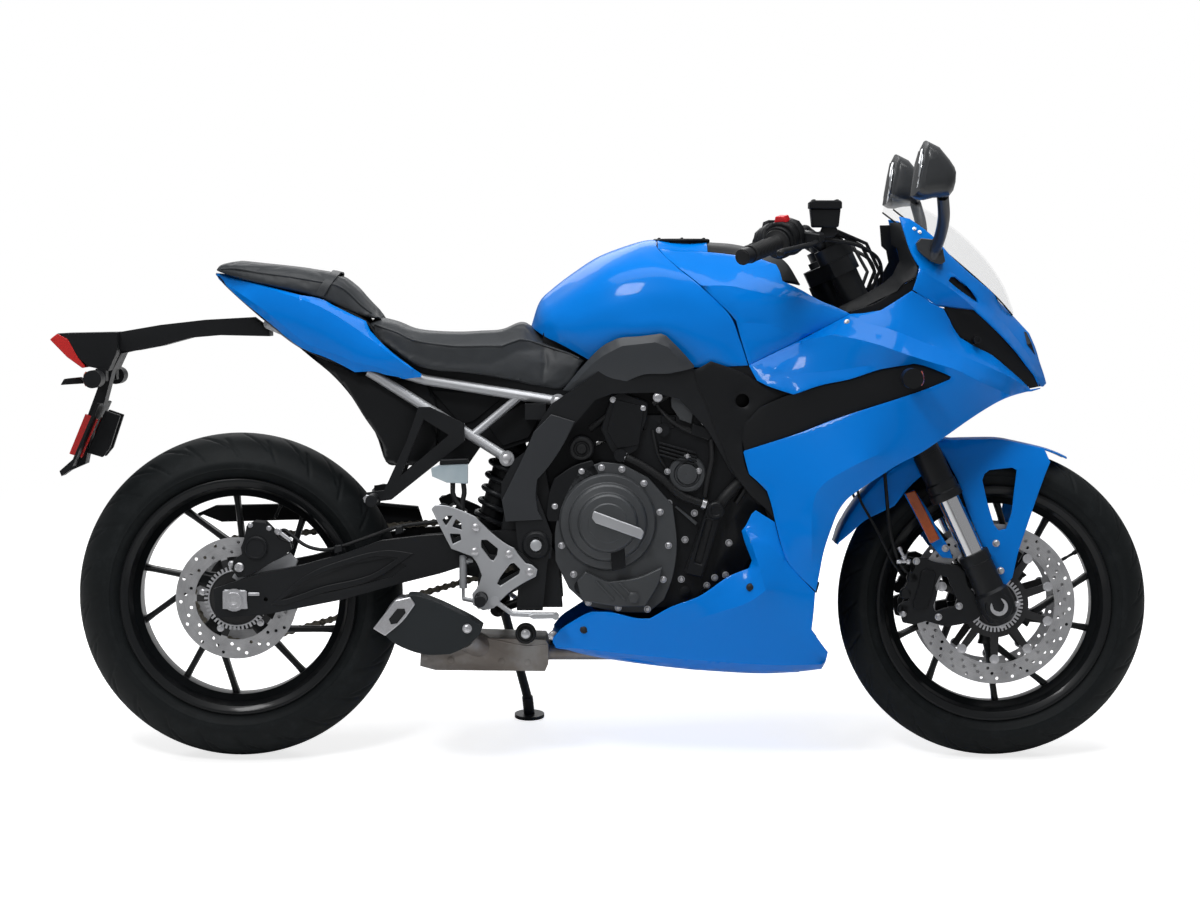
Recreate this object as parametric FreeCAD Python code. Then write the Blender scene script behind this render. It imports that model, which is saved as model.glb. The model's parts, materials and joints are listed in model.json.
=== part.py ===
import FreeCAD, Part
import os
from math import cos, radians, sin, sqrt

V = FreeCAD.Vector

# Sport bike, built upright and leaned onto its side stand at the end.
# Upright frame: X forward with 0 at the rear axle, Y to the rider's left with 0 at the
# centre plane, Z up with 0 at the ground.  Outlines are (x, z) points.

# ---------------------------------------------------------------- driving dimensions
WHEELBASE = 1465.0
RAKE = 25.0                  # steering axis from the vertical, degrees
TRAIL = 104.0
LEAN = 10.0                  # to the left, on the side stand, degrees

FRONT_TYRE_R = 300.0
FRONT_TYRE_HALF = 59.0
REAR_TYRE_R = 315.0
REAR_TYRE_HALF = 89.0
TYRE_WIDE_R = 261.0          # radius where both tyres are widest
TYRE_WALL = 11.0

BEAD_SEAT_R = 216.0
FLANGE_R = 229.0
BARREL_R = 193.0             # inner face of the rim barrel
FRONT_RIM_HALF = 45.0        # half the width between the flanges
REAR_RIM_HALF = 70.0
FLANGE_THICK = 6.0
SPOKE_WIDTH = 10.0
FRONT_HUB_HALF = 59.0        # hub ends, where the brake discs sit
REAR_HUB_HALF = 98.0

FRONT_AXLE_R = 12.5
REAR_AXLE_R = 14.0
AXLE_BORE_R = 8.0            # both axles are hollow
RUNNING_FIT = 0.05           # radial play of a turning fit
CLEARANCE = 0.3              # between seated pieces with curved faces
PANEL_GAP = 1.5              # seam between two body panels
PANEL = 3.0                  # thickness of a moulded panel

FRONT_DISC_R = 155.0
REAR_DISC_R = 117.0
DISC_THICK = 5.0
DISC_GAP = 5.0               # from a disc to what stands beside it
FENDER_LEG = 5.0             # thickness of the front fender's side legs
FENDER_GAP = 11.0            # from the front tyre to the fender
HOSE_R = 3.5
COOLANT_HOSE_R = 8.5

SPROCKET_R = 108.0
SPROCKET_Y = 104.0           # chain line from the centre plane
ENGINE_SPROCKET_R = 37.0
CHAIN_HALF_WIDTH = 10.0
CHAIN_HALF_HEIGHT = 7.5

FORK_Y = 105.0               # fork legs from the centre plane
FORK_TUBE_R = 21.5
FORK_OUTER_R = 27.0
FORK_LENGTH = 775.0          # from the front axle to the top cap
CLAMP_THICK = 30.0
LOWER_CLAMP_AT = 470.0       # undersides of the clamps above the axle, along the fork
UPPER_CLAMP_AT = 705.0
STEM_R = 16.0
HEAD_TUBE_R = 34.0
BAR_R = 11.0
LEVER_REACH = 60.0           # lever pivots ahead of the bar

ARM_INNER_Y = 118.0          # swingarm beams, inner and outer faces
ARM_OUTER_Y = 146.0
FRAME_INNER_Y = 148.0        # frame plates outside the swingarm
FRAME_OUTER_Y = 164.0
PIVOT_R = 24.0               # swingarm cross tube
SPOOL_BORE_R = 4.0           # paddock-stand bolt holes in the swingarm

STAND_LEG = 268.0
STAND_R = 11.0
STAND_PIN_R = 7.0

TUBE_R = 10.0                # subframe tubes
PEG_R = 11.0
FUEL_CAP_R = 43.0
FUEL_CAP_THICK = 12.0
PLATE_BOLT_R = 3.0
PLATE_BOLT_Y = 60.0          # plate bolts from the centre plane
PLATE_THICK = 5.0

# ---------------------------------------------------------------- reference points
FRONT_AXLE = V(WHEELBASE, 0, FRONT_TYRE_R)
REAR_AXLE = V(0, 0, REAR_TYRE_R)
PIVOT = V(576, 0, 418)
ENGINE_SPROCKET = V(652, SPROCKET_Y, 432)
FORK_OFFSET = FRONT_TYRE_R * sin(radians(RAKE)) - TRAIL * cos(radians(RAKE))
STAND_PIVOT = V(505, 112, 292)
STAND_DOWN = V(0.20, 0.52, -0.83).normalize()
STAND_BACK = V(-0.965, 0.24, 0.10).normalize()
STAND_AXIS = STAND_DOWN.cross(STAND_BACK).normalize()
CAP_CENTRE = V(858, 0, 1006)
PLATE_TOP = V(-268, 0, 690)
PLATE_FOOT = V(-320, 0, 570)
PLATE_NORMAL = V(120, 0, -52).normalize()
RIDER_PEG = (473, 321)
PILLION_PEG = (266, 508)


# ---------------------------------------------------------------- shapes used all over
def prism(outline, y0, y1):
    """A side outline run from y0 to y1."""
    wire = Part.makePolygon([V(x, y0, z) for x, z in outline + outline[:1]])
    return Part.Face(wire).extrude(V(0, y1 - y0, 0))


def box(x0, x1, y0, y1, z0, z1):
    return Part.makeBox(x1 - x0, y1 - y0, z1 - z0, V(x0, y0, z0))


def rod(p, q, radius):
    return Part.makeCylinder(radius, (q - p).Length, p, q - p)


def disc(x, z, y0, y1, radius):
    """A cylinder across the bike."""
    return Part.makeCylinder(radius, y1 - y0, V(x, y0, z), V(0, 1, 0))


def ring(x, z, y0, y1, outer, inner):
    return disc(x, z, y0, y1, outer).cut(disc(x, z, y0, y1, inner))


def pair(shape):
    """The shape and its mirror image on the other side of the bike."""
    return [shape, shape.mirror(V(0, 0, 0), V(0, 1, 0))]


def join(*shapes):
    return shapes[0].multiFuse(list(shapes[1:])).removeSplitter()


def run(points, radius):
    """A round rod along straight runs, with balls at the corners."""
    pieces = [rod(p, q, radius) for p, q in zip(points, points[1:])]
    pieces += [Part.makeSphere(radius, p) for p in points[1:-1]]
    return join(*pieces) if len(pieces) > 1 else pieces[0]


def bar_in_plane(p, q, width_p, width_q, y0, y1):
    """A flat bar from p to q, both (x, z), with its own width at each end."""
    dx, dz = q[0] - p[0], q[1] - p[1]
    length = sqrt(dx * dx + dz * dz)
    nx, nz = -dz / length / 2, dx / length / 2
    corners = [(p[0] + nx * width_p, p[1] + nz * width_p), (q[0] + nx * width_q, q[1] + nz * width_q),
               (q[0] - nx * width_q, q[1] - nz * width_q), (p[0] - nx * width_p, p[1] - nz * width_p)]
    return prism(corners, y0, y1)


def turned(profile):
    """A ring turned about the Y axis from edges drawn in the XY plane, where x is the radius."""
    face = Part.Face(Part.Wire(profile))
    return face.revolve(V(0, 0, 0), V(0, 1, 0), 360)


def hose(points, radius):
    """A round hose of straight runs joined by tangent arcs, as large as the runs allow."""
    edges = []
    start = points[0]
    for before, corner, after in zip(points, points[1:], points[2:]):
        back = (before - corner).normalize()
        ahead = (after - corner).normalize()
        cut = 0.45 * min((before - corner).Length, (after - corner).Length)
        middle = (back + ahead).normalize()
        half_cos = middle.dot(back)
        reach = cut / half_cos - cut * sqrt(1 - half_cos * half_cos) / half_cos
        edges.append(Part.LineSegment(start, corner + back * cut).toShape())
        edges.append(Part.Arc(corner + back * cut, corner + middle * reach, corner + ahead * cut).toShape())
        start = corner + ahead * cut
    edges.append(Part.LineSegment(start, points[-1]).toShape())
    circle = Part.Wire(Part.makeCircle(radius, points[0], points[1] - points[0]))
    return Part.Wire(edges).makePipeShell([circle], True, False)


def polyline(points):
    """Straight edges through (radius, y) points."""
    vectors = [V(r, y, 0) for r, y in points]
    return [Part.LineSegment(a, b).toShape() for a, b in zip(vectors, vectors[1:])]


def arc(a, b, c):
    return Part.Arc(V(a[0], a[1], 0), V(b[0], b[1], 0), V(c[0], c[1], 0)).toShape()


def sheet(rails, inside, thick=PANEL, side=1):
    """A moulded plate.  Rails are rows of (x, y, z) points on its outer face; it thickens
    towards the point `inside`, and side -1 makes the right-hand one."""
    rows, cols = len(rails), len(rails[0])
    outer = [[V(x, side * y, z) for x, y, z in rail] for rail in rails]
    core = V(inside[0], side * inside[1], inside[2])
    inner = []
    for i in range(rows):
        for j in range(cols):
            along = outer[i][min(j + 1, cols - 1)] - outer[i][max(j - 1, 0)]
            down = outer[min(i + 1, rows - 1)][j] - outer[max(i - 1, 0)][j]
            normal = along.cross(down).normalize()
            if normal.dot(core - outer[i][j]) < 0:
                normal = normal * -1
            inner.append(outer[i][j] + normal * thick)
    points = [p for row in outer for p in row] + inner
    far = rows * cols
    facets = []
    for i in range(rows - 1):
        for j in range(cols - 1):
            a, b = i * cols + j, i * cols + j + 1
            c, d = b + cols, a + cols
            facets += [(a, b, c), (a, c, d), (far + a, far + c, far + b), (far + a, far + d, far + c)]
    edge = [j for j in range(cols)] + [i * cols + cols - 1 for i in range(1, rows)]
    edge += [(rows - 1) * cols + j for j in range(cols - 2, -1, -1)]
    edge += [i * cols for i in range(rows - 2, 0, -1)]
    for a, b in zip(edge, edge[1:] + edge[:1]):
        facets += [(b, a, far + a), (b, far + a, far + b)]
    shell = Part.Shape()
    shell.makeShapeFromMesh((points, facets), 0.01)
    solid = Part.Solid(Part.Shell(shell.Faces))
    if solid.Volume < 0:
        solid.reverse()
    return solid


def hull_loft(sections):
    """A closed body through ruled cross-sections, each (x, [(y, z), ...]) of its left half."""
    wires = []
    for x, half in sections:
        ringed = [(y, z) for y, z in half] + [(-y, z) for y, z in reversed(half)]
        wires.append(Part.makePolygon([V(x, y, z) for y, z in ringed + ringed[:1]]))
    return Part.makeLoft(wires, True, True)


def fork_frame(shape):
    """Carries a shape drawn along an upright fork, with 0 at the axle, to its place."""
    shape = shape.copy()
    shape.rotate(V(0, 0, 0), V(0, 1, 0), -RAKE)
    shape.translate(FRONT_AXLE)
    return shape


def at(shape, place):
    shape = shape.copy()
    shape.translate(place)
    return shape


# ---------------------------------------------------------------- wheels
def tyre(radius, half_width, rim_half):
    """Hollow casing, open between its beads."""
    seat = BEAD_SEAT_R + CLEARANCE
    bead_out = rim_half - CLEARANCE
    bead_in = rim_half - 14.0
    neck = FLANGE_R + 2.0
    shoulder = (TYRE_WIDE_R, half_width)
    inner_shoulder = (TYRE_WIDE_R, half_width - TYRE_WALL + 2.0)
    outer = [(seat, bead_in), (seat, bead_out), (neck, bead_out), (neck + 10, half_width - 5.0), shoulder]
    inner = [inner_shoulder, (neck + 6, bead_out - 2.0), (neck, bead_in), (seat, bead_in)]
    mirrored = lambda points: [(r, -y) for r, y in reversed(points)]
    profile = polyline(outer)
    profile.append(arc(shoulder, (radius, 0), (shoulder[0], -half_width)))
    profile += polyline(mirrored(outer))
    profile += polyline(mirrored(inner))
    profile.append(arc((inner_shoulder[0], -inner_shoulder[1]), (radius - TYRE_WALL, 0), inner_shoulder))
    profile += polyline(inner)
    return turned(Part.sortEdges(profile)[0])


def rim(rim_half, hub_half, hub_r, bore_r, first_pair, root_turn, root_r, spoke_half):
    """Cast wheel: barrel with two flanges, hub, and five pairs of thin spokes."""
    edge = rim_half + FLANGE_THICK
    seat = [(FLANGE_R, -edge), (FLANGE_R, -rim_half), (BEAD_SEAT_R, -rim_half), (214, -rim_half * 0.6),
            (199, -rim_half * 0.42), (199, rim_half * 0.42), (214, rim_half * 0.6),
            (BEAD_SEAT_R, rim_half), (FLANGE_R, rim_half), (FLANGE_R, edge)]
    under = [(FLANGE_R - 18, edge), (207, rim_half * 0.68), (BARREL_R, rim_half * 0.46),
             (BARREL_R, -rim_half * 0.46), (207, -rim_half * 0.68), (FLANGE_R - 18, -edge)]
    pieces = [turned(polyline(seat + under + seat[:1]))]
    pieces.append(disc(0, 0, -hub_half, hub_half, hub_r))
    for k in range(5):
        middle = radians(first_pair + 72 * k)
        root_angle = middle - radians(root_turn)
        root = (root_r * cos(root_angle), root_r * sin(root_angle))
        start = (0.6 * hub_r * cos(root_angle), 0.6 * hub_r * sin(root_angle))
        pieces.append(bar_in_plane(start, root, SPOKE_WIDTH * 2.4, SPOKE_WIDTH * 1.8, -spoke_half,
                                   spoke_half))
        pieces.append(disc(root[0], root[1], -spoke_half, spoke_half, SPOKE_WIDTH * 0.9))
        for turn in (-radians(15.5), radians(15.5)):
            reach = BARREL_R + 3
            end = (reach * cos(middle + turn), reach * sin(middle + turn))
            pieces.append(bar_in_plane(root, end, SPOKE_WIDTH, SPOKE_WIDTH, -spoke_half * 0.7,
                                       spoke_half * 0.7))
    return join(*pieces).cut(disc(0, 0, -hub_half - 1, hub_half + 1, bore_r))


def brake_disc(y0, outer, inner, carrier_inner, buttons):
    """Drilled rotor on a carrier with one arm to each button."""
    y1 = y0 + DISC_THICK
    rotor = ring(0, 0, y0, y1, outer, inner)
    holes = []
    band = outer - inner
    for row, share in enumerate((0.25, 0.5, 0.75)):
        for k in range(buttons * 3):
            angle = radians((k + row / 3.0) * 120.0 / buttons)
            r = inner + band * share
            holes.append(disc(r * cos(angle), r * sin(angle), y0 - 1, y1 + 1, 3.2))
    rotor = rotor.cut(Part.makeCompound(holes))
    carrier_outer = carrier_inner + (inner - carrier_inner) * 0.45
    carrier = ring(0, 0, y0, y1, carrier_outer, carrier_inner)
    arms = []
    for k in range(buttons):
        angle = radians((k + 0.5) * 360.0 / buttons)
        near = ((carrier_outer - 4) * cos(angle), (carrier_outer - 4) * sin(angle))
        far = ((inner + 3) * cos(angle), (inner + 3) * sin(angle))
        arms.append(bar_in_plane(near, far, 16, 12, y0, y1))
    return join(rotor, carrier, *arms)


def front_wheel():
    bore = FRONT_AXLE_R + RUNNING_FIT
    casing = tyre(FRONT_TYRE_R, FRONT_TYRE_HALF, FRONT_RIM_HALF)
    wheel = rim(FRONT_RIM_HALF, FRONT_HUB_HALF, 38, bore, 0, 24, 84, 14)
    rotor = brake_disc(FRONT_HUB_HALF, FRONT_DISC_R, 116, 24, 10)
    return {"front_tyre": [at(casing, FRONT_AXLE)], "front_rim": [at(wheel, FRONT_AXLE)],
            "front_discs": pair(at(rotor, FRONT_AXLE))}


def rear_wheel():
    bore = REAR_AXLE_R + RUNNING_FIT
    casing = tyre(REAR_TYRE_R, REAR_TYRE_HALF, REAR_RIM_HALF)
    wheel = rim(REAR_RIM_HALF, REAR_HUB_HALF, 46, bore, 36, 22, 90, 18)
    rotor = brake_disc(-REAR_HUB_HALF - DISC_THICK, REAR_DISC_R, 80, 28, 5)
    sprocket = ring(0, 0, REAR_HUB_HALF, SPROCKET_Y + 3, SPROCKET_R, 30)
    return {"rear_tyre": [at(casing, REAR_AXLE)], "rear_rim": [at(wheel, REAR_AXLE)],
            "rear_disc": [at(rotor, REAR_AXLE)], "rear_sprocket": [at(sprocket, REAR_AXLE)]}


# ---------------------------------------------------------------- steering
def fork():
    """Upside-down fork: outer tubes held by two clamps, bright inner tubes, axle feet."""
    tube_low = 285.0
    outer = Part.makeCylinder(FORK_OUTER_R, FORK_LENGTH - 300.0, V(0, FORK_Y, 300.0))
    cap = Part.makeCylinder(FORK_OUTER_R - 5, 6, V(0, FORK_Y, FORK_LENGTH))
    bore = Part.makeCylinder(FORK_TUBE_R + CLEARANCE, 60, V(0, FORK_Y, 290))
    outer = join(outer, cap).cut(bore)
    foot = Part.makeCylinder(FORK_OUTER_R + 1, 130, V(0, FORK_Y, -30))
    foot = join(foot, Part.makeCylinder(FORK_TUBE_R, tube_low - 60, V(0, FORK_Y, 90)))
    lug = box(-115, 0, FORK_Y - 18, FORK_Y - 5, 46, 66)
    foot = join(foot, lug)
    axle_hole = Part.makeCylinder(FRONT_AXLE_R + CLEARANCE, 120, V(0, FORK_Y - 60, 0), V(0, 1, 0))
    foot = foot.cut(axle_hole)
    return {"fork_outer_tubes": pair(fork_frame(outer)), "fork_legs": pair(fork_frame(foot))}


def triple_clamps():
    """Upper and lower clamp on the stem, bored for the fork tubes."""
    stem = Part.makeCylinder(STEM_R, UPPER_CLAMP_AT + CLAMP_THICK - LOWER_CLAMP_AT + 12,
                             V(-FORK_OFFSET, 0, LOWER_CLAMP_AT))
    pieces = [stem]
    for low in (LOWER_CLAMP_AT, UPPER_CLAMP_AT):
        plan = [(-FORK_OFFSET - 30, 30), (-FORK_OFFSET - 30, -30), (-34, -FORK_Y + 18), (-20, -FORK_Y - 34),
                (20, -FORK_Y - 34), (34, -FORK_Y + 8), (8, -40), (8, 40), (34, FORK_Y - 8),
                (20, FORK_Y + 34), (-20, FORK_Y + 34), (-34, FORK_Y - 18)]
        wire = Part.makePolygon([V(x, y, low) for x, y in plan + plan[:1]])
        pieces.append(Part.Face(wire).extrude(V(0, 0, CLAMP_THICK)))
    clamps = join(*pieces)
    for side in (1, -1):
        clamps = clamps.cut(Part.makeCylinder(FORK_OUTER_R + CLEARANCE, 400,
                                              V(0, side * FORK_Y, LOWER_CLAMP_AT - 20)))
    clamps = clamps.cut(Part.makeCylinder(AXLE_BORE_R, 400, V(-FORK_OFFSET, 0, LOWER_CLAMP_AT - 20)))
    return {"triple_clamps": [fork_frame(clamps)]}


BAR_ROOT = V(1090, 138, 1017)
BAR_END = V(973, 350, 972)


def handlebars():
    """Clip-on bars: a ring above the upper clamp, its riser, the tube, and the end weight."""
    ring_low = UPPER_CLAMP_AT + CLAMP_THICK + CLEARANCE
    clip = fork_frame(Part.makeCylinder(FORK_OUTER_R + 9, 28, V(0, FORK_Y, ring_low)))
    riser = rod(fork_frame(Part.Vertex(V(0, FORK_Y, ring_low + 14))).Point, BAR_ROOT, BAR_R + 3)
    tube = rod(BAR_ROOT, BAR_END, BAR_R)
    knuckle = Part.makeSphere(BAR_R + 4, BAR_ROOT)
    weight = rod(BAR_END, BAR_END + (BAR_END - BAR_ROOT).normalize() * 26, BAR_R + 4)
    bore = fork_frame(Part.makeCylinder(FORK_OUTER_R + CLEARANCE, 120, V(0, FORK_Y, ring_low - 10)))
    return {"handlebars": pair(join(clip, riser, knuckle, tube, weight).cut(bore))}


def along_bar(start, end):
    """Two points on the left bar, by their distances from its outer end."""
    inward = (BAR_ROOT - BAR_END).normalize()
    return BAR_END + inward * start, BAR_END + inward * end


def hand_controls():
    """Rubber grips, switch housings, levers with perches, and the front brake reservoir."""
    grip_near, grip_far = along_bar(CLEARANCE, 125)
    grip = rod(grip_near, grip_far, BAR_R + 5)
    flange = rod(*along_bar(118, 125), BAR_R + 11)
    grip = join(grip, flange).cut(rod(*along_bar(-5, 200), BAR_R + CLEARANCE))
    box_near, box_far = along_bar(127, 168)
    middle = (box_near + box_far) * 0.5
    switch = join(rod(box_near, box_far, BAR_R + 18),
                  box(middle.x - 20, middle.x + 26, middle.y - 18, middle.y + 18, middle.z, middle.z + 44))
    perch_near, perch_far = along_bar(170, 190)
    perch = rod(perch_near, perch_far, BAR_R + 6)
    centre = (perch_near + perch_far) * 0.5
    perch = join(perch, box(centre.x, centre.x + LEVER_REACH + 4, centre.y - 12, centre.y + 12,
                            centre.z - 10, centre.z + 8))
    lever_root = V(centre.x + LEVER_REACH, centre.y, centre.z)
    outward = (BAR_END - BAR_ROOT).normalize()
    lever = run([lever_root, lever_root + outward * 60 + V(10, 0, 0),
                 lever_root + outward * 165 + V(-4, 0, 4),
                 lever_root + outward * 178 + V(-2, 0, 2)], 5)
    perch = join(perch, lever).cut(rod(*along_bar(0, 300), BAR_R + CLEARANCE))
    switch = switch.cut(rod(*along_bar(0, 300), BAR_R + CLEARANCE)).cut(perch)
    reservoir = box(1098, 1158, -196, -150, 1032, 1076)
    bracket = rod(V(1128, -162, 1040), V(1098, -143, 1018), 5)
    reservoir = join(reservoir, bracket)
    right = [s.mirror(V(0, 0, 0), V(0, 1, 0)) for s in (switch, perch)]
    reservoir = reservoir.cut(right[1])
    controls = [switch, perch] + right + [reservoir]
    grips = pair(grip)
    return {"grips": grips, "hand_controls": [shape.cut(grips[0]).cut(grips[1]) for shape in controls]}


def front_axle():
    """Hollow axle with its end flanges and the spacers beside the hub."""
    reach = FORK_Y + FORK_OUTER_R + 1
    shaft = disc(0, 0, -reach, reach, FRONT_AXLE_R)
    spacer = ring(0, 0, FRONT_HUB_HALF + DISC_THICK + 1, FORK_Y - FORK_OUTER_R - 2, 17, FRONT_AXLE_R)
    head = ring(0, 0, reach, reach + 5, 17, AXLE_BORE_R)
    shape = join(shaft, *pair(spacer), *pair(head)).cut(disc(0, 0, -reach - 9, reach + 9, AXLE_BORE_R))
    return {"front_axle": [at(shape, FRONT_AXLE)]}


def caliper(inner_r, outer_r, from_angle, to_angle, y0, y1, disc_y, disc_r):
    """A block that follows the disc's edge, with the slot that the disc runs in."""
    middle = (inner_r + outer_r) / 2
    reach = 2.2 * middle
    block = ring(0, 0, y0, y1, outer_r, inner_r)
    a, b = radians(from_angle), radians(to_angle)
    wedge = prism([(0, 0), (reach * cos(a), reach * sin(a)), (reach * cos(b), reach * sin(b))], y0 - 1,
                  y1 + 1)
    slot = disc(0, 0, disc_y - DISC_GAP, disc_y + DISC_THICK + DISC_GAP, disc_r + DISC_GAP)
    return block.common(wedge).cut(slot)


def front_calipers():
    block = caliper(104, 183, 157, 203, 42, 92, FRONT_HUB_HALF, FRONT_DISC_R)
    return {"front_calipers": pair(at(block, FRONT_AXLE))}


def front_fender():
    """Mudguard over the tyre with its side legs in front of the fork feet."""
    inner_r = FRONT_TYRE_R + FENDER_GAP
    outer_r = inner_r + PANEL
    leg_in = FRONT_HUB_HALF + DISC_THICK + DISC_GAP + 1
    half = leg_in + FENDER_LEG
    outline = [(outer_r - 44, half), (outer_r - 14, half - 6), (outer_r - 4, half - 24), (outer_r, 18),
               (outer_r, -18),
               (outer_r - 4, 24 - half), (outer_r - 14, 6 - half), (outer_r - 44, -half)]
    inside = [(outer_r - 44, -half + PANEL), (inner_r - 14, 8.5 - half), (inner_r - 4, 25 - half),
              (inner_r, -18), (inner_r, 18), (inner_r - 4, half - 25), (inner_r - 14, half - 8.5),
              (outer_r - 44, half - PANEL)]
    hoop = at(turned(polyline(outline + inside + outline[:1])), FRONT_AXLE)
    keep = [(1165, 400), (1152, 420), (1186, 500), (1235, 560), (1330, 630), (1480, 640), (1640, 600),
            (1636, 574), (1570, 566), (1500, 560), (1440, 552), (1376, 566), (1330, 552), (1310, 530),
            (1269, 490), (1240, 477), (1211, 461), (1182, 436)]
    hoop = hoop.common(prism(keep, -half - 5, half + 5))
    leg = [(1382, 566), (1352, 596), (1400, 580), (1548, 580), (1566, 566), (1536, 500), (1514, 430),
           (1497, 380),
           (1488, 352), (1474, 342), (1462, 352), (1445, 410), (1418, 470)]
    window = [(1438, 552), (1500, 556), (1494, 500), (1482, 460), (1466, 448), (1456, 470)]
    plate = prism(leg, leg_in, half).cut(prism(window, leg_in - 1, half + 1))
    stay = prism([(1262, 520), (1300, 540), (1362, 440), (1385, 386), (1362, 376), (1330, 430)], leg_in,
                 half)
    bosses = join(rod(V(1466, half - 1, 362), V(1462, FORK_Y - 1, 362), 6),
                  rod(V(1378, half - 1, 392), V(1424, FORK_Y - 7, 392), 5))
    fork_foot = fork_frame(Part.makeCylinder(FORK_OUTER_R + 1 + CLEARANCE, 170, V(0, FORK_Y, -30)))
    side = join(plate, stay, bosses.cut(fork_foot))
    shape = join(hoop, *pair(side))
    return {"front_fender": [shape]}


# ---------------------------------------------------------------- frame and engine
def main_frame():
    """Head tube and yoke, two bolted-on beams outside the swingarm, and cross pieces."""
    beam = [(1096, 842), (990, 764), (880, 756), (780, 762), (700, 756), (660, 726), (606, 690), (573, 636),
            (556, 599), (536, 584), (511, 540), (511, 506), (537, 476), (540, 440), (546, 396), (576, 384),
            (606, 396), (608, 440), (579, 517), (580, 547), (594, 562), (625, 606), (651, 652), (690, 698),
            (722, 710), (800, 712), (850, 700), (905, 640), (950, 560), (1000, 500), (1030, 486), (1060,
                                                                                                   520),
            (1080, 620), (1096, 700)]
    beam = prism(beam, FRAME_INNER_Y, FRAME_OUTER_Y)
    head_low = LOWER_CLAMP_AT + CLAMP_THICK + CLEARANCE
    head_high = UPPER_CLAMP_AT - CLEARANCE
    head = Part.makeCylinder(HEAD_TUBE_R, head_high - head_low, V(-FORK_OFFSET, 0, head_low))
    head = fork_frame(head)
    plan = [(1040, FRAME_INNER_Y), (1096, FRAME_OUTER_Y), (1160, 34), (1160, -34), (1096, -FRAME_OUTER_Y),
            (1040, -FRAME_INNER_Y), (1058, -96), (1100, -30), (1100, 30), (1058, 96)]
    wire = Part.makePolygon([V(x, y, 770) for x, y in plan + plan[:1]])
    yoke = Part.Face(wire).extrude(V(0, 0, 54))
    neck = box(1130, 1180, -24, 24, 775, 822)
    cross = box(556, 596, -FRAME_INNER_Y, FRAME_INNER_Y, 660, 690)
    low_cross = box(548, 590, -FRAME_INNER_Y, FRAME_INNER_Y, 296, 326)
    low_plate = prism([(540, 296), (590, 296), (600, 400), (546, 400)], FRAME_INNER_Y, FRAME_OUTER_Y)
    stand_lug = rod(STAND_PIVOT - STAND_AXIS * 36, STAND_PIVOT - STAND_AXIS * 10.5, 13)
    stand_arm = rod(STAND_PIVOT - STAND_AXIS * 31, V(566, 80, 302), 9)
    bosses = [disc(1024, 548, FRAME_OUTER_Y, 202, 8), disc(1088, 792, FRAME_OUTER_Y, 200, 8)]
    beam = join(beam, low_plate, *bosses)
    pin = rod(STAND_PIVOT - STAND_AXIS * 11, STAND_PIVOT + STAND_AXIS * 11, STAND_PIN_R)
    pin_head = rod(STAND_PIVOT + STAND_AXIS * 10.5, STAND_PIVOT + STAND_AXIS * 15, 12)
    pivot_bolt = disc(PIVOT.x, PIVOT.z, -FRAME_OUTER_Y - 7, FRAME_OUTER_Y + 7, 12)
    bolt_heads = pair(disc(PIVOT.x, PIVOT.z, FRAME_OUTER_Y, FRAME_OUTER_Y + 7, 17))
    bolt = join(pivot_bolt, *bolt_heads).cut(disc(PIVOT.x, PIVOT.z, -200, 200, 6))
    stem_bore = Part.makeCylinder(STEM_R + RUNNING_FIT, 400, V(-FORK_OFFSET, 0, 400))
    beam = beam.cut(bolt).cut(disc(971, 697, -400, 400, 14))
    beams = pair(beam)
    yoke = join(yoke, neck, head).cut(fork_frame(stem_bore)).cut(beams[0]).cut(beams[1])
    low_cross = join(low_cross, stand_lug, stand_arm, pin, pin_head)
    return {"main_frame": [yoke, cross, low_cross, bolt], "frame_beams": beams}


def swingarm():
    """Two beams joined by the pivot tube and a cross box in front of the tyre."""
    outline = [(-40, 336), (50, 366), (128, 381), (209, 403), (280, 428), (354, 437), (400, 440),
               (520, 448),
               (576, 446), (600, 430), (600, 404), (576, 388), (520, 384), (427, 376), (393, 365), (324,
                                                                                                    348),
               (205, 315), (128, 300), (57, 286), (-36, 280)]
    beam = prism(outline, ARM_INNER_Y, ARM_OUTER_Y)
    recess = prism([(86, 310), (144, 352), (226, 384), (296, 396), (330, 380), (300, 358), (205, 334)],
                   ARM_OUTER_Y - 4, ARM_OUTER_Y + 1)
    beam = beam.cut(recess)
    tube = disc(PIVOT.x, PIVOT.z, -ARM_OUTER_Y, ARM_OUTER_Y, PIVOT_R)
    brace = prism([(346, 352), (346, 424), (392, 428), (424, 420), (424, 378)], -ARM_INNER_Y, ARM_INNER_Y)
    shock_lug = prism([(424, 378), (424, 408), (462, 380), (478, 362), (462, 348), (440, 352)], -14, 14)
    shape = join(*pair(beam), tube, brace, shock_lug)
    shape = shape.cut(disc(0, REAR_TYRE_R, -ARM_OUTER_Y - 1, ARM_OUTER_Y + 1, REAR_AXLE_R + CLEARANCE))
    shape = shape.cut(disc(PIVOT.x, PIVOT.z, -ARM_OUTER_Y - 1, ARM_OUTER_Y + 1, 12 + CLEARANCE))
    for side in (1, -1):
        spool = Part.makeCylinder(SPOOL_BORE_R, 20, V(60, side * (ARM_OUTER_Y - 20), 316), V(0, side, 0))
        shape = shape.cut(spool)
    return {"swingarm": [shape]}


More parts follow.
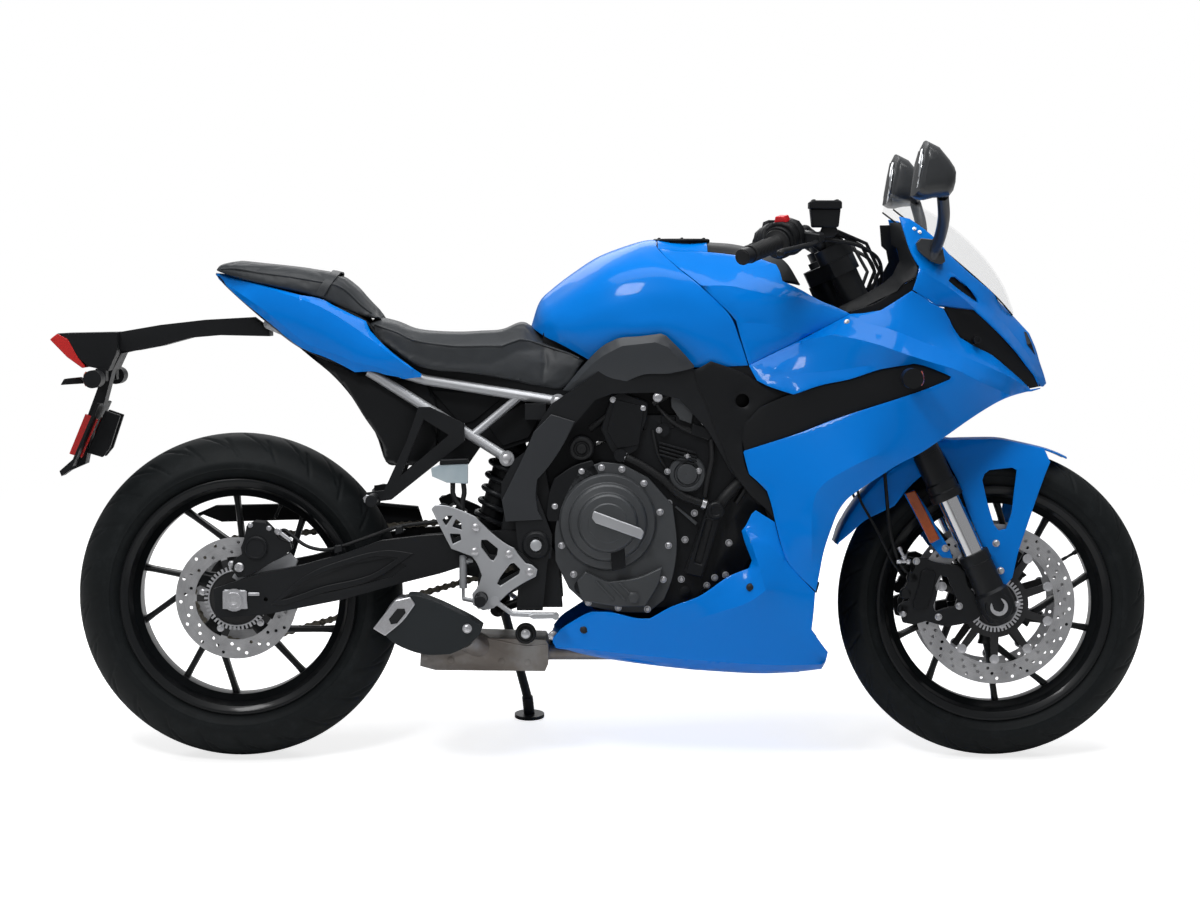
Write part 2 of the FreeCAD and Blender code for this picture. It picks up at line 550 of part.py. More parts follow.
def rear_axle():
    """Hollow axle, adjuster blocks and nuts outside the swingarm, spacers inside."""
    shaft = disc(0, 0, -ARM_OUTER_Y, ARM_OUTER_Y, REAR_AXLE_R)
    outside = join(box(-22, 24, ARM_OUTER_Y, ARM_OUTER_Y + 6, -17, 17),
                   disc(0, 0, ARM_OUTER_Y, ARM_OUTER_Y + 16, 15))
    right_spacer = ring(0, 0, REAR_HUB_HALF + DISC_THICK + 0.6, ARM_INNER_Y, 21, REAR_AXLE_R)
    right_spacer = right_spacer.mirror(V(0, 0, 0), V(0, 1, 0))
    left_spacer = ring(0, 0, SPROCKET_Y + 3.6, ARM_INNER_Y, 21, REAR_AXLE_R)
    shape = join(shaft, *pair(outside), right_spacer, left_spacer)
    return {"rear_axle": [at(shape.cut(disc(0, 0, -200, 200, AXLE_BORE_R)), REAR_AXLE)]}


def belt_outline(grow):
    """The band around both sprockets, as a face grown by `grow` from the pitch line."""
    rear, front = SPROCKET_R + 1.0 + grow, ENGINE_SPROCKET_R + grow
    a, b = V(0, 0, REAR_TYRE_R), V(ENGINE_SPROCKET.x, 0, ENGINE_SPROCKET.z)
    line = b - a
    length = line.Length
    lean = (rear - front) / length
    unit = line * (1 / length)
    up = V(-unit.z, 0, unit.x)
    cosine = sqrt(1 - lean * lean)
    top = unit * lean + up * cosine
    low = unit * lean - up * cosine
    edges = [Part.LineSegment(a + top * rear, b + top * front).toShape(),
             Part.Arc(b + top * front, b + unit * front, b + low * front).toShape(),
             Part.LineSegment(b + low * front, a + low * rear).toShape(),
             Part.Arc(a + low * rear, a - unit * rear, a + top * rear).toShape()]
    return Part.Face(Part.Wire(edges))


def drive_chain():
    """The chain as one band, grooved inside where the sprocket teeth run."""
    def band(grow, half):
        face = belt_outline(grow)
        face.translate(V(0, SPROCKET_Y - half, 0))
        return face.extrude(V(0, 2 * half, 0))
    chain = band(CHAIN_HALF_HEIGHT, CHAIN_HALF_WIDTH).cut(band(-CHAIN_HALF_HEIGHT, CHAIN_HALF_WIDTH + 1))
    groove = disc(0, REAR_TYRE_R, REAR_HUB_HALF - 1.5, SPROCKET_Y + 4.5, SPROCKET_R + 2)
    chain = chain.cut(groove)
    return {"drive_chain": [chain]}


def engine():
    """One block: crankcase, gearbox narrow enough for the chain, cylinders and head."""
    case = prism([(690, 290), (640, 340), (626, 420), (626, 520), (660, 590), (760, 640), (1000, 640),
                  (1046, 560), (1010, 420), (960, 320), (880, 286)], -88, 88)
    wide = prism([(712, 300), (700, 420), (716, 540), (760, 640), (1000, 640), (1040, 560), (1000, 420),
                  (950, 330), (870, 300)], -140, 140)
    head = prism([(790, 630), (770, 668), (905, 668), (1040, 600), (1046, 560), (960, 540)], -140, 140)
    sump = prism([(720, 300), (740, 250), (900, 250), (940, 320)], -60, 60)
    block = join(case, wide, head, sump)
    clutch = join(disc(714, 467, -190, -158, 66), disc(714, 467, -198, -190, 54),
                  disc(714, 467, -204, -198, 36))
    cover = prism([(676, 311), (731, 300), (790, 300), (818, 368), (826, 436), (812, 505), (790, 548),
                   (741, 574),
                   (700, 574), (652, 520), (632, 470), (636, 400), (652, 350)], -158, -140)
    clutch = join(clutch, cover)
    generator = join(disc(800, 430, 140, 168, 80), disc(800, 430, 168, 178, 62),
                     disc(800, 430, 178, 184, 20))
    gearbox_cover = prism([(598, 462), (602, 520), (612, 560), (642, 583), (690, 583), (700, 500),
                           (700, 462)],
                          -146, -88).cut(cover)
    sprocket_cover = prism([(606, 382), (720, 372), (728, 500), (640, 505), (606, 470)],
                           SPROCKET_Y + CHAIN_HALF_WIDTH + 3, 146)
    shaft = disc(ENGINE_SPROCKET.x, ENGINE_SPROCKET.z, 80, SPROCKET_Y + 6, 14)
    teeth = disc(ENGINE_SPROCKET.x, ENGINE_SPROCKET.z, SPROCKET_Y - 3, SPROCKET_Y + 3,
                 ENGINE_SPROCKET_R - CHAIN_HALF_HEIGHT - CLEARANCE)
    mounts = [disc(820, 640, 130, FRAME_INNER_Y, 12), disc(960, 600, 130, FRAME_INNER_Y, 12)]
    cowl_boss = disc(900, 330, 130, 203, 8)
    block = join(block, shaft, teeth, *pair(mounts[0]), *pair(mounts[1]), *pair(cowl_boss))
    pump = join(disc(920, 487, -164, -130, 17), bar_in_plane((920, 487), (875, 365), 34, 30, -160, -130))
    stub = disc(738, 592, -162, -130, 12)
    breather = prism([(722, 706), (741, 711), (790, 692), (781, 642), (770, 603), (724, 594), (701, 642)],
                     -146, -128)
    block = join(block, pump, stub, breather)
    sprocket_cover = sprocket_cover.cut(block).cut(generator)
    gearbox_cover = gearbox_cover.cut(block)
    coolant = hose([V(749.2, -152, 587), V(785, -152, 569), V(817, -152, 547), V(852, -152, 516),
                    V(878, -152, 504),
                    V(904.4, -152, 496.4)], COOLANT_HOSE_R)
    return {"engine_block": [block], "engine_covers": [clutch, generator, gearbox_cover, sprocket_cover],
            "coolant_hose": [coolant]}


def chain_guard():
    """Moulded guard over the upper run of the chain, on the left beam of the swingarm."""
    top = prism([(-96, 466), (-60, 482), (90, 486), (250, 488), (340, 480), (340, 474), (250, 482),
                 (90, 480),
                 (-58, 476), (-92, 460)], SPROCKET_Y - 10, ARM_INNER_Y + 4)
    lip = prism([(-96, 466), (-60, 482), (90, 486), (250, 488), (340, 480), (356, 430), (330, 428),
                 (250, 452),
                 (90, 452), (-50, 448)], ARM_INNER_Y + 1, ARM_INNER_Y + 4)
    return {"chain_guard": [join(top, lip)]}


def bound_hoses():
    """Brake hoses and cables that are clipped along their whole way."""
    seat = CLEARANCE + HOSE_R / 2
    def under_clamp(ahead, y):
        return fork_frame(Part.Vertex(V(ahead, y, LOWER_CLAMP_AT - seat))).Point
    brake = hose([V(1291.2, -80, 363.3), V(1276, -84, 384), V(1258, -90, 440), V(1250, -92, 540),
                  V(1240, -80, 640),
                  under_clamp(-24, -72)], HOSE_R)
    sensor = hose([V(1287.9, -62, 353.1), V(1266, -76, 380), V(1232, -86, 450), V(1190, -90, 520),
                   V(1205, -86, 620), under_clamp(-36, -62)], HOSE_R - 1)
    on_clamp = fork_frame(Part.Vertex(V(36 - FORK_OFFSET, -60, LOWER_CLAMP_AT + CLAMP_THICK + seat))).Point
    loop = hose([V(1108, -181, 1004), V(1124, -160, 1004), V(1190, -140, 996), V(1238, -100, 968),
                 V(1244, -70, 925), V(1238, -60, 880), V(1252, -60, 810), on_clamp], HOSE_R)
    rear = hose([V(77.3, -100, 432.4), V(90, -106, 450), V(136, -126, 415), V(174, -132, 408),
                 V(210, -132, 418),
                 V(279, -132, 443), V(317, -132, 456), V(356, -134, 461), V(410, -142, 468), V(437, -152,
                                                                                               446),
                 V(438, -156, 402)], HOSE_R)
    return {"steering_hoses": pair(brake) + pair(sensor) + pair(loop), "rear_brake_hose": [rear]}


def radiator():
    core = box(1078, 1104, -122, 122, 470, 716)
    tanks = pair(box(1074, 1108, 122, 144, 480, 706))
    bracket = box(1040, 1080, -20, 20, 572, 600)
    return {"radiator": [join(core, *tanks, bracket)]}


def exhaust():
    """Four header pipes under the engine, the collector box, and the silencer with its tip."""
    pieces = []
    for y in (-90, -30, 30, 90):
        inward = y * 0.5
        pieces.append(run([V(1020, y, 590), V(1054, y, 530), V(1046, y, 400), V(1000, inward, 262),
                           V(920, inward, 222), V(760, inward, 206), V(590, inward, 206)], 16))
    box_side = [(354, 186), (384, 178), (594, 176), (600, 190), (600, 228), (594, 236), (470, 240),
                (392, 236),
                (356, 222)]
    collector = prism(box_side, -128, 70)
    outlet = rod(V(470, -110, 222), V(440, -160, 246), 24)
    shape = join(*pieces, collector, outlet)
    can = prism([(330, 327), (343, 330), (453, 300), (477, 270), (462, 246), (415, 219), (358, 227),
                 (318, 246),
                 (300, 290)], -236, -152)
    can = can.makeChamfer(16, [e for e in can.Edges if abs(e.BoundBox.YMax - e.BoundBox.YMin) < 1])
    tip = run([V(338, -194, 288), V(290, -194, 292)], 26)
    tip = tip.cut(run([V(338, -194, 288), V(286, -194, 292)], 22))
    tip = tip.cut(can)
    return {"exhaust": [shape.cut(can)], "silencer": [join(can, tip)]}


def rear_shock():
    low, high = V(462, 0, 364), V(548, 0, 672)
    axis = (high - low).normalize()
    damper = rod(low + axis * 20, low + axis * 210, 22)
    spring = rod(low + axis * 60, low + axis * 250, 38)
    top = rod(low + axis * 250, high, 24)
    return {"rear_shock": [join(damper, spring, top)]}


def rear_caliper():
    """Caliper over the rear disc on a bracket inside the right beam."""
    block = caliper(70, 140, 40, 88, -ARM_INNER_Y, -72, -REAR_HUB_HALF - DISC_THICK, REAR_DISC_R)
    block = at(block, REAR_AXLE)
    return {"rear_caliper": [block]}


# ---------------------------------------------------------------- tank and seats
TANK = [
    # x, top z, top y, shoulder z, shoulder y, waist z, waist y, low z, low y
    (569, 842, 26, 836, 54, 822, 72, 800, 76),
    (600, 896, 40, 880, 74, 846, 94, 792, 98),
    (660, 944, 54, 926, 94, 878, 118, 784, 116),
    (740, 986, 62, 968, 112, 908, 145, 778, 134),
    (815, 1004, 66, 988, 122, 928, 164, 776, 148),
    (900, 998, 64, 982, 116, 918, 172, 774, 160),
    (985, 984, 56, 968, 104, 906, 170, 774, 166),
    (1046, 964, 46, 948, 88, 896, 164, 790, 160),
]
SEAM = [(814, 1040), (814, 987), (843, 961), (900, 903), (953, 858), (965, 838), (985, 764), (985, 700)]


def tank():
    """Tank with its recess for the cap, front cover, and black side panels."""
    body = hull_loft([(x, [(0, tz), (ty, tz), (sy, sz), (wy, wz), (ly, lz), (0, lz)][1:-1])
                      for x, tz, ty, sz, sy, wz, wy, lz, ly in TANK])
    rear_side = prism([(500, 1040)] + SEAM + [(500, 700)], -300, 300)
    rear = body.common(rear_side)
    gap_seam = [(x + PANEL_GAP, z) for x, z in SEAM]
    front = body.common(prism([(1200, 1040)] + gap_seam + [(1200, 700)], -300, 300))
    arch = prism([(560, 836), (623, 806), (663, 785), (676, 774), (690, 779), (722, 812), (737, 817),
                  (804, 825),
                  (821, 821), (871, 764), (871, 700), (500, 700), (500, 836)], 90, 300)
    for side in pair(arch):
        rear = rear.cut(side)
    hollow = prism([(1000, 900), (1000, 700), (1200, 700), (1200, 900)], -140, 140)
    front = front.cut(hollow)
    recess = Part.makeCylinder(FUEL_CAP_R + 5.5, 60, CAP_CENTRE - V(0, 0, FUEL_CAP_THICK))
    slot = box(CAP_CENTRE.x + FUEL_CAP_R, CAP_CENTRE.x + FUEL_CAP_R + 18, -17, 17, CAP_CENTRE.z - 11, 1060)
    rear = rear.cut(recess).cut(slot)
    front = front.cut(recess).cut(slot)
    wings = []
    rails = [[(1047, 956, 108), (1082, 934, 145), (1120, 909, 158), (1174, 864, 162)],
             [(1047, 900, 164), (1080, 892, 169), (1118, 880, 169), (1174, 861, 164)],
             [(986, 766, 167), (1060, 806, 172), (1110, 832, 172), (1173, 858, 166)]]
    rails = [[(x, y, z) for x, z, y in rail] for rail in rails]
    for side in (1, -1):
        wings.append(sheet(rails, (1050, 0, 850), PANEL, side).cut(body))
    panel = prism([(627, 719), (680, 766), (722, 808), (775, 820), (820, 818), (876, 764), (866, 757),
                   (775, 745),
                   (709, 723), (680, 709)], FRAME_OUTER_Y + CLEARANCE, FRAME_OUTER_Y + CLEARANCE + 6)
    return {"fuel_tank": [rear], "tank_front_cover": [join(front, *wings)], "trim_panels": pair(panel)}


def fuel_cap():
    """Round lid in the tank's recess, with a knuckle in front on its own pin."""
    lid = Part.makeCylinder(FUEL_CAP_R, FUEL_CAP_THICK - 1, CAP_CENTRE - V(0, 0, FUEL_CAP_THICK - 1))
    hinge = V(CAP_CENTRE.x + FUEL_CAP_R + 8, 0, CAP_CENTRE.z - 3)
    knuckle = rod(hinge - V(0, 15, 0), hinge + V(0, 15, 0), 4)
    tongue = box(CAP_CENTRE.x + FUEL_CAP_R - 4, hinge.x, -10, 10, CAP_CENTRE.z - 5, CAP_CENTRE.z)
    return {"fuel_cap": [join(lid, knuckle, tongue)]}


RIDER_SEAT = [
    # x, top z, top y, edge z, edge y, low z, low y
    (252, 850, 60, 838, 100, 826, 104),
    (290, 843, 84, 828, 122, 790, 124),
    (340, 830, 92, 812, 130, 766, 132),
    (430, 824, 96, 802, 132, 744, 134),
    (500, 824, 84, 802, 116, 734, 122),
    (548, 836, 62, 816, 92, 732, 104),
    (574, 838, 48, 818, 78, 738, 92),
]
PASSENGER_SEAT = [
    (-46, 962, 34, 956, 50, 948, 50),
    (0, 960, 62, 946, 84, 932, 86),
    (80, 954, 84, 936, 110, 914, 112),
    (160, 944, 86, 924, 114, 896, 116),
    (204, 926, 78, 906, 108, 884, 110),
    (262, 866, 60, 852, 92, 846, 96),
]


def seat_body(stations):
    sections = []
    for x, tz, ty, ez, ey, lz, ly in stations:
        sections.append((x, [(ty, tz), (ey, ez), (ly, lz)]))
    return hull_loft(sections)


def seats():
    return {"rider_seat": [seat_body(RIDER_SEAT)], "passenger_seat": [seat_body(PASSENGER_SEAT)]}


# ---------------------------------------------------------------- tail
TAIL_RAILS = [
    [(-40, 946, 30), (45, 922, 88), (120, 903, 116), (184, 884, 118), (240, 850, 118), (300, 800, 136),
     (348, 752, 136)],
    [(-34, 938, 44), (46, 914, 92), (106, 896, 118), (165, 874, 122), (222, 842, 126), (276, 800, 138),
     (338, 750, 136)],
    [(-28, 928, 46), (28, 893, 88), (72, 858, 106), (122, 815, 118), (186, 786, 128), (250, 764, 134),
     (333, 745, 132)],
    [(-22, 919, 42), (8, 893, 80), (46, 862, 98), (106, 810, 110), (176, 772, 118), (246, 749, 124),
     (328, 739, 124)],
]


def tail():
    """Painted tail halves, black undertail box, lamp arm with lens, plate bracket."""
    rails = [[(x, y, z) for x, z, y in rail] for rail in TAIL_RAILS]
    halves = [sheet(rails, (150, 0, 820), PANEL, side) for side in (1, -1)]
    tray = prism([(-50, 936), (0, 930), (60, 916), (124, 896), (180, 876), (244, 838), (262, 800),
                  (330, 748),
                  (430, 738), (470, 732), (470, 690), (440, 548), (372, 540), (340, 540), (291, 563), (282,
                                                                                                       592),
                  (257, 649), (218, 711), (132, 790), (100, 806), (23, 859), (-40, 916)], -86, 86)
    inner = prism([(0, 918), (60, 903), (124, 883), (180, 860), (236, 826), (258, 790), (330, 738),
                   (430, 728), (460, 723), (460, 690), (431, 558), (372, 550), (345, 550), (301,
                                                                                            569), (292,
                                                                                                   598),
                   (267, 655), (226, 718), (140, 797), (108, 813), (33, 864)], -78, 78)
    arm = prism([(26, 855), (-64, 850), (-151, 840), (-232, 826), (-232, 790), (-199, 790), (-151, 799),
                 (-93, 815),
                 (-35, 820), (60, 818), (60, 830)], -44, 44)
    housing = prism([(-343, 824), (-246, 826), (-229, 826), (-229, 792), (-231, 784), (-246, 752),
                     (-284, 760),
                     (-304, 778), (-323, 813)], -92, 92)
    lens = prism([(-358, 812), (-351, 818), (-343, 824), (-323, 813), (-304, 778), (-289, 759), (-296, 757),
                  (-325, 778)], -92, 92)
    bracket = prism([(-203, 790), (-229, 784), (-246, 751), (-262, 690), (-286, 640), (-300, 570),
                     (-332, 556),
                     (-346, 546), (-350, 556), (-318, 584), (-300, 650), (-262, 752), (-240, 790)], -30, 30)
    plate_seat = prism([(PLATE_TOP.x, PLATE_TOP.z), (PLATE_FOOT.x, PLATE_FOOT.z)]
                       + [(p.x, p.z) for p in (PLATE_FOOT + PLATE_NORMAL * PLATE_THICK,
                                               PLATE_TOP + PLATE_NORMAL * PLATE_THICK)], -95, 95)
    middle = (PLATE_TOP + PLATE_FOOT) * 0.5
    bolts = [rod(middle + V(0, y, 0) - PLATE_NORMAL * 30, middle + V(0, y, 0) + PLATE_NORMAL * 30,
                 PLATE_BOLT_R)
             for y in (-PLATE_BOLT_Y, PLATE_BOLT_Y)]
    bracket = join(bracket, plate_seat).cut(housing).cut(lens)
    for bolt in bolts:
        bracket = bracket.cut(bolt)
    return {"tail_cowl": halves, "undertail": [tray.cut(inner)],
            "tail_lamp_arm": [join(arm, housing).cut(tray)],
            "tail_lens": [lens], "plate_bracket": [bracket]}


def indicators():
    """Four lamps on short stalks."""
    rear = join(rod(V(-262, 92, 738), V(-262, 140, 738), 8), rod(V(-262, 140, 738), V(-262, 205, 738), 17))
    rear = join(rear, box(-270, -250, 60, 96, 732, 756))
    front = join(rod(V(1282, 224, 742), V(1282, 258, 742), 9),
                 rod(V(1282, 258, 742), V(1282, 318, 742), 19))
    return {"indicators": pair(front) + pair(rear)}


def subframe():
    """Silver tubes that carry the tail, with tabs for the passenger pegs."""
    y = 112.0
    upper = run([V(60, 60, 842), V(190, y - 14, 786), V(364, y, 735), V(619, y, 694)], TUBE_R)
    lower = run([V(255, y, 752), V(521, y, 585)], TUBE_R)
    brace = rod(V(546, y, 704), V(454, y, 628), TUBE_R - 2)
    bosses = [disc(619, 694, y - 14, FRAME_INNER_Y, 14), disc(521, 585, y - 14, FRAME_INNER_Y, 14)]
    tabs = [box(352, 374, y - 4, y + 14, 660, 684), box(418, 440, y - 4, y + 14, 618, 652)]
    side = join(upper, lower, brace, *bosses, *tabs)
    cross = rod(V(60, -60, 842), V(60, 60, 842), TUBE_R)
    cross_front = rod(V(619, -y, 694), V(619, y, 694), TUBE_R - 1)
    return {"subframe": [join(*pair(side), cross, cross_front)]}


# ---------------------------------------------------------------- fairing
SIDE_UPPER = [
    [(990, 766, 172), (1062, 806, 175), (1120, 834, 174), (1180, 860, 170), (1216, 866, 172),
     (1256, 886, 172), (1292, 904, 170), (1344, 877, 178), (1360, 850, 182), (1384, 820, 180),
     (1440, 786, 160), (1505, 722, 112)],
    [(988, 758, 176), (1055, 790, 190), (1115, 818, 200), (1190, 848, 206), (1225, 840, 208),
     (1262, 826, 208), (1305, 810, 206), (1352, 792, 204), (1380, 780, 200), (1410, 766, 192),
     (1452, 746, 168), (1508, 718, 114)],
    [(998, 744, 178), (1062, 764, 200), (1120, 786, 216), (1180, 800, 228), (1222, 792, 234),
     (1266, 780, 236), (1310, 768, 232), (1356, 750, 226), (1386, 744, 218), (1418, 740, 206),
     (1458, 730, 176), (1504, 716, 116)],
    [(1019, 732, 178), (1064, 714, 206), (1120, 728, 224), (1180, 748, 234), (1222, 758, 238),
     (1266, 764, 238), (1308, 762, 234), (1358, 744, 228), (1390, 738, 218), (1422, 736, 206),
     (1456, 722, 178), (1500, 712, 118)],
]
SIDE_LOWER = [
    [(974, 604, 182), (1040, 630, 200), (1110, 656, 216), (1180, 680, 226), (1250, 706, 230),
     (1310, 727, 228), (1358, 742, 222), (1400, 738, 210), (1440, 738, 190)],
    [(974, 590, 184), (1036, 606, 204), (1100, 622, 218), (1166, 640, 228), (1230, 664, 230),
     (1290, 690, 226), (1346, 712, 218), (1390, 722, 206), (1450, 728, 184)],
    [(977, 562, 186), (1020, 560, 204), (1070, 562, 216), (1125, 572, 224), (1180, 592, 226),
     (1240, 618, 222), (1310, 650, 212), (1384, 680, 196), (1462, 716, 176)],
    [(1014, 532, 190), (1040, 526, 202), (1074, 524, 210), (1108, 528, 214), (1150, 540, 216),
     (1196, 562, 214), (1270, 604, 204), (1370, 652, 192), (1480, 712, 166)],
]
SIDE_FRONT = [
    [(1014, 532, 190), (1030, 472, 192), (1049, 398, 194), (1104, 337, 190)],
    [(1074, 524, 210), (1084, 470, 212), (1090, 410, 206), (1108, 345, 194)],
    [(1150, 540, 216), (1150, 484, 212), (1124, 430, 204), (1114, 362, 192)],
]


SIDE_STRIP = [
    [(1066, 717, 203), (1120, 731, 221), (1180, 751, 231), (1222, 761, 235), (1266, 767, 235),
     (1306, 765, 231), (1352, 747, 224)],
    [(1066, 637, 203), (1112, 654, 213), (1180, 677, 223), (1240, 699, 226), (1290, 717, 225),
     (1320, 727, 223), (1352, 741, 219)],
]


def points_of(rails):
    """Rails are written (x, z, y) so that they read like the side outline."""
    return [[(x, y, z) for x, z, y in rail] for rail in rails]


def side_cowls():
    """Right and left side cowls, each a wing above and a scoop below, and a black strip between."""
    result = {"side_cowls": [], "side_strips": []}
    core = (1200, 0, 700)
    for side in (1, -1):
        wing = sheet(points_of(SIDE_UPPER), core, PANEL, side)
        scoop = sheet(points_of(SIDE_LOWER), core, PANEL, side)
        front = sheet(points_of(SIDE_FRONT), (1080, 0, 450), PANEL, side)
        result["side_cowls"].append(join(wing, scoop, front))
        result["side_strips"].append(sheet(points_of(SIDE_STRIP), core, PANEL, side))
    return result


LOWER_COWL = [
    [(616, 262, 158), (680, 300, 176), (784, 289, 190), (880, 336, 200), (968, 374, 204), (978, 438, 200),
     (985, 489, 194), (1028, 469, 190), (1047, 396, 192), (1102, 335, 188)],
    [(615, 250, 160), (680, 272, 184), (780, 262, 197), (870, 280, 205), (960, 320, 208), (1000, 350, 208),
     (1024, 380, 206), (1050, 380, 204), (1080, 330, 200), (1108, 290, 192)],
    [(614, 238, 150), (680, 236, 170), (780, 226, 180), (870, 222, 186), (960, 222, 190), (1000, 222, 190),
     (1030, 222, 190), (1060, 223, 188), (1090, 224, 184), (1120, 226, 176)],
    [(618, 226, 122), (680, 210, 118), (780, 194, 106), (870, 180, 98), (960, 174, 90), (1000, 172, 88),
     (1030, 172, 86), (1060, 173, 84), (1090, 175, 80), (1118, 180, 74)],
    [(634, 214, 88), (690, 200, 84), (780, 186, 76), (870, 172, 50), (960, 166, 1), (1000, 165, 1),
     (1030, 165, 1), (1060, 166, 1), (1090, 168, 1), (1112, 172, 1)],
]


def lower_cowls():
    rails = [[(x, y, z) for x, z, y in rail] for rail in LOWER_COWL]
    return {"lower_cowls": [sheet(rails, (900, 0, 330), PANEL, side) for side in (1, -1)]}


NOSE = [
    [(1266, 1050, 124), (1310, 1022, 112), (1376, 970, 90), (1430, 926, 66), (1474, 888, 38),
     (1506, 856, 8), (1538, 816, 1)],
    [(1284, 990, 142), (1322, 940, 158), (1368, 912, 160), (1416, 874, 140), (1460, 838, 110),
     (1500, 806, 72), (1536, 792, 52)],
    [(1297, 909, 164), (1346, 881, 172), (1396, 877, 168), (1446, 845, 145), (1488, 808, 110),
     (1516, 772, 76), (1540, 738, 56)],
]
SCREEN_EDGE = [(1505, 858, 8), (1474, 889, 40), (1430, 927, 68), (1376, 971, 92), (1310, 1023, 114),
               (1266, 1051, 126)]
SCREEN_MIDDLE = [(1502, 874, 0), (1480, 926, 0), (1448, 972, 0), (1400, 1020, 0), (1336, 1062, 0),
                 (1262, 1095, 0)]


def nose():
    """Upper cowl, lamp, intakes, screen, dash and the bracket that holds them to the head tube."""
    rails = [[(x, y, z) for x, z, y in rail] for rail in NOSE]
    halves = [sheet(rails, (1350, 0, 850), PANEL, side) for side in (1, -1)]
    lens_face = [[(1540, 812, 50), (1552, 770, 54), (1556, 726, 44), (1548, 704, 30)],
                 [(1541, 813, 25), (1560, 770, 27), (1566, 724, 22), (1556, 702, 15)],
                 [(1541, 814, 0), (1562, 770, 0), (1568, 724, 0), (1558, 701, 0)],
                 [(1541, 813, -25), (1560, 770, -27), (1566, 724, -22), (1556, 702, -15)],
                 [(1540, 812, -50), (1552, 770, -54), (1556, 726, -44), (1548, 704, -30)]]
    lamp = sheet([[(x, y, z) for x, z, y in rail] for rail in lens_face], (1400, 0, 760), 40)
    intake = [[(1350, 876, 170), (1396, 873, 166), (1446, 841, 143), (1486, 804, 108), (1514, 768, 74),
               (1538, 734, 54)],
              [(1366, 842, 168), (1400, 824, 160), (1440, 794, 144), (1476, 764, 116), (1502, 738, 88),
               (1530, 716, 52)]]
    intakes = [sheet([[(x, y, z) for x, z, y in rail] for rail in intake], (1350, 0, 780), PANEL, side)
               for side in (1, -1)]
    screen_rows = [[(x, y, z) for x, z, y in SCREEN_EDGE]]
    for share in (0.62, 0.0, -0.62):
        bulge = 1 - share * share * 0.75
        screen_rows.append([(ex + (mx - ex) * bulge, ey * share, ez + (mz - ez) * bulge)
                            for (ex, ez, ey), (mx, mz, _) in zip(SCREEN_EDGE, SCREEN_MIDDLE)])
    screen_rows.append([(x, -y, z) for x, z, y in SCREEN_EDGE])
    screen = sheet(screen_rows, (1300, 0, 850), PANEL)
    dash = prism([(1280, 1012), (1298, 1020), (1328, 960), (1308, 948)], -72, 72)
    stay = join(prism([(1212, 850), (1300, 890), (1470, 800), (1500, 760), (1486, 748), (1440, 770),
                       (1300, 850),
                       (1224, 800)], -12, 12), rod(V(1420, -151, 812), V(1420, 151, 812), 7),
                prism([(1296, 880), (1304, 956), (1314, 956), (1318, 886)], -10, 10))
    return {"upper_cowl": halves, "headlight": [lamp], "intake_ducts": intakes, "windscreen": [screen],
            "dash": [dash], "cowl_stay": [stay]}


def mirrors():
    """Mirror heads on short stalks from the cowl's ears."""
    head = [(1300, 1183), (1319, 1177), (1346, 1140), (1356, 1112), (1346, 1084), (1337, 1079),
            (1291, 1075),
            (1278, 1081), (1288, 1159)]
    pod = prism(head, 262, 385)
    stalk = run([V(1318, 140, 968), V(1338, 180, 990), V(1345, 250, 1040), V(1330, 300, 1085)], 11)
    return {"mirrors": pair(join(pod, stalk))}


# ---------------------------------------------------------------- foot controls
def foot_controls():
    plate = prism([(379, 492), (400, 502), (457, 479), (480, 458), (516, 426), (552, 404), (581, 376),
                   (547, 338),
                   (515, 322), (488, 298), (466, 300), (456, 318), (466, 344), (470, 386), (440,
                                                                                            402), (417,
                                                                                                   414)],
                  FRAME_OUTER_Y, FRAME_OUTER_Y + 8)
    windows = [[(399, 478), (409, 486), (420, 486), (407, 468)],
               [(424, 478), (436, 470), (436, 458), (418, 464)],
               [(414, 452), (434, 452), (436, 440), (420, 434)], [(472, 440), (484, 438), (506, 424),
                                                                  (500, 402), (488, 404), (472, 430)],
               [(528, 394), (538, 394), (548, 384), (546, 374), (510, 354), (504, 358)]]
    for window in windows:
        plate = plate.cut(prism(window, FRAME_OUTER_Y - 1, FRAME_OUTER_Y + 9))
    x, z = RIDER_PEG
    outer = FRAME_OUTER_Y + 8
    peg = join(disc(x, z, outer, outer + 20, 13), disc(x, z, outer + 20, outer + 92, PEG_R))
    pedal = run([V(x + 26, outer + 8, z - 6), V(x + 60, outer + 10, z - 30),
                 V(x + 142, outer + 12, z - 33)], 5)
    pedal = join(pedal, disc(x + 142, z - 33, outer + 6, outer + 40, 6),
                 disc(x + 26, z - 6, outer, outer + 14, 9))
    cylinder = join(rod(V(438, -156, 338), V(438, -156, 401), 7.5),
                    rod(V(438, -156, 318), V(438, -156, 340), 3))
    cylinder = join(cylinder, rod(V(438, -156, 388), V(456, -156, 392), 5),
                    rod(V(438, -156, 318), V(474, -176, 312), 4))
    px, pz = PILLION_PEG
    hanger = prism([(352, 684), (374, 684), (440, 652), (440, 618), (300, 506), (252, 500), (252, 520),
                    (286, 524),
                    (330, 620)], 126, 134)
    hanger = hanger.cut(prism([(362, 660), (410, 630), (318, 552)], 120, 140))
    pillion = join(hanger, disc(px, pz, 134, 220, PEG_R), disc(px, pz, 126, 134, 14))
    right = join(plate, peg).mirror(V(0, 0, 0), V(0, 1, 0))
    brake = join(pedal.mirror(V(0, 0, 0), V(0, 1, 0)), cylinder).cut(right)
    return {"rearsets": [join(plate, peg), right], "foot_levers": [pedal, brake],
            "passenger_pegs": pair(pillion)}


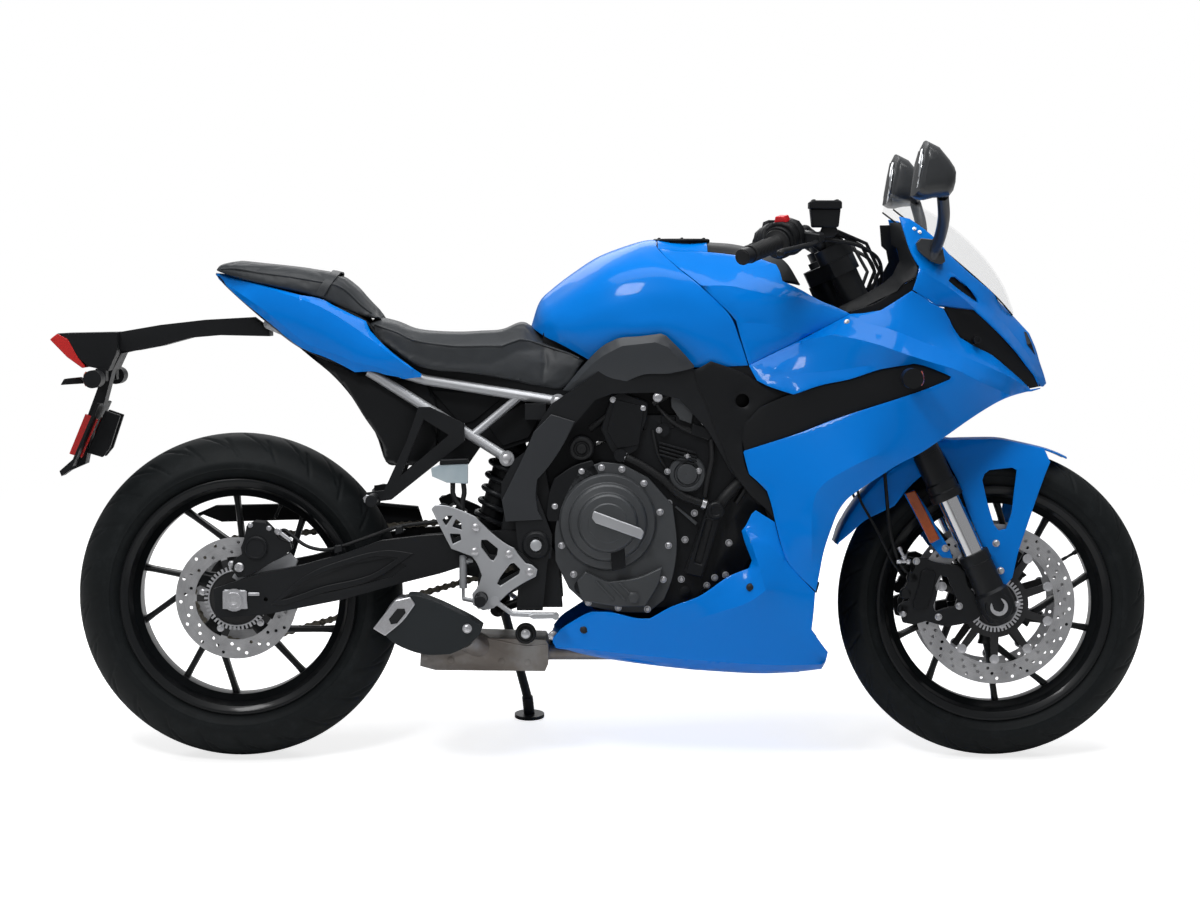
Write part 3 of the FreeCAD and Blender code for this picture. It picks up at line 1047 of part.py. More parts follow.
def side_stand():
    """Leg turning on its pin, with a foot that lies flat on the ground."""
    pivot, down, axis = STAND_PIVOT, STAND_DOWN, STAND_AXIS
    eye = rod(pivot - axis * 9.7, pivot + axis * 9.7, 16)
    leg = rod(pivot + down * 14, pivot + down * STAND_LEG, STAND_R - 2)
    tip = pivot + down * STAND_LEG
    ground = V(0, -sin(radians(LEAN)), cos(radians(LEAN)))
    drop = tip.dot(ground)
    tip_on_ground = tip - ground * (drop - LIFT)
    foot = Part.makeCylinder(30, 7, tip_on_ground, ground)
    link = rod(tip_on_ground + ground * 3, tip - down * 20, STAND_R)
    shape = join(eye, leg, foot, link)
    shape = shape.cut(rod(pivot - axis * 30, pivot + axis * 30, STAND_PIN_R + RUNNING_FIT))
    below = Part.makeBox(400, 400, 100, V(-200, -200, -100))
    below.rotate(V(0, 0, 0), V(1, 0, 0), LEAN)
    below.translate(tip_on_ground)
    return {"side_stand": [shape.cut(below)]}


def reservoir():
    cup = Part.makeCylinder(17, 40, V(420, -140, 538))
    bracket = rod(V(426, -128, 574), V(440, -112, 636), 4)
    return {"brake_reservoir": [join(cup, bracket)]}


# ---------------------------------------------------------------- the whole bike
CROWN_FRONT = (FRONT_TYRE_HALF ** 2 + (FRONT_TYRE_R - TYRE_WIDE_R) ** 2) / (2 * (FRONT_TYRE_R - TYRE_WIDE_R))
CROWN_REAR = (REAR_TYRE_HALF ** 2 + (REAR_TYRE_R - TYRE_WIDE_R) ** 2) / (2 * (REAR_TYRE_R - TYRE_WIDE_R))
LIFT = -(CROWN_FRONT + CROWN_REAR) / 2 * (1 - cos(radians(LEAN)))

NODES = {}
for make in (front_wheel, rear_wheel, fork, triple_clamps, handlebars, hand_controls, front_axle,
             front_calipers,
             front_fender, main_frame, swingarm, rear_axle, drive_chain, engine, chain_guard, bound_hoses, radiator,
             exhaust, rear_shock, rear_caliper, tank, fuel_cap, seats, tail, indicators, subframe, side_cowls,
             lower_cowls, nose, mirrors, foot_controls, side_stand, reservoir):
    NODES.update(make())

# Each piece is relieved where the pieces named after it pass through or lie against it.
RELIEFS = {
    "lower_cowls": ["side_cowls"],
    "side_strips": ["side_cowls"],
    "intake_ducts": ["upper_cowl"],
    "frame_beams": ["side_cowls"],
    "subframe": ["main_frame", "frame_beams"],
    "exhaust": ["engine_block"],
    "engine_block": ["lower_cowls"],
    "radiator": ["engine_block", "exhaust"],
    "undertail": ["subframe", "tail_cowl"],
    "rear_shock": ["main_frame", "swingarm"],
    "rider_seat": ["fuel_tank"],
    "passenger_seat": ["rider_seat", "tail_cowl"],
    "tank_front_cover": ["main_frame", "frame_beams"],
    "cowl_stay": ["main_frame", "intake_ducts", "dash"],
    "front_calipers": ["fork_legs"],
    "headlight": ["upper_cowl"],
    "windscreen": ["upper_cowl"],
    "mirrors": ["upper_cowl"],
    "indicators": ["tail_lamp_arm", "side_strips"],
    "tail_lamp_arm": ["subframe"],
    "brake_reservoir": ["subframe"],
    "hand_controls": ["handlebars"],
    "chain_guard": ["swingarm"],
}
for name, others in RELIEFS.items():
    cutters = Part.makeCompound([solid for other in others for solid in NODES[other]])
    NODES[name] = [solid.cut(cutters) for solid in NODES[name]]
NODES["trim_panels"] += NODES.pop("side_strips") + NODES.pop("intake_ducts")

whole = Part.makeCompound([solid for solids in NODES.values() for solid in solids])
whole.rotate(V(0, 0, 0), V(1, 0, 0), -LEAN)
bounds = whole.optimalBoundingBox(False, False)
SHIFT = V(-(bounds.XMin + bounds.XMax) / 2, -(bounds.YMin + bounds.YMax) / 2, -bounds.ZMin)

os.makedirs("parts", exist_ok=True)
for name, solids in NODES.items():
    shape = Part.makeCompound(solids) if len(solids) > 1 else solids[0]
    shape.rotate(V(0, 0, 0), V(1, 0, 0), -LEAN)
    shape.translate(SHIFT)
    shape.exportStep("parts/" + name + ".step")
    print(name, len(shape.Solids), round(shape.Volume), shape.isValid())
print("shift", SHIFT, "size", bounds.XLength, bounds.YLength, bounds.ZLength)
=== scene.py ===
import json
import math

import bmesh
import bpy
import numpy as np
from mathutils import Matrix, Vector
from mathutils.geometry import delaunay_2d_cdt


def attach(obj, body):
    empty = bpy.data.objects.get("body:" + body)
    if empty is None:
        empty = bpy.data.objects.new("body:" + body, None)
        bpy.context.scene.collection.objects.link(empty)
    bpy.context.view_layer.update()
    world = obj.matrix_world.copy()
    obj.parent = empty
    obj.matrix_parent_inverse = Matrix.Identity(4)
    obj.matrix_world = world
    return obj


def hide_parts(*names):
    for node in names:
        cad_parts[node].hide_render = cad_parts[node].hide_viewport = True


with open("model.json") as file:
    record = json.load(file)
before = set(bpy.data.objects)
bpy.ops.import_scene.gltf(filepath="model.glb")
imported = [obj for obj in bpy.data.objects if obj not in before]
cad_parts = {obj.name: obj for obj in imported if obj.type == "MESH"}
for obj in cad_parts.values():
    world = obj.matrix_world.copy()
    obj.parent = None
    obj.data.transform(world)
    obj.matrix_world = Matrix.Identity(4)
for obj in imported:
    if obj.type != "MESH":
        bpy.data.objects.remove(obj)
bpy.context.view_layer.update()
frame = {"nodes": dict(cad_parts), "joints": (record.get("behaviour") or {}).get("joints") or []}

# ---------------------------------------------------------------- studio
# A white photographic sweep under soft overhead panels, seen from the bike's right side.
# The floor is matt near the bike, so that it keeps the shadow, and melts into white further out.
scene = bpy.context.scene
scene.view_settings.view_transform = "Standard"
joints = {joint["name"]: joint for joint in frame["joints"]}
rear_axle = Vector(joints["rear_wheel_spin"]["pos_m"])
front_axle = Vector(joints["front_wheel_spin"]["pos_m"])
AHEAD = Vector((1, 0, 0))
LEFT = Vector(joints["rear_wheel_spin"]["axis"])
UP = AHEAD.cross(LEFT)
REAR_TYRE_R = 315
FLOOR_HALF = 30
FLOOR_LIFT = 0.76
WHITE = (1, 1, 1, 1)
COOL_WHITE = (0.97, 0.98, 1, 1)


def bike(x, y, z):
    """A place from mm ahead of the rear axle, left of the centre plane, above the ground."""
    return rear_axle + (AHEAD * x + LEFT * y + UP * (z - REAR_TYRE_R)) / 1000


class Shade:
    """One value in a material.  Arithmetic on it adds Math nodes to the material."""

    def __init__(self, tree, socket=None):
        self.tree = tree
        self.socket = socket

    def node(self, kind, settings=None, inputs=None, out=0):
        """Any node, from its type, its settings, and the values or links of its sockets."""
        made = self.tree.nodes.new(kind)
        for name, value in (settings or {}).items():
            setattr(made, name, value)
        for name, value in (inputs or {}).items():
            if isinstance(value, Shade):
                self.tree.links.new(value.socket, made.inputs[name])
            else:
                made.inputs[name].default_value = value
        return Shade(self.tree, made.outputs[out] if made.outputs else None)

    def maths(self, operation, *values):
        return self.node("ShaderNodeMath", {"operation": operation}, dict(enumerate(values)))

    def __add__(self, other):
        return self.maths("ADD", self, other)

    def __sub__(self, other):
        return self.maths("SUBTRACT", self, other)

    def __rsub__(self, other):
        return self.maths("SUBTRACT", other, self)

    def __mul__(self, other):
        return self.maths("MULTIPLY", self, other)

    def __truediv__(self, other):
        return self.maths("DIVIDE", self, other)

    __radd__ = __add__
    __rmul__ = __mul__

    def smooth(self, low, high, to_low=0.0, to_high=1.0):
        """The value eased from to_low at low to to_high at high."""
        return self.node("ShaderNodeMapRange", {"interpolation_type": "SMOOTHSTEP"},
                         {"Value": self, 1: low, 2: high, 3: to_low, 4: to_high})

    def mix(self, colour_a, colour_b):
        """Colour a where this value is 0, colour b where it is 1."""
        return self.node("ShaderNodeMix", {"data_type": "RGBA"}, {0: self, 6: colour_a, 7: colour_b}, 2)

    def noise(self, scale, detail=2.0, roughness=0.5, place=None):
        place = place or self.node("ShaderNodeTexCoord", out=3)
        return self.node("ShaderNodeTexNoise", None, {"Vector": place, "Scale": scale, "Detail": detail,
                                                      "Roughness": roughness})

    def bump(self, strength, distance, normal=None):
        inputs = {"Height": self, "Strength": strength, "Distance": distance}
        if normal:
            inputs["Normal"] = normal
        return self.node("ShaderNodeBump", None, inputs)


def white_for_sight(tree, seen, lit):
    """Shader `seen` for the eye, straight or through glass, and `lit` for the light on the bike."""
    light_path = tree.nodes.new("ShaderNodeLightPath")
    straight, through_glass = [Shade(tree, light_path.outputs[name])
                               for name in ("Is Camera Ray", "Is Transmission Ray")]
    either = straight.maths("MAXIMUM", straight, through_glass)
    return Shade(tree).node("ShaderNodeMixShader", None, {0: either, 1: lit, 2: seen})


def put(name, data):
    """An object in the scene with this mesh, light or camera."""
    made = bpy.data.objects.new(name, data)
    scene.collection.objects.link(made)
    return made


world = bpy.data.worlds.new("sweep")
scene.world = world
world.use_nodes = True
sky = world.node_tree
sky.nodes.clear()
plain = Shade(sky)
white_light = plain.node("ShaderNodeBackground", None, {"Color": WHITE, "Strength": 1.0})
room_light = plain.node("ShaderNodeBackground", None, {"Color": COOL_WHITE, "Strength": 0.10})
mirrored = plain.node("ShaderNodeBackground", None, {"Color": COOL_WHITE, "Strength": 0.36})
by_mirror = plain.node("ShaderNodeLightPath", out=3)
room_light = plain.node("ShaderNodeMixShader", None, {0: by_mirror, 1: room_light, 2: mirrored})
plain.node("ShaderNodeOutputWorld", None, {0: white_for_sight(sky, white_light, room_light)})

floor_mesh = bpy.data.meshes.new("floor")
corners = [(x * FLOOR_HALF, y * FLOOR_HALF, 0) for x, y in ((-1, -1), (1, -1), (1, 1), (-1, 1))]
floor_mesh.from_pydata(corners, [], [(0, 1, 2, 3)])
floor = put("floor", floor_mesh)
floor_paint = bpy.data.materials.new("floor paint")
floor_paint.use_nodes = True
tree = floor_paint.node_tree
tree.nodes.clear()
plain = Shade(tree)
matt = plain.node("ShaderNodeBsdfDiffuse", None, {"Color": (0.95, 0.95, 0.95, 1)})
glow = plain.node("ShaderNodeEmission", None, {"Color": WHITE, "Strength": FLOOR_LIFT})
matt = white_for_sight(tree, plain.node("ShaderNodeAddShader", None, {0: matt, 1: glow}), matt)
bright = plain.node("ShaderNodeEmission", None, {"Color": WHITE, "Strength": 1.0})
far_out = plain.node("ShaderNodeVectorMath", {"operation": "LENGTH"},
                     {0: plain.node("ShaderNodeTexCoord", out=3)}, 1).smooth(1.3, 2.6)
sight = white_for_sight(tree, bright, matt)
plain.node("ShaderNodeOutputMaterial", None,
           {0: plain.node("ShaderNodeMixShader", None, {0: far_out, 1: matt, 2: sight})})
floor_mesh.materials.append(floor_paint)


def softbox(name, place, aim, width, height, power):
    """A rectangular studio panel light."""
    light = bpy.data.lights.new(name, "AREA")
    light.shape = "RECTANGLE"
    light.size = width
    light.size_y = height
    light.energy = power
    lamp = put(name, light)
    away = (Vector(place) - Vector(aim)).normalized()
    lamp.matrix_world = Matrix.Translation(place) @ away.to_track_quat("Z", "Y").to_matrix().to_4x4()


softbox("overhead", (0.1, -0.4, 4.2), (0, 0, 0), 4.6, 2.4, 128)
softbox("key", (-1.6, -3.2, 4.2), (0.2, 0, 0.5), 1.1, 0.8, 60)
softbox("behind", (-0.5, 4.6, 2.6), (0, 0, 0.5), 3.4, 1.6, 46)

LENS = 107.7
CAMERA_PLACE = (661, -7000, 888)
CAMERA_AIM = (700.1, 0, 595.8)
camera_data = bpy.data.cameras.new("camera")
camera_data.lens = LENS
camera_data.sensor_width = 36
camera = put("camera", camera_data)
stand_point = bike(*CAMERA_PLACE)
forward = (bike(*CAMERA_AIM) - stand_point).normalized()
level = (AHEAD - forward * AHEAD.dot(forward)).normalized()
turned = Matrix((level, level.cross(forward), -forward)).transposed().to_4x4()
turned.translation = stand_point
camera.matrix_world = turned
scene.camera = camera

# ---------------------------------------------------------------- tyres
# Radial road tyres, wider behind, of black rubber with sweeping water grooves on the crown.
# Each is a moulded casing with a rounded tread, a shallow ridge on its wall and a bead on the rim.
FRONT_TYRE_R = 300
FRONT_TYRE_HALF = 59
REAR_TYRE_HALF = 89
TYRE_WIDE_R = 261
GROOVE_DEPTH = 3.2
GROOVE_WIDTH = 5.5
RUBBER = (0.006, 0.0078, 0.0086, 1)
SCUFFED = (0.014, 0.0165, 0.018, 1)


def make_material(name, slot, **fixed):
    """A material whose shader has the given unvarying numbers, with its first value to build on."""
    material = bpy.data.materials.new(name)
    material.use_nodes = True
    material["slot"] = slot
    shader = material.node_tree.nodes["Principled BSDF"]
    for key, value in fixed.items():
        shader.inputs[key.replace("_", " ")].default_value = value
    return material, Shade(material.node_tree)


def feed(material, **values):
    """Links what varies over the surface to the sockets of the material's shader."""
    shader = material.node_tree.nodes["Principled BSDF"]
    for key, value in values.items():
        material.node_tree.links.new(value.socket, shader.inputs[key.replace("_", " ")])


def smoothed(mesh, sharp_from):
    """Shades a mesh smooth, but for edges that turn by this many degrees or more."""
    mesh.shade_smooth()
    mesh.set_sharp_from_angle(angle=math.radians(sharp_from))


def piece(name, points, faces, smooth, core=None):
    """A mesh from places in metres.  Its faces point away from `core`, or outwards if it is closed."""
    mesh = bpy.data.meshes.new(name)
    mesh.from_pydata([tuple(point) for point in points], [], faces)
    form = bmesh.new()
    form.from_mesh(mesh)
    if core is None:
        bmesh.ops.remove_doubles(form, verts=form.verts, dist=1e-6)
        bmesh.ops.recalc_face_normals(form, faces=form.faces)
    elif sum(face.normal.dot(face.calc_center_median() - core) * face.calc_area()
             for face in form.faces) < 0:
        bmesh.ops.reverse_faces(form, faces=form.faces)
    form.to_mesh(mesh)
    form.free()
    smoothed(mesh, smooth)
    return put(name, mesh)


def fit(made, body, material, *nodes):
    """Gives a piece its material, the body it rides on and the plain solids that it stands for."""
    made.data.materials.clear()
    made.data.materials.append(material)
    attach(made, body)
    if nodes:
        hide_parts(*nodes)
    return made


def rounded(points, radius, steps=4):
    """An outline whose corners are arcs, smaller where its sides are short."""
    corners = [Vector(point) for point in points]
    result = []
    count = len(corners)
    for i, corner in enumerate(corners):
        back = corners[i - 1] - corner
        on = corners[(i + 1) % count] - corner
        turn = math.pi - back.angle(on, math.pi)
        cut = min(radius * math.tan(turn / 2), 0.45 * back.length, 0.45 * on.length)
        if cut < 1e-4:
            result.append(corner)
            continue
        start, end = corner + back.normalized() * cut, corner + on.normalized() * cut
        for k in range(steps + 1):
            t = k / steps
            result.append((1 - t) ** 2 * start + 2 * t * (1 - t) * corner + t * t * end)
    return result


def lathe(name, profile, centre, axis, segments, smooth=35.0):
    """A closed ring of (radius, along) points in mm, turned about an axis through `centre`."""
    axis = axis.normalized()
    side = axis.orthogonal().normalized()
    other = axis.cross(side)
    points, faces = [], []
    count = len(profile)
    for k in range(segments):
        angle = 2 * math.pi * k / segments
        out = side * math.cos(angle) + other * math.sin(angle)
        points += [centre + (out * max(r, 0) + axis * along) / 1000 for r, along in profile]
        for i in range(count):
            j = (i + 1) % count
            a, b = k * count, (k + 1) % segments * count
            faces.append((a + i, a + j, b + j, b + i))
    return piece(name, points, faces, smooth)


rubber, value = make_material("tyre rubber", "tyre", Specular_IOR_Level=0.18)
grit = value.noise(900, 3)
dust = value.noise(26, 5, 0.7)
feed(rubber, Base_Color=dust.smooth(0.45, 0.8).mix(RUBBER, SCUFFED),
     Roughness=0.5 + 0.22 * dust, Normal=grit.bump(0.12, 0.0004))


def tyre(name, centre, radius, half, rim_half, pitches, node):
    """A casing with its grooves pressed in, turned the same way on both wheels."""
    crown = (half ** 2 + (radius - TYRE_WIDE_R) ** 2) / (2 * (radius - TYRE_WIDE_R))
    edge = math.asin(min(1.0, half / crown))
    tread = [(radius - crown * (1 - math.cos(edge * t)), crown * math.sin(edge * t), t)
             for t in np.linspace(-1, 1, 57)]
    wall = [(TYRE_WIDE_R - 7, half + 0.2), (TYRE_WIDE_R - 11, half - 1.4), (TYRE_WIDE_R - 13, half - 0.8),
            (245, half - 3.2), (243, half - 4.8), (238, half - 7), (234, rim_half + 3.4),
            (230, rim_half + 0.6), (217, rim_half - 1)]
    inside = [(217, rim_half - 12), (232, rim_half - 8), (TYRE_WIDE_R, half - 10),
              (radius - 16, half * 0.5)]
    section = [(r, -y, 9) for r, y in reversed(wall)] + tread + [(r, y, 9) for r, y in wall]
    section += [(r, y, 9) for r, y in inside] + [(r, -y, 9) for r, y in reversed(inside)]
    segments = 600
    angle = np.arange(segments)[:, None] * 2 * math.pi / segments
    r, y, t = (np.array(column)[None, :] + 0 * angle for column in zip(*section))
    pitch = 2 * math.pi / pitches
    press = np.zeros_like(r)
    for shift, lean, low, high in ((0.0, 0.62, 0.1, 0.72), (0.52, 0.30, 0.36, 0.93)):
        swept = angle + pitch * (np.where(t > 0, 0.5, 0) + shift + lean * np.abs(t) ** 1.4 * 2.2)
        off = np.abs((swept / pitch + 0.5) % 1 - 0.5) * pitch * radius
        inside_band = np.clip((np.abs(t) - low) * 14, 0, 1) * np.clip((high - np.abs(t)) * 14, 0, 1)
        dent = np.clip(1.25 - off / (GROOVE_WIDTH / 2) * 0.8, 0, 1) * inside_band
        press = np.maximum(press, dent * (np.abs(t) <= 1))
    r = r - press * GROOVE_DEPTH
    out = np.array(AHEAD)[None, None, :] * np.cos(angle)[..., None] \
        + np.array(UP)[None, None, :] * np.sin(angle)[..., None]
    places = np.array(centre) + (out * r[..., None] + np.array(LEFT) * y[..., None]) / 1000
    count = len(section)
    faces = [(k * count + i, k * count + (i + 1) % count, (k + 1) % segments * count + (i + 1) % count,
              (k + 1) % segments * count + i) for k in range(segments) for i in range(count)]
    made = piece(name, places.reshape(-1, 3), faces, 50)
    return fit(made, "front_wheel" if centre == front_axle else "rear_wheel", rubber, node)


tyre("front_tyre_casing", front_axle, FRONT_TYRE_R, FRONT_TYRE_HALF, 45, 26,
     "front_tyre")
tyre("rear_tyre_casing", rear_axle, REAR_TYRE_R, REAR_TYRE_HALF, 70, 24, "rear_tyre")

# ---------------------------------------------------------------- wheels
# Cast alloy wheels in black enamel: a barrel with two lips, a hub, and five pairs of thin spokes
# that open like a V from a knuckle near the hub.  A valve stands on the barrel.
BARREL_R = 193
SPOKE_OPENING = math.radians(15.5)

enamel, value = make_material("wheel enamel", "black_metal", Specular_IOR_Level=0.2, Coat_Weight=0.2,
                              Coat_Roughness=0.1)
fleck = value.noise(1800, 2)
feed(enamel, Base_Color=fleck.smooth(0.5, 0.8).mix((0.005, 0.006, 0.007, 1), (0.012, 0.013, 0.014, 1)),
     Roughness=0.30 + 0.12 * value.noise(60, 3), Normal=fleck.bump(0.05, 0.0002))


def on_wheel(centre, r, angle, along):
    """A place on a wheel, by its radius, its angle from ahead and its distance to the left, in mm."""
    return centre + (AHEAD * r * math.cos(angle) + UP * r * math.sin(angle) + LEFT * along) / 1000


def spar(form, centre, start, end, widths, depths):
    """A spoke between two (radius, angle) points, with a width in the wheel and a depth across it."""
    steps = 6
    p = Vector((start[0] * math.cos(start[1]), start[0] * math.sin(start[1])))
    q = Vector((end[0] * math.cos(end[1]), end[0] * math.sin(end[1])))
    normal = Vector((-(q - p).y, (q - p).x)).normalized()
    rings = []
    for k in range(steps + 1):
        t = k / steps
        flare = 1 + 0.35 * (2 * t - 1) ** 4
        half_w = (widths[0] + (widths[1] - widths[0]) * t) / 2 * flare
        half_d = depths[0] + (depths[1] - depths[0]) * t
        middle = p + (q - p) * t
        section = [(-1, -0.55), (-0.6, -1), (0.6, -1), (1, -0.55), (1, 0.55), (0.6, 1), (-0.6, 1),
                   (-1, 0.55)]
        spots = [middle + normal * half_w * a for a, _ in section]
        rings.append([form.verts.new(centre + (AHEAD * s.x + UP * s.y + LEFT * half_d * b) / 1000)
                      for s, (_, b) in zip(spots, section)])
    for a, b in zip(rings, rings[1:]):
        for i in range(8):
            form.faces.new((a[i], a[(i + 1) % 8], b[(i + 1) % 8], b[i]))
    form.faces.new(rings[0])
    form.faces.new(reversed(rings[-1]))


def soften_edges(made, width, sharp_from, segments=2):
    """Rounds the edges of a piece that turn by this many degrees or more."""
    soft = made.modifiers.new("edge", "BEVEL")
    soft.width, soft.segments, soft.limit_method = width, segments, "ANGLE"
    soft.angle_limit = math.radians(sharp_from)


def wheel(name, centre, rim_half, hub_half, hub_r, first, root_turn, root_r, spoke_half, body, node):
    edge = rim_half + 6
    barrel = [(229, -edge), (229, -rim_half), (216, -rim_half), (213, -rim_half * 0.6),
              (199, -rim_half * 0.42), (199, rim_half * 0.42), (213, rim_half * 0.6), (216, rim_half),
              (229, rim_half), (229, edge), (223, edge), (212, edge - 5), (206, rim_half * 0.68),
              (BARREL_R, rim_half * 0.46), (BARREL_R, -rim_half * 0.46), (206, -rim_half * 0.68),
              (212, 5 - edge), (223, -edge)]
    made = lathe(name, rounded(barrel, 4, steps=3), centre, LEFT, 160)
    form = bmesh.new()
    for k in range(5):
        middle = math.radians(first + 72 * k)
        root = middle - math.radians(root_turn)
        spar(form, centre, (hub_r * 0.7, root - 0.1), (root_r, root), (hub_r * 0.9, 26),
             (spoke_half * 1.15, spoke_half))
        for turn in (-SPOKE_OPENING, SPOKE_OPENING):
            spar(form, centre, (root_r - 9, root), (BARREL_R + 4, middle + turn), (14, 10.5),
                 (spoke_half, spoke_half * 0.72))
    bmesh.ops.recalc_face_normals(form, faces=form.faces)
    spokes = bpy.data.meshes.new(name + "_spokes")
    form.to_mesh(spokes)
    form.free()
    smoothed(spokes, 50)
    ribs = put(name + "_spokes", spokes)
    soften_edges(ribs, 0.0016, 30)
    neck = hub_r * 0.78
    hub = [(10, -hub_half), (hub_r, -hub_half), (hub_r, 14 - hub_half), (neck, 26 - hub_half),
           (neck + 3, 0), (neck, hub_half - 26), (hub_r, hub_half - 14), (hub_r, hub_half), (10, hub_half)]
    core = lathe(name + "_hub", rounded(hub, 5, steps=3), centre, LEFT, 64)
    valve_at = on_wheel(centre, BARREL_R + 2, math.radians(first + 30), 6)
    inward = (centre - on_wheel(centre, 100, math.radians(first + 30), 0)).normalized()
    stem = [(0, -4), (4.5, -4), (4.5, 8), (3, 10), (2.6, 24), (3.4, 25), (3.4, 34), (0, 35)]
    valve = lathe(name + "_valve", stem, valve_at, inward, 16)
    fit(made, body, enamel, node)
    for extra in (ribs, core, valve):
        fit(extra, body, enamel)


wheel("front_wheel_casting", front_axle, 45, 59, 40, 0, 24, 84, 14, "front_wheel", "front_rim")
wheel("rear_wheel_casting", rear_axle, 70, 98, 50, 36, 22, 90, 18, "rear_wheel", "rear_rim")

# ---------------------------------------------------------------- brake discs, buttons and sensor rings
# Ground stainless rotors with rows of cooling holes, held on black carriers by floating buttons.
# Beside each hub stands a slotted ring for the wheel speed sensor.
DISCS = (("front_discs", front_axle, 111), ("rear_disc", rear_axle, 76), ("rear_sprocket", rear_axle, 78))
BUTTON_R = 108
HUB_FACE = 64
SIDES = ((-1, "right"), (1, "left"))


def disc_steel(name, centre, carrier_r):
    """Steel ground in rings, turning to black enamel inside the carrier's radius."""
    material, value = make_material(name, "steel", Specular_IOR_Level=0.5)
    place = value.node("ShaderNodeTexCoord", out=3)
    arm = value.node("ShaderNodeVectorMath", {"operation": "SUBTRACT"}, {0: place, 1: centre})
    turned_arm = value.node("ShaderNodeVectorMath", {"operation": "CROSS_PRODUCT"}, {0: arm, 1: LEFT})
    radius = value.node("ShaderNodeVectorMath", {"operation": "LENGTH"}, {0: turned_arm}, 1)
    rings = value.node("ShaderNodeTexNoise", {"noise_dimensions": "1D"},
                       {"W": radius, "Scale": 1500.0, "Detail": 3.0})
    patch = value.noise(30, 3)
    carrier = radius.smooth(carrier_r / 1000, carrier_r / 1000 + 0.0015)
    blend = (rings * 0.6 + patch * 0.4).smooth(0.3, 0.7)
    steel_tone = blend.mix((0.34, 0.34, 0.35, 1), (0.62, 0.62, 0.63, 1))
    feed(material, Base_Color=carrier.mix((0.012, 0.012, 0.013, 1), steel_tone), Metallic=carrier,
         Roughness=0.42 - carrier * 0.08 + rings * 0.1, Normal=rings.bump(0.25, 0.0003))
    return material


for node, centre, carrier_r in DISCS:
    plain_solid = frame["nodes"][node]
    plain_solid.data.materials.clear()
    plain_solid.data.materials.append(disc_steel(node + " steel", centre, carrier_r))


def two_tone(name, slot, dark, light, haze, rough, grain=None, relief=None, **fixed):
    """A material that wanders between two tones with the noise `haze`.

    The noise `grain`, or else the same one, moves its roughness, (least, rise), and its relief,
    (strength, depth)."""
    material, value = make_material(name, slot, **fixed)
    wander = value.noise(*haze)
    fine = value.noise(*grain) if grain else wander
    feed(material, Base_Color=wander.mix((*dark, 1), (*light, 1)), Roughness=rough[0] + rough[1] * fine)
    if relief:
        feed(material, Normal=fine.bump(*relief))
    return material


bright_steel = two_tone("bright fastener steel", "steel", (0.50, 0.50, 0.52), (0.72, 0.72, 0.74),
                        haze=(300, 3), rough=(0.24, 0.2), relief=(0.06, 0.0002), Metallic=1.0)


def growing_tree(name, sizes):
    """A Geometry Nodes tree with a mesh, named sizes and a material to take in."""
    made = bpy.data.node_groups.new(name, "GeometryNodeTree")
    made.interface.new_socket("Geometry", in_out="OUTPUT", socket_type="NodeSocketGeometry")
    made.interface.new_socket("Geometry", in_out="INPUT", socket_type="NodeSocketGeometry")
    for label, default in sizes.items():
        socket = made.interface.new_socket(label, in_out="INPUT", socket_type="NodeSocketFloat")
        socket.default_value = default
    made.interface.new_socket("Material", in_out="INPUT", socket_type="NodeSocketMaterial")
    taken = made.nodes.new("NodeGroupInput")
    return made, Shade(made), {socket.name: Shade(made, socket) for socket in taken.outputs if socket.name}


def close_tree(made, grown_mesh, material):
    """Ends a tree with its instances made real and their material set."""
    real = grown_mesh.node("GeometryNodeRealizeInstances", None, {0: grown_mesh})
    done = real.node("GeometryNodeSetMaterial", None, {0: real, "Material": material})
    out = made.nodes.new("NodeGroupOutput")
    made.links.new(done.socket, out.inputs[0])


def grow(made, tree, values):
    """Runs a tree on a piece and keeps the result as its plain mesh."""
    modifier = made.modifiers.new(tree.name, "NODES")
    modifier.node_group = tree
    for item in tree.interface.items_tree:
        if item.in_out == "INPUT" and item.name in values:
            modifier[item.identifier] = values[item.name]
    bpy.context.view_layer.update()
    evaluated = made.evaluated_get(bpy.context.evaluated_depsgraph_get())
    mesh = bpy.data.meshes.new_from_object(evaluated)
    made.modifiers.clear()
    made.data = mesh
    smoothed(mesh, 35)
    return made


def sow(name, places, ways, tree, values):
    """A tree's pieces on places in metres, each turned to face its own way."""
    mesh = bpy.data.meshes.new(name)
    mesh.from_pydata([tuple(place) for place in places], [], [])
    facing = mesh.attributes.new("facing", "FLOAT_VECTOR", "POINT")
    facing.data.foreach_set("vector", [number for way in ways for number in way])
    return grow(put(name, mesh), tree, values)


bolt_tree, value, taken = growing_tree("bolt heads", {"Radius": 0.004, "Height": 0.004, "Sides": 6.0})
sides = taken["Sides"].node("FunctionNodeFloatToInt", None, {0: taken["Sides"]})
flange = value.node("GeometryNodeMeshCylinder", None,
                    {"Vertices": 18, "Radius": taken["Radius"] * 1.28, "Depth": taken["Height"] * 0.4})
head = value.node("GeometryNodeMeshCylinder", None,
                  {"Vertices": sides, "Radius": taken["Radius"], "Depth": taken["Height"]})
lift = value.node("ShaderNodeCombineXYZ", None, {2: taken["Height"] * 0.5})
head = value.node("GeometryNodeTransform", None, {0: head, "Translation": lift})
crown = value.node("GeometryNodeMeshCone", None,
                   {"Vertices": sides, "Radius Bottom": taken["Radius"],
                    "Radius Top": taken["Radius"] * 0.72, "Depth": taken["Height"] * 0.3})
lift = value.node("ShaderNodeCombineXYZ", None, {2: taken["Height"]})
crown = value.node("GeometryNodeTransform", None, {0: crown, "Translation": lift})
bolt = value.tree.nodes.new("GeometryNodeJoinGeometry")
for part in (crown, head, flange):
    bolt_tree.links.new(part.socket, bolt.inputs[0])
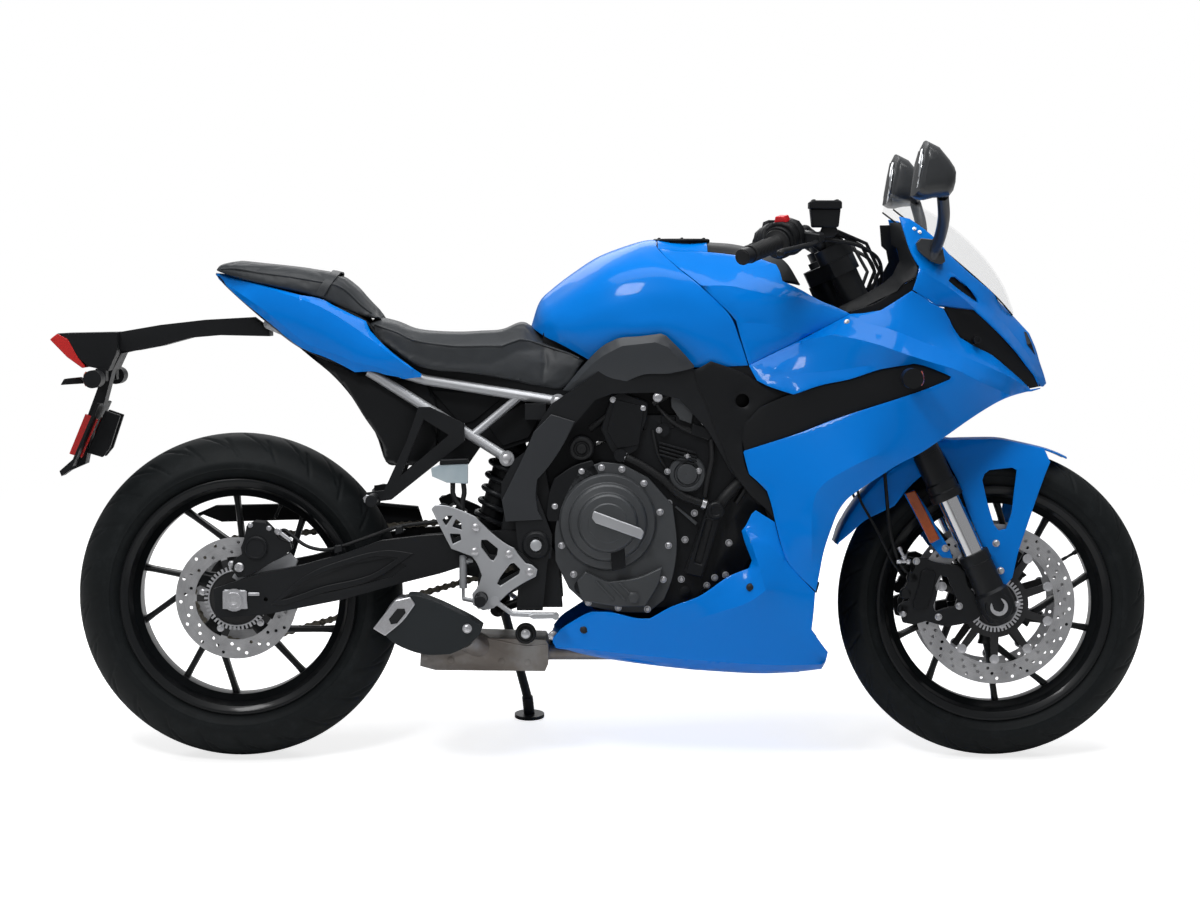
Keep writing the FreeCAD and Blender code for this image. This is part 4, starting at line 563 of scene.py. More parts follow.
facing = value.node("GeometryNodeInputNamedAttribute", {"data_type": "FLOAT_VECTOR"}, {"Name": "facing"})
turn = value.node("FunctionNodeAlignRotationToVector", {"axis": "Z"}, {"Vector": facing})
placed = value.node("GeometryNodeInstanceOnPoints", None,
                    {"Points": taken["Geometry"], "Instance": Shade(bolt_tree, bolt.outputs[0]),
                     "Rotation": turn})
close_tree(bolt_tree, placed, taken["Material"])


def bolts(name, places, facing_way, radius, height, body, material=None, sides=6):
    """Bolt heads at places in metres, all facing one way or each its own."""
    material = material or bright_steel
    ways = facing_way if isinstance(facing_way, list) else [facing_way] * len(places)
    made = sow(name, places, ways, bolt_tree, {"Radius": radius / 1000, "Height": height / 1000,
                                               "Sides": float(sides), "Material": material})
    return fit(made, body, material)


for side, name in SIDES:
    spots = [on_wheel(front_axle, BUTTON_R, math.radians(18 + 36 * k), side * HUB_FACE) for k in range(10)]
    bolts("front_disc_buttons_" + name, spots, LEFT * side, 7.5, 1.6, "front_wheel", sides=20)
    spots = [on_wheel(front_axle, 44, math.radians(72 * k), side * HUB_FACE) for k in range(5)]
    bolts("front_disc_bolts_" + name, spots, LEFT * side, 5, 4, "front_wheel", sides=12)
spots = [on_wheel(rear_axle, 66, math.radians(98 + 72 * k), -103) for k in range(5)]
bolts("rear_disc_bolts", spots, -LEFT, 5.5, 4, "rear_wheel", sides=12)
spots = [on_wheel(rear_axle, 52, math.radians(20 + 60 * k), 107) for k in range(6)]
bolts("sprocket_nuts", spots, LEFT, 6, 6, "rear_wheel")

tooth_tree, value, taken = growing_tree("sensor ring", {"Radius": 0.05, "Width": 0.008, "Teeth": 48.0})
teeth = value.node("FunctionNodeFloatToInt", None, {0: taken["Teeth"]})
path = value.node("GeometryNodeMeshCircle", None, {"Vertices": teeth, "Radius": taken["Radius"]})
size = value.node("ShaderNodeCombineXYZ", None,
                  {0: taken["Width"], 1: taken["Radius"] * 3.3 / taken["Teeth"], 2: 0.0016})
tooth = value.node("GeometryNodeMeshCube", None, {"Size": size})
spot = value.node("GeometryNodeInputPosition")
turn = value.node("FunctionNodeAlignRotationToVector", {"axis": "X"}, {"Vector": spot})
placed = value.node("GeometryNodeInstanceOnPoints", None,
                    {"Points": path, "Instance": tooth, "Rotation": turn})
hoop = value.node("GeometryNodeMeshCircle", None, {"Vertices": 64,
                                                   "Radius": taken["Radius"] - taken["Width"] * 0.6})
hoop = value.node("GeometryNodeMeshToCurve", None, {0: hoop})
wire = value.node("GeometryNodeCurvePrimitiveCircle", None, {"Radius": 0.0018, "Resolution": 6})
hoop = value.node("GeometryNodeCurveToMesh", None, {0: hoop, 1: wire})
both = value.tree.nodes.new("GeometryNodeJoinGeometry")
for part in (placed, hoop):
    tooth_tree.links.new(part.socket, both.inputs[0])
close_tree(tooth_tree, Shade(tooth_tree, both.outputs[0]), taken["Material"])


def sensor_ring(name, centre, along, radius, width, teeth, body):
    """A ring of teeth on a wheel's axis, `along` mm to the left of the wheel's middle."""
    made = sow(name, [(0, 0, 0)], [AHEAD], tooth_tree, {"Radius": radius / 1000, "Width": width / 1000,
                                                        "Teeth": float(teeth), "Material": bright_steel})
    across = LEFT.to_track_quat("Z", "Y").to_matrix().to_4x4()
    made.data.transform(Matrix.Translation(on_wheel(centre, 0, 0, along)) @ across)
    return fit(made, body, bright_steel)


sensor_ring("front_sensor_ring", front_axle, -66, 50, 9, 44, "front_wheel")
sensor_ring("rear_sensor_ring", rear_axle, -105, 58, 8, 46, "rear_wheel")

# ---------------------------------------------------------------- side and belly cowls
# Injection-moulded shells in gloss azure over a clear coat, 3 mm thick with softened edges, held by
# black screws.  Each is a skin stretched between an outline and fold lines, as (x, z, y) points.
PANEL = 0.003
GRID = 7.0
CORNER_TURN = 0.34
RELAX_STEPS = 900
AZURE = (0.0, 0.245, 0.88, 1)
AZURE_DEEP = (0.0, 0.225, 0.84, 1)

paint, value = make_material("azure paint", "paint", Coat_Weight=0.24, Coat_Roughness=0.035,
                             Specular_IOR_Level=0.06)
cloud = value.noise(3.0, 2)
peel = value.noise(420, 1)
feed(paint, Base_Color=cloud.mix(AZURE, AZURE_DEEP), Roughness=0.3 + 0.06 * value.noise(900, 2),
     Normal=peel.bump(0.02, 0.0003))

plastic = two_tone("satin black plastic", "black_plastic", (0.0055, 0.006, 0.007), (0.010, 0.011, 0.0125),
                   haze=(9, 3), rough=(0.38, 0.14), grain=(1500, 2), relief=(0.16, 0.0002),
                   Specular_IOR_Level=0.2)


def through(points, spacing, closed):
    """Places along a smooth line through `points`, about `spacing` mm apart."""
    spots = [Vector(point) for point in points]
    count = len(spots)
    result = []
    for i in range(count if closed else count - 1):
        p1, p2 = spots[i], spots[(i + 1) % count]
        p0 = spots[i - 1] if closed or i else p1 * 2 - p2
        p3 = spots[(i + 2) % count] if closed or i + 2 < count else p2 * 2 - p1
        length = (p2 - p1).length
        before, after = (p1 - p0).length + 1e-6, (p3 - p2).length + 1e-6
        m1 = (p2 - p1) * 0.5 + (p1 - p0) * (0.5 * length / before)
        m2 = (p2 - p1) * 0.5 + (p3 - p2) * (0.5 * length / after)
        m1 = p2 - p1 if (p1 - p0).angle(p2 - p1, 0) > CORNER_TURN else m1
        m2 = p2 - p1 if (p2 - p1).angle(p3 - p2, 0) > CORNER_TURN else m2
        steps = max(1, round(length / spacing))
        for k in range(steps):
            t = k / steps
            result.append((2 * t ** 3 - 3 * t * t + 1) * p1 + (t ** 3 - 2 * t * t + t) * m1
                          + (3 * t * t - 2 * t ** 3) * p2 + (t ** 3 - t * t) * m2)
    if not closed:
        result.append(spots[-1])
    return result


def inside(outline, x, z):
    """Whether a place in side view lies within an outline."""
    within = False
    for (x1, z1), (x2, z2) in zip(outline, outline[1:] + outline[:1]):
        if (z1 > z) != (z2 > z) and x < (x2 - x1) * (z - z1) / (z2 - z1) + x1:
            within = not within
    return within


def relaxed(places, edges, held, source):
    """Heights over `places` that run straight between the held ones, bulged by `source`."""
    count = len(places)
    a, b = np.array([e[0] for e in edges]), np.array([e[1] for e in edges])
    flat = np.array([(p[0], p[1]) for p in places])
    weight = 1 / np.maximum(np.linalg.norm(flat[a] - flat[b], axis=1), 1.0)
    free = np.ones(count, bool)
    free[list(held)] = False
    height = np.array([p[2] for p in places], float)
    total = np.bincount(a, weight, count) + np.bincount(b, weight, count)

    def laplace(h):
        return total * h - np.bincount(a, weight * h[b], count) - np.bincount(b, weight * h[a], count)

    height[free] = height[~free].mean()
    rest = np.where(free, source * GRID - laplace(height), 0.0)
    step = rest.copy()
    size = rest @ rest
    for _ in range(RELAX_STEPS):
        if size < 1e-7:
            break
        push = np.where(free, laplace(step), 0.0)
        share = size / max(step @ push, 1e-12)
        height += share * step
        rest -= share * push
        new_size = rest @ rest
        step = rest + step * (new_size / size)
        size = new_size
    return height


def stretched(name, outline, side, folds=(), holes=(), bulge=0.0):
    """A skin over an outline in side view.  Its y follows the outline, the folds and the holes' rims,
    runs straight between them, and swells by `bulge`.  Side -1 is the right-hand one."""
    rim = through(outline, GRID, True)
    loops = [rim] + [through(hole, GRID, True) for hole in holes]
    lines = [through(fold, GRID, False) for fold in folds]
    flat, height, edges, held = [], [], [], set()
    creases = set()
    for loop in loops:
        first = len(flat)
        flat += [Vector((p.x, p.y)) for p in loop]
        height += [p.z for p in loop]
        edges += [(first + k, first + (k + 1) % len(loop)) for k in range(len(loop))]
    rims = [[(p.x, p.y) for p in loop] for loop in loops]
    for line in lines:
        kept = [p for p in line if inside(rims[0], p.x, p.y)
                and min((Vector((p.x, p.y)) - q).length for q in flat[:len(rim)]) > GRID * 0.45]
        first = len(flat)
        flat += [Vector((p.x, p.y)) for p in kept]
        height += [p.z for p in kept]
        edges += [(first + k, first + k + 1) for k in range(len(kept) - 1)]
        creases |= {tuple(sorted((first + k, first + k + 1))) for k in range(len(kept) - 1)}
    held_flat = np.array([(p.x, p.y) for p in flat])
    low, high = held_flat.min(axis=0), held_flat.max(axis=0)
    row = 0
    z = low[1]
    while z < high[1]:
        for x in np.arange(low[0] + (row % 2) * GRID / 2, high[0], GRID):
            near = np.abs(held_flat - (x, z)).max(axis=1) < GRID * 0.62
            if not near.any() and inside(rims[0], x, z) and not any(inside(h, x, z) for h in rims[1:]):
                flat.append(Vector((x, z)))
                height.append(0.0)
        z += GRID * 0.87
        row += 1
    fixed = len(held_flat)
    spots, _, triangles, origins, _, _ = delaunay_2d_cdt(flat, edges, [], 0, 1e-4)
    level = [0.0] * len(spots)
    came_from = [origin[0] if origin else -1 for origin in origins]
    for k, origin in enumerate(origins):
        known = [height[o] for o in origin if o < fixed]
        if known:
            level[k] = known[0]
            held.add(k)
    kept = []
    for face in triangles:
        middle = sum((Vector((spots[i][0], spots[i][1])) for i in face), Vector((0, 0))) / len(face)
        if inside(rims[0], middle.x, middle.y) and not any(inside(h, middle.x, middle.y) for h in rims[1:]):
            kept.append(face)
    links = {tuple(sorted((face[k], face[(k + 1) % 3]))) for face in kept for k in range(3)}
    places = [(p[0], p[1], level[k]) for k, p in enumerate(spots)]
    level = relaxed(places, sorted(links), held, bulge)
    used = sorted({i for face in kept for i in face})
    index = {old: new for new, old in enumerate(used)}
    points = [bike(places[i][0], side * level[i], places[i][1]) for i in used]
    middle = sum(points, Vector()) / len(points)
    made = piece(name, points, [tuple(index[i] for i in face) for face in kept], 28,
                 middle - LEFT * side * 2)
    marks = made.data.attributes
    folded = marks.get("sharp_edge") or marks.new("sharp_edge", "BOOLEAN", "EDGE")
    for edge in made.data.edges:
        ends = tuple(sorted(came_from[used[i]] for i in edge.vertices))
        if ends in creases:
            folded.data[edge.index].value = True
    return made


def thicken(made, thickness=PANEL, edge=0.0009):
    """Gives a skin its wall, inwards, and softens its edges."""
    wall = made.modifiers.new("wall", "SOLIDIFY")
    wall.thickness, wall.offset = thickness, -1
    if edge:
        soften_edges(made, edge, 55)
    return made


def spaced(points, steps):
    """A smooth line through points, with the same number of steps between each two."""
    spots = [Vector(point) for point in points]
    count = len(spots)
    result = []
    for i in range(count - 1):
        p1, p2 = spots[i], spots[i + 1]
        p0 = spots[i - 1] if i else p1 * 2 - p2
        p3 = spots[i + 2] if i + 2 < count else p2 * 2 - p1
        for k in range(steps):
            t = k / steps
            result.append(0.5 * (2 * p1 + (p2 - p0) * t + (2 * p0 - 5 * p1 + 4 * p2 - p3) * t * t
                                 + (3 * p1 - p0 - 3 * p2 + p3) * t ** 3))
    return result + [spots[-1]]


def skin(name, rows, steps=6, smooth=35.0, core=None):
    """A smooth skin over rows of (x, z, y) points, which go on to the other side of the bike."""
    rows = [row + [(x, z, -y) for x, z, y in reversed(row) if y > 0.01] for row in rows]
    across = [spaced(row, steps) for row in rows]
    lines = [spaced([row[i] for row in across], steps) for i in range(len(across[0]))]
    long = len(lines[0])
    points = [bike(p.x, -p.z, p.y) for line in lines for p in line]
    faces = [(i * long + j, i * long + j + 1, (i + 1) * long + j + 1, (i + 1) * long + j)
             for i in range(len(lines) - 1) for j in range(long - 1)]
    return piece(name, points, faces, smooth, core or sum(points, Vector()) / len(points))


SIDE_COWL = [
    (982, 764, 172), (1032, 789, 173), (1079, 812, 174), (1127, 837, 173), (1175, 862, 172),
    (1203, 864, 171), (1233, 869, 171), (1270, 892, 171), (1292, 906, 172), (1317, 891, 168),
    (1339, 878, 162), (1353, 873, 156), (1366, 852, 150), (1373, 837, 148), (1387, 817, 144),
    (1416, 800, 134), (1451, 783, 118), (1488, 754, 98), (1513, 734, 80), (1532, 716, 66),
    (1554, 719, 48), (1525, 712, 78), (1490, 704, 112), (1464, 695, 136), (1429, 677, 160),
    (1404, 662, 174), (1339, 619, 198), (1304, 597, 206), (1266, 578, 211), (1228, 554, 214),
    (1190, 529, 214), (1166, 510, 213), (1149, 485, 211), (1140, 462, 209), (1124, 412, 205),
    (1115, 365, 202), (1109, 335, 200), (1078, 365, 202), (1055, 392, 202), (1045, 417, 201),
    (1035, 454, 199), (1024, 501, 196), (1016, 526, 193), (997, 545, 188), (983, 557, 184),
    (979, 570, 182), (972, 599, 180), (974, 602, 181), (1077, 637, 206), (1137, 661, 214),
    (1175, 674, 219), (1208, 685, 223), (1265, 703, 227), (1321, 722, 226), (1360, 738, 221),
    (1362, 744, 220), (1331, 757, 219), (1308, 765, 221), (1292, 768, 222), (1275, 765, 222),
    (1227, 757, 221), (1170, 739, 219), (1114, 727, 214), (1073, 713, 214), (1064, 710, 210),
    (1017, 726, 196), (997, 736, 186)]
SIDE_FOLDS = [
    [(1077, 811, 180), (1141, 823, 210), (1191, 813, 226), (1228, 803, 235), (1273, 787, 240),
     (1320, 772, 240), (1370, 757, 230), (1414, 736, 211), (1482, 707, 134)],
    [(1174, 858, 177), (1195, 847, 188), (1249, 833, 196), (1315, 808, 198), (1382, 784, 190),
     (1459, 753, 154), (1515, 725, 97)],
    [(1031, 761, 190), (1064, 748, 200), (1134, 754, 210), (1209, 765, 219)],
    [(1227, 598, 229), (1189, 582, 240), (1152, 562, 238), (1122, 542, 234), (1107, 523, 229),
     (1100, 489, 223), (1100, 436, 220), (1100, 379, 205)]]
STRIP = [
    (1073, 715, 208), (1114, 729, 208), (1170, 741, 213), (1227, 758, 215), (1276, 767, 216),
    (1293, 770, 216), (1308, 767, 215), (1331, 759, 213), (1366, 742, 215), (1322, 719, 219),
    (1265, 700, 220), (1209, 682, 216), (1175, 670, 212), (1138, 658, 207), (1078, 635, 199),
    (975, 596, 174), (969, 624, 172), (973, 652, 172), (1003, 685, 180), (1040, 702, 196)]
BELLY = [
    (995, 489, 190), (987, 482, 189), (975, 459, 189), (968, 450, 189), (973, 431, 191),
    (987, 394, 197), (982, 380, 199), (945, 365, 202), (887, 326, 202), (832, 304, 197),
    (794, 282, 190), (771, 282, 187), (720, 293, 177), (684, 294, 168), (671, 289, 164),
    (651, 277, 160), (623, 258, 152), (609, 241, 148), (609, 233, 146), (615, 221, 138),
    (661, 213, 128), (699, 203, 118), (772, 193, 106), (821, 184, 98), (873, 175, 88), (915, 172, 84),
    (989, 168, 80), (1047, 168, 80), (1085, 170, 82), (1128, 176, 90), (1133, 196, 136),
    (1135, 215, 164), (1120, 235, 180), (1102, 261, 190), (1106, 302, 196), (1108, 333, 199),
    (1078, 365, 201), (1055, 392, 201), (1042, 426, 199), (1031, 467, 195)]
BELLY_FOLDS = [
    [(617, 225, 144), (661, 222, 154), (737, 214, 164), (889, 201, 172), (1042, 192, 174),
     (1124, 192, 160)],
    [(974, 458, 194), (987, 426, 212), (1002, 379, 219), (1013, 339, 222), (987, 320, 220),
     (888, 284, 198)],
    [(976, 454, 193), (1017, 426, 206), (1059, 390, 204)]]

COWL_SCREWS = [(983, 343), (670, 261)]


def fit_half(made, side, body, material, node):
    """Fits one of two like pieces.  The right-hand one stands for the plain solids of both."""
    return fit(made, body, material, *((node,) if side < 0 else ()))


def on_skin(made, x, z, side):
    """The place on a shell that is seen at (x, z) from its own side."""
    start = bike(x, 0, z)
    return min((vert.co for vert in made.data.vertices if (vert.co - start).dot(LEFT) * side > 0),
               key=lambda place: (place - start).cross(LEFT).length).copy()


dark_screw = two_tone("black screw heads", "black_metal", (0.010, 0.010, 0.011), (0.05, 0.05, 0.052),
                      haze=(400, 2), rough=(0.35, 0.2), relief=(0.05, 0.0002), Metallic=0.6,
                      Specular_IOR_Level=0.4)

for side, name in SIDES:
    cowl = thicken(stretched("side_cowl_" + name, SIDE_COWL, side, SIDE_FOLDS, bulge=0.004))
    strip = thicken(stretched("intake_strip_" + name, STRIP, side, bulge=0.004))
    belly = thicken(stretched("belly_cowl_" + name, BELLY, side, BELLY_FOLDS, bulge=0.001))
    fit_half(cowl, side, "chassis", paint, "side_cowls")
    fit(strip, "chassis", plastic)
    fit_half(belly, side, "chassis", paint, "lower_cowls")
    screws = [on_skin(belly, x, z, side) for x, z in COWL_SCREWS]
    bolts("cowl_screws_" + name, screws, (LEFT * side + UP * 0.15).normalized(), 6, 3, "chassis",
          dark_screw, 20)
    bolts("nose_screw_" + name, [on_skin(cowl, 1168, 850, side)], (LEFT * side + UP * 0.3).normalized(),
          4.5, 2, "chassis", sides=20)

FLOOR_ROWS = [[(609, 237, 144), (604, 232, 70), (602, 230, 0)],
              [(661, 213, 128), (661, 204, 70), (661, 202, 0)],
              [(821, 184, 98), (821, 178, 60), (821, 176, 0)],
              [(989, 168, 80), (989, 164, 50), (989, 163, 0)],
              [(1085, 170, 82), (1087, 166, 50), (1088, 165, 0)]]
belly_floor = skin("belly_floor", FLOOR_ROWS, core=bike(850, 0, 500))
fit(thicken(belly_floor), "chassis", paint)

# ---------------------------------------------------------------- fork and steering metal
# An upside-down fork: black anodised outer tubes held in two clamps, bright hard-chromed inner legs,
# and black legs that carry the axle.  The clamps are cast and machined alloy in satin black.
satin_metal = two_tone("satin black metal", "black_metal", (0.005, 0.0058, 0.0068), (0.011, 0.012, 0.014),
                       haze=(14, 3), rough=(0.32, 0.2), grain=(700, 3), relief=(0.1, 0.0002),
                       Specular_IOR_Level=0.28)

hard_chrome = two_tone("hard chrome", "chrome", (0.62, 0.62, 0.63), (0.74, 0.74, 0.75), haze=(900, 2),
                       rough=(0.1, 0.06), Metallic=1.0)


def softened(node, body, material, width, name=None, keep=None, reach=None):
    """A copy of a plain solid with its edges rounded, or of the loose parts of it that `keep` takes.

    Nothing of it stands further from the centre plane than `reach` mm."""
    mesh = frame["nodes"][node].data.copy()
    form = bmesh.new()
    form.from_mesh(mesh)
    bmesh.ops.remove_doubles(form, verts=form.verts, dist=1e-5)
    if keep:
        seen, parts = set(), []
        for vert in form.verts:
            if vert in seen:
                continue
            part, queue = [], [vert]
            seen.add(vert)
            while queue:
                here = queue.pop()
                part.append(here)
                for edge in here.link_edges:
                    there = edge.other_vert(here)
                    if there not in seen:
                        seen.add(there)
                        queue.append(there)
            parts.append(part)
        for part in parts:
            if not keep(sum((vert.co for vert in part), Vector()) / len(part)):
                bmesh.ops.delete(form, geom=part, context="VERTS")
    bmesh.ops.dissolve_limit(form, angle_limit=math.radians(1), verts=form.verts, edges=form.edges)
    bmesh.ops.recalc_face_normals(form, faces=form.faces)
    for vert in form.verts if reach else ():
        out = (vert.co - rear_axle).dot(LEFT)
        vert.co += LEFT * (min(max(out, -reach / 1000), reach / 1000) - out)
    form.to_mesh(mesh)
    form.free()
    smoothed(mesh, 32)
    made = put(name or node + "_form", mesh)
    if width:
        soften_edges(made, width / 1000, 32)
    return fit(made, body, material, *(() if name else (node,)))


softened("fork_outer_tubes", "steering", satin_metal, 0.8)
softened("triple_clamps", "steering", satin_metal, 1.5)
softened("handlebars", "steering", satin_metal, 0.8)
softened("front_axle", "steering", bright_steel, 0.6)

# ---------------------------------------------------------------- frame
# Cast alloy beams in satin black from the steering head to the swingarm pivot.  A grey enamelled
# plate covers each leg above the pivot, whose bolt sits in a moulded surround.
LEG_PLATE = [(606, 671), (651, 657), (625, 606), (594, 562), (580, 547), (577, 518), (581, 486), (590, 470),
             (519, 466), (512, 507), (529, 541), (557, 599), (573, 637)]
PLATE_STEP = 6.0
frame_grey = two_tone("frame enamel", "grey_metal", (0.016, 0.018, 0.021), (0.028, 0.031, 0.036),
                      haze=(10, 3), rough=(0.34, 0.16), grain=(900, 3), relief=(0.12, 0.0003),
                      Specular_IOR_Level=0.5)
silver_alloy = two_tone("silver alloy", "silver", (0.40, 0.41, 0.43), (0.52, 0.53, 0.55), haze=(12, 3),
                        rough=(0.34, 0.16), grain=(800, 3), relief=(0.08, 0.0002), Metallic=0.55,
                        Specular_IOR_Level=0.5)


def slab(name, outline, y0, y1, edge, holes=()):
    """A plate cut to an outline in side view, between two places across the bike, with its holes."""
    loops = [through([(x, z, 0) for x, z in loop], PLATE_STEP, True) for loop in [outline, *holes]]
    flat, edges = [], []
    for loop in loops:
        first = len(flat)
        flat += [Vector((p.x, p.y)) for p in loop]
        edges += [(first + k, first + (k + 1) % len(loop)) for k in range(len(loop))]
    rims = [[(p.x, p.y) for p in loop] for loop in loops]
    spots, _, triangles, _, _, _ = delaunay_2d_cdt(flat, edges, [], 1, 1e-4)
    points = [bike(p[0], y0, p[1]) for p in spots] + [bike(p[0], y1, p[1]) for p in spots]
    count = len(spots)
    faces, border = [], {}
    for face in triangles:
        middle = sum((Vector((spots[i][0], spots[i][1])) for i in face), Vector((0, 0))) / len(face)
        if any(inside(rim, middle.x, middle.y) for rim in rims[1:]):
            continue
        faces += [tuple(face), tuple(i + count for i in reversed(face))]
        for k in range(3):
            pair = (face[k], face[(k + 1) % 3])
            if tuple(reversed(pair)) in border:
                del border[tuple(reversed(pair))]
            else:
                border[pair] = True
    faces += [(b, a, a + count, b + count) for a, b in border]
    made = piece(name, points, faces, 35)
    soften_edges(made, edge / 1000, 40)
    return made


softened("main_frame", "chassis", satin_metal, 2.0)
softened("frame_beams", "chassis", satin_metal, 2.0, reach=170)
for side, name in SIDES:
    fit(slab("frame_leg_" + name, LEG_PLATE, side * 163, side * 169, 3), "chassis", frame_grey)
    surround = [(9, 163), (27, 163), (27, 167), (23, 172), (16, 172), (14, 168), (9, 168)]
    fit(lathe("pivot_surround_" + name, rounded(surround, 1.5), bike(577, 0, 421), LEFT * side, 40),
        "chassis", satin_metal)
    bolts("pivot_bolt_" + name, [bike(577, side * 168, 421)], LEFT * side, 11, 5, "chassis", silver_alloy,
          12)
    bolts("frame_bolt_" + name, [bike(809, side * 163, 703)], LEFT * side, 7, 4, "chassis")

PIVOT_PLATE = [(521, 510), (560, 552), (593, 577), (604, 510), (593, 444), (621, 394), (628, 300),
               (555, 300), (546, 356), (505, 422)]
for side, name in SIDES:
    fit(slab("pivot_plate_" + name, PIVOT_PLATE, side * 112, side * 140, 4), "chassis", satin_metal)

# ---------------------------------------------------------------- swingarm
# A cast alloy arm in satin black with a pressed recess, steel adjuster blocks at its ends, the chain
# guard above it on the left and the hollow rear axle through it.
SWING_RECESS = [(90, 315), (147, 357), (212, 382), (270, 399), (313, 395), (260, 363), (164, 339),
                (107, 319)]
SWING_RIB = [(70, 306), (140, 364), (210, 392), (290, 410), (345, 404), (262, 352), (162, 326), (96, 304)]
softened("swingarm", "chassis", satin_metal, 3.0)
softened("rear_axle", "chassis", bright_steel, 0.8)
softened("chain_guard", "chassis", plastic, 0.8)
ADJUSTER = [(-20, 335), (22, 334), (26, 298), (-16, 299)]
for side, name in SIDES:
    fit(slab("adjuster_" + name, ADJUSTER, side * 146, side * 151, 1.5), "chassis", silver_alloy)
    fit(slab("adjuster_bolt_" + name, [(26, 329), (48, 329), (48, 323), (26, 323)], side * 143, side * 149,
             1), "chassis", bright_steel)
    bolts("axle_nut_" + name, [bike(0, side * 151, 315)], LEFT * side, 17, 8, "chassis")
    rib = slab("swingarm_rib_" + name, SWING_RIB, side * 145.5, side * 147.5, 1, [SWING_RECESS])
    fit(rib, "chassis", satin_metal)

# ---------------------------------------------------------------- drive chain
# A roller chain of oiled steel plates, pins and rollers, running over both sprockets on the left.
# One link is built in a tree and set along the run, each turned the way that the chain goes there.
link_steel = two_tone("chain steel", "chain", (0.16, 0.14, 0.11), (0.42, 0.39, 0.33), haze=(260, 3),
                      rough=(0.3, 0.25), relief=(0.1, 0.0003), Metallic=0.9)
CHAIN_PITCH = 15.875
CHAIN_Y = 104
SPROCKETS = ((0, 315, 104), (652, 432, 36.5))


def chain_path():
    """Places every half pitch round both sprockets, with the way that the chain runs there."""
    (x0, z0, r0), (x1, z1, r1) = SPROCKETS
    apart = math.hypot(x1 - x0, z1 - z0)
    slope = math.atan2(z1 - z0, x1 - x0)
    open_angle = math.acos((r0 - r1) / apart)
    line = []
    top, low = slope + open_angle, slope - open_angle
    line.append((x0 + r0 * math.cos(top), z0 + r0 * math.sin(top)))
    for k in range(25):
        a = top + (low - top) * k / 24
        line.append((x1 + r1 * math.cos(a), z1 + r1 * math.sin(a)))
    for k in range(49):
        a = low - (2 * math.pi - (top - low)) * k / 48
        line.append((x0 + r0 * math.cos(a), z0 + r0 * math.sin(a)))
    lengths = [math.dist(a, b) for a, b in zip(line, line[1:] + line[:1])]
    total = sum(lengths)
    count = 2 * round(total / CHAIN_PITCH / 2)
    places, at, k = [], 0.0, 0
    for i in range(count):
        want = total * i / count
        while at + lengths[k] < want:
            at += lengths[k]
            k += 1
        share = (want - at) / max(lengths[k], 1e-9)
        a, b = line[k], line[(k + 1) % len(line)]
        places.append((a[0] + (b[0] - a[0]) * share, a[1] + (b[1] - a[1]) * share))
    return places


link_tree, value, taken = growing_tree("chain links", {"Pitch": 0.015875, "Width": 0.0088, "Gap": 0.011})
outer = value.node("GeometryNodeMeshCylinder", None, {"Vertices": 12, "Radius": taken["Pitch"] * 0.43,
                                                      "Depth": 0.0017})
bridge = value.node("ShaderNodeCombineXYZ", None, {0: taken["Pitch"], 1: taken["Pitch"] * 0.56, 2: 0.0015})
bridge = value.node("GeometryNodeMeshCube", None, {"Size": bridge})
pin = value.node("GeometryNodeMeshCylinder", None, {"Vertices": 10, "Radius": 0.0026,
                                                    "Depth": taken["Gap"] + 0.0075})
roller = value.node("GeometryNodeMeshCylinder", None, {"Vertices": 12, "Radius": 0.005,
                                                       "Depth": taken["Gap"] * 0.8})
link = value.tree.nodes.new("GeometryNodeJoinGeometry")
for across in (-1, 1):
    for end in (-0.5, 0.5, 0):
        shift = value.node("ShaderNodeCombineXYZ", None, {0: taken["Pitch"] * end,
                                                          2: (taken["Gap"] * 0.5 + 0.0012) * across})
        moved = value.node("GeometryNodeTransform", None,
                           {0: outer if end else bridge, "Translation": shift})
        link_tree.links.new(moved.socket, link.inputs[0])
for part in (pin, roller):
    shift = value.node("ShaderNodeCombineXYZ", None, {0: taken["Pitch"] * 0.5})
    moved = value.node("GeometryNodeTransform", None, {0: part, "Translation": shift})
    link_tree.links.new(moved.socket, link.inputs[0])
way = value.node("GeometryNodeInputNamedAttribute", {"data_type": "FLOAT_VECTOR"}, {"Name": "facing"})
turn = value.node("FunctionNodeAxesToRotation", {"primary_axis": "X", "secondary_axis": "Z"},
                  {"Primary Axis": way, "Secondary Axis": tuple(LEFT)})
placed = value.node("GeometryNodeInstanceOnPoints", None,
                    {"Points": taken["Geometry"], "Instance": Shade(link_tree, link.outputs[0]),
                     "Rotation": turn})
close_tree(link_tree, placed, taken["Material"])

stations = chain_path()
middles, ways = [], []
for (x0, z0), (x1, z1) in zip(stations, stations[1:] + stations[:1]):
    middles.append(bike((x0 + x1) / 2, CHAIN_Y, (z0 + z1) / 2))
    ways.append((AHEAD * (x1 - x0) + UP * (z1 - z0)).normalized())
chain = sow("drive_chain_links", middles, ways, link_tree, {"Material": link_steel})
fit(chain, "chassis", link_steel, "drive_chain")

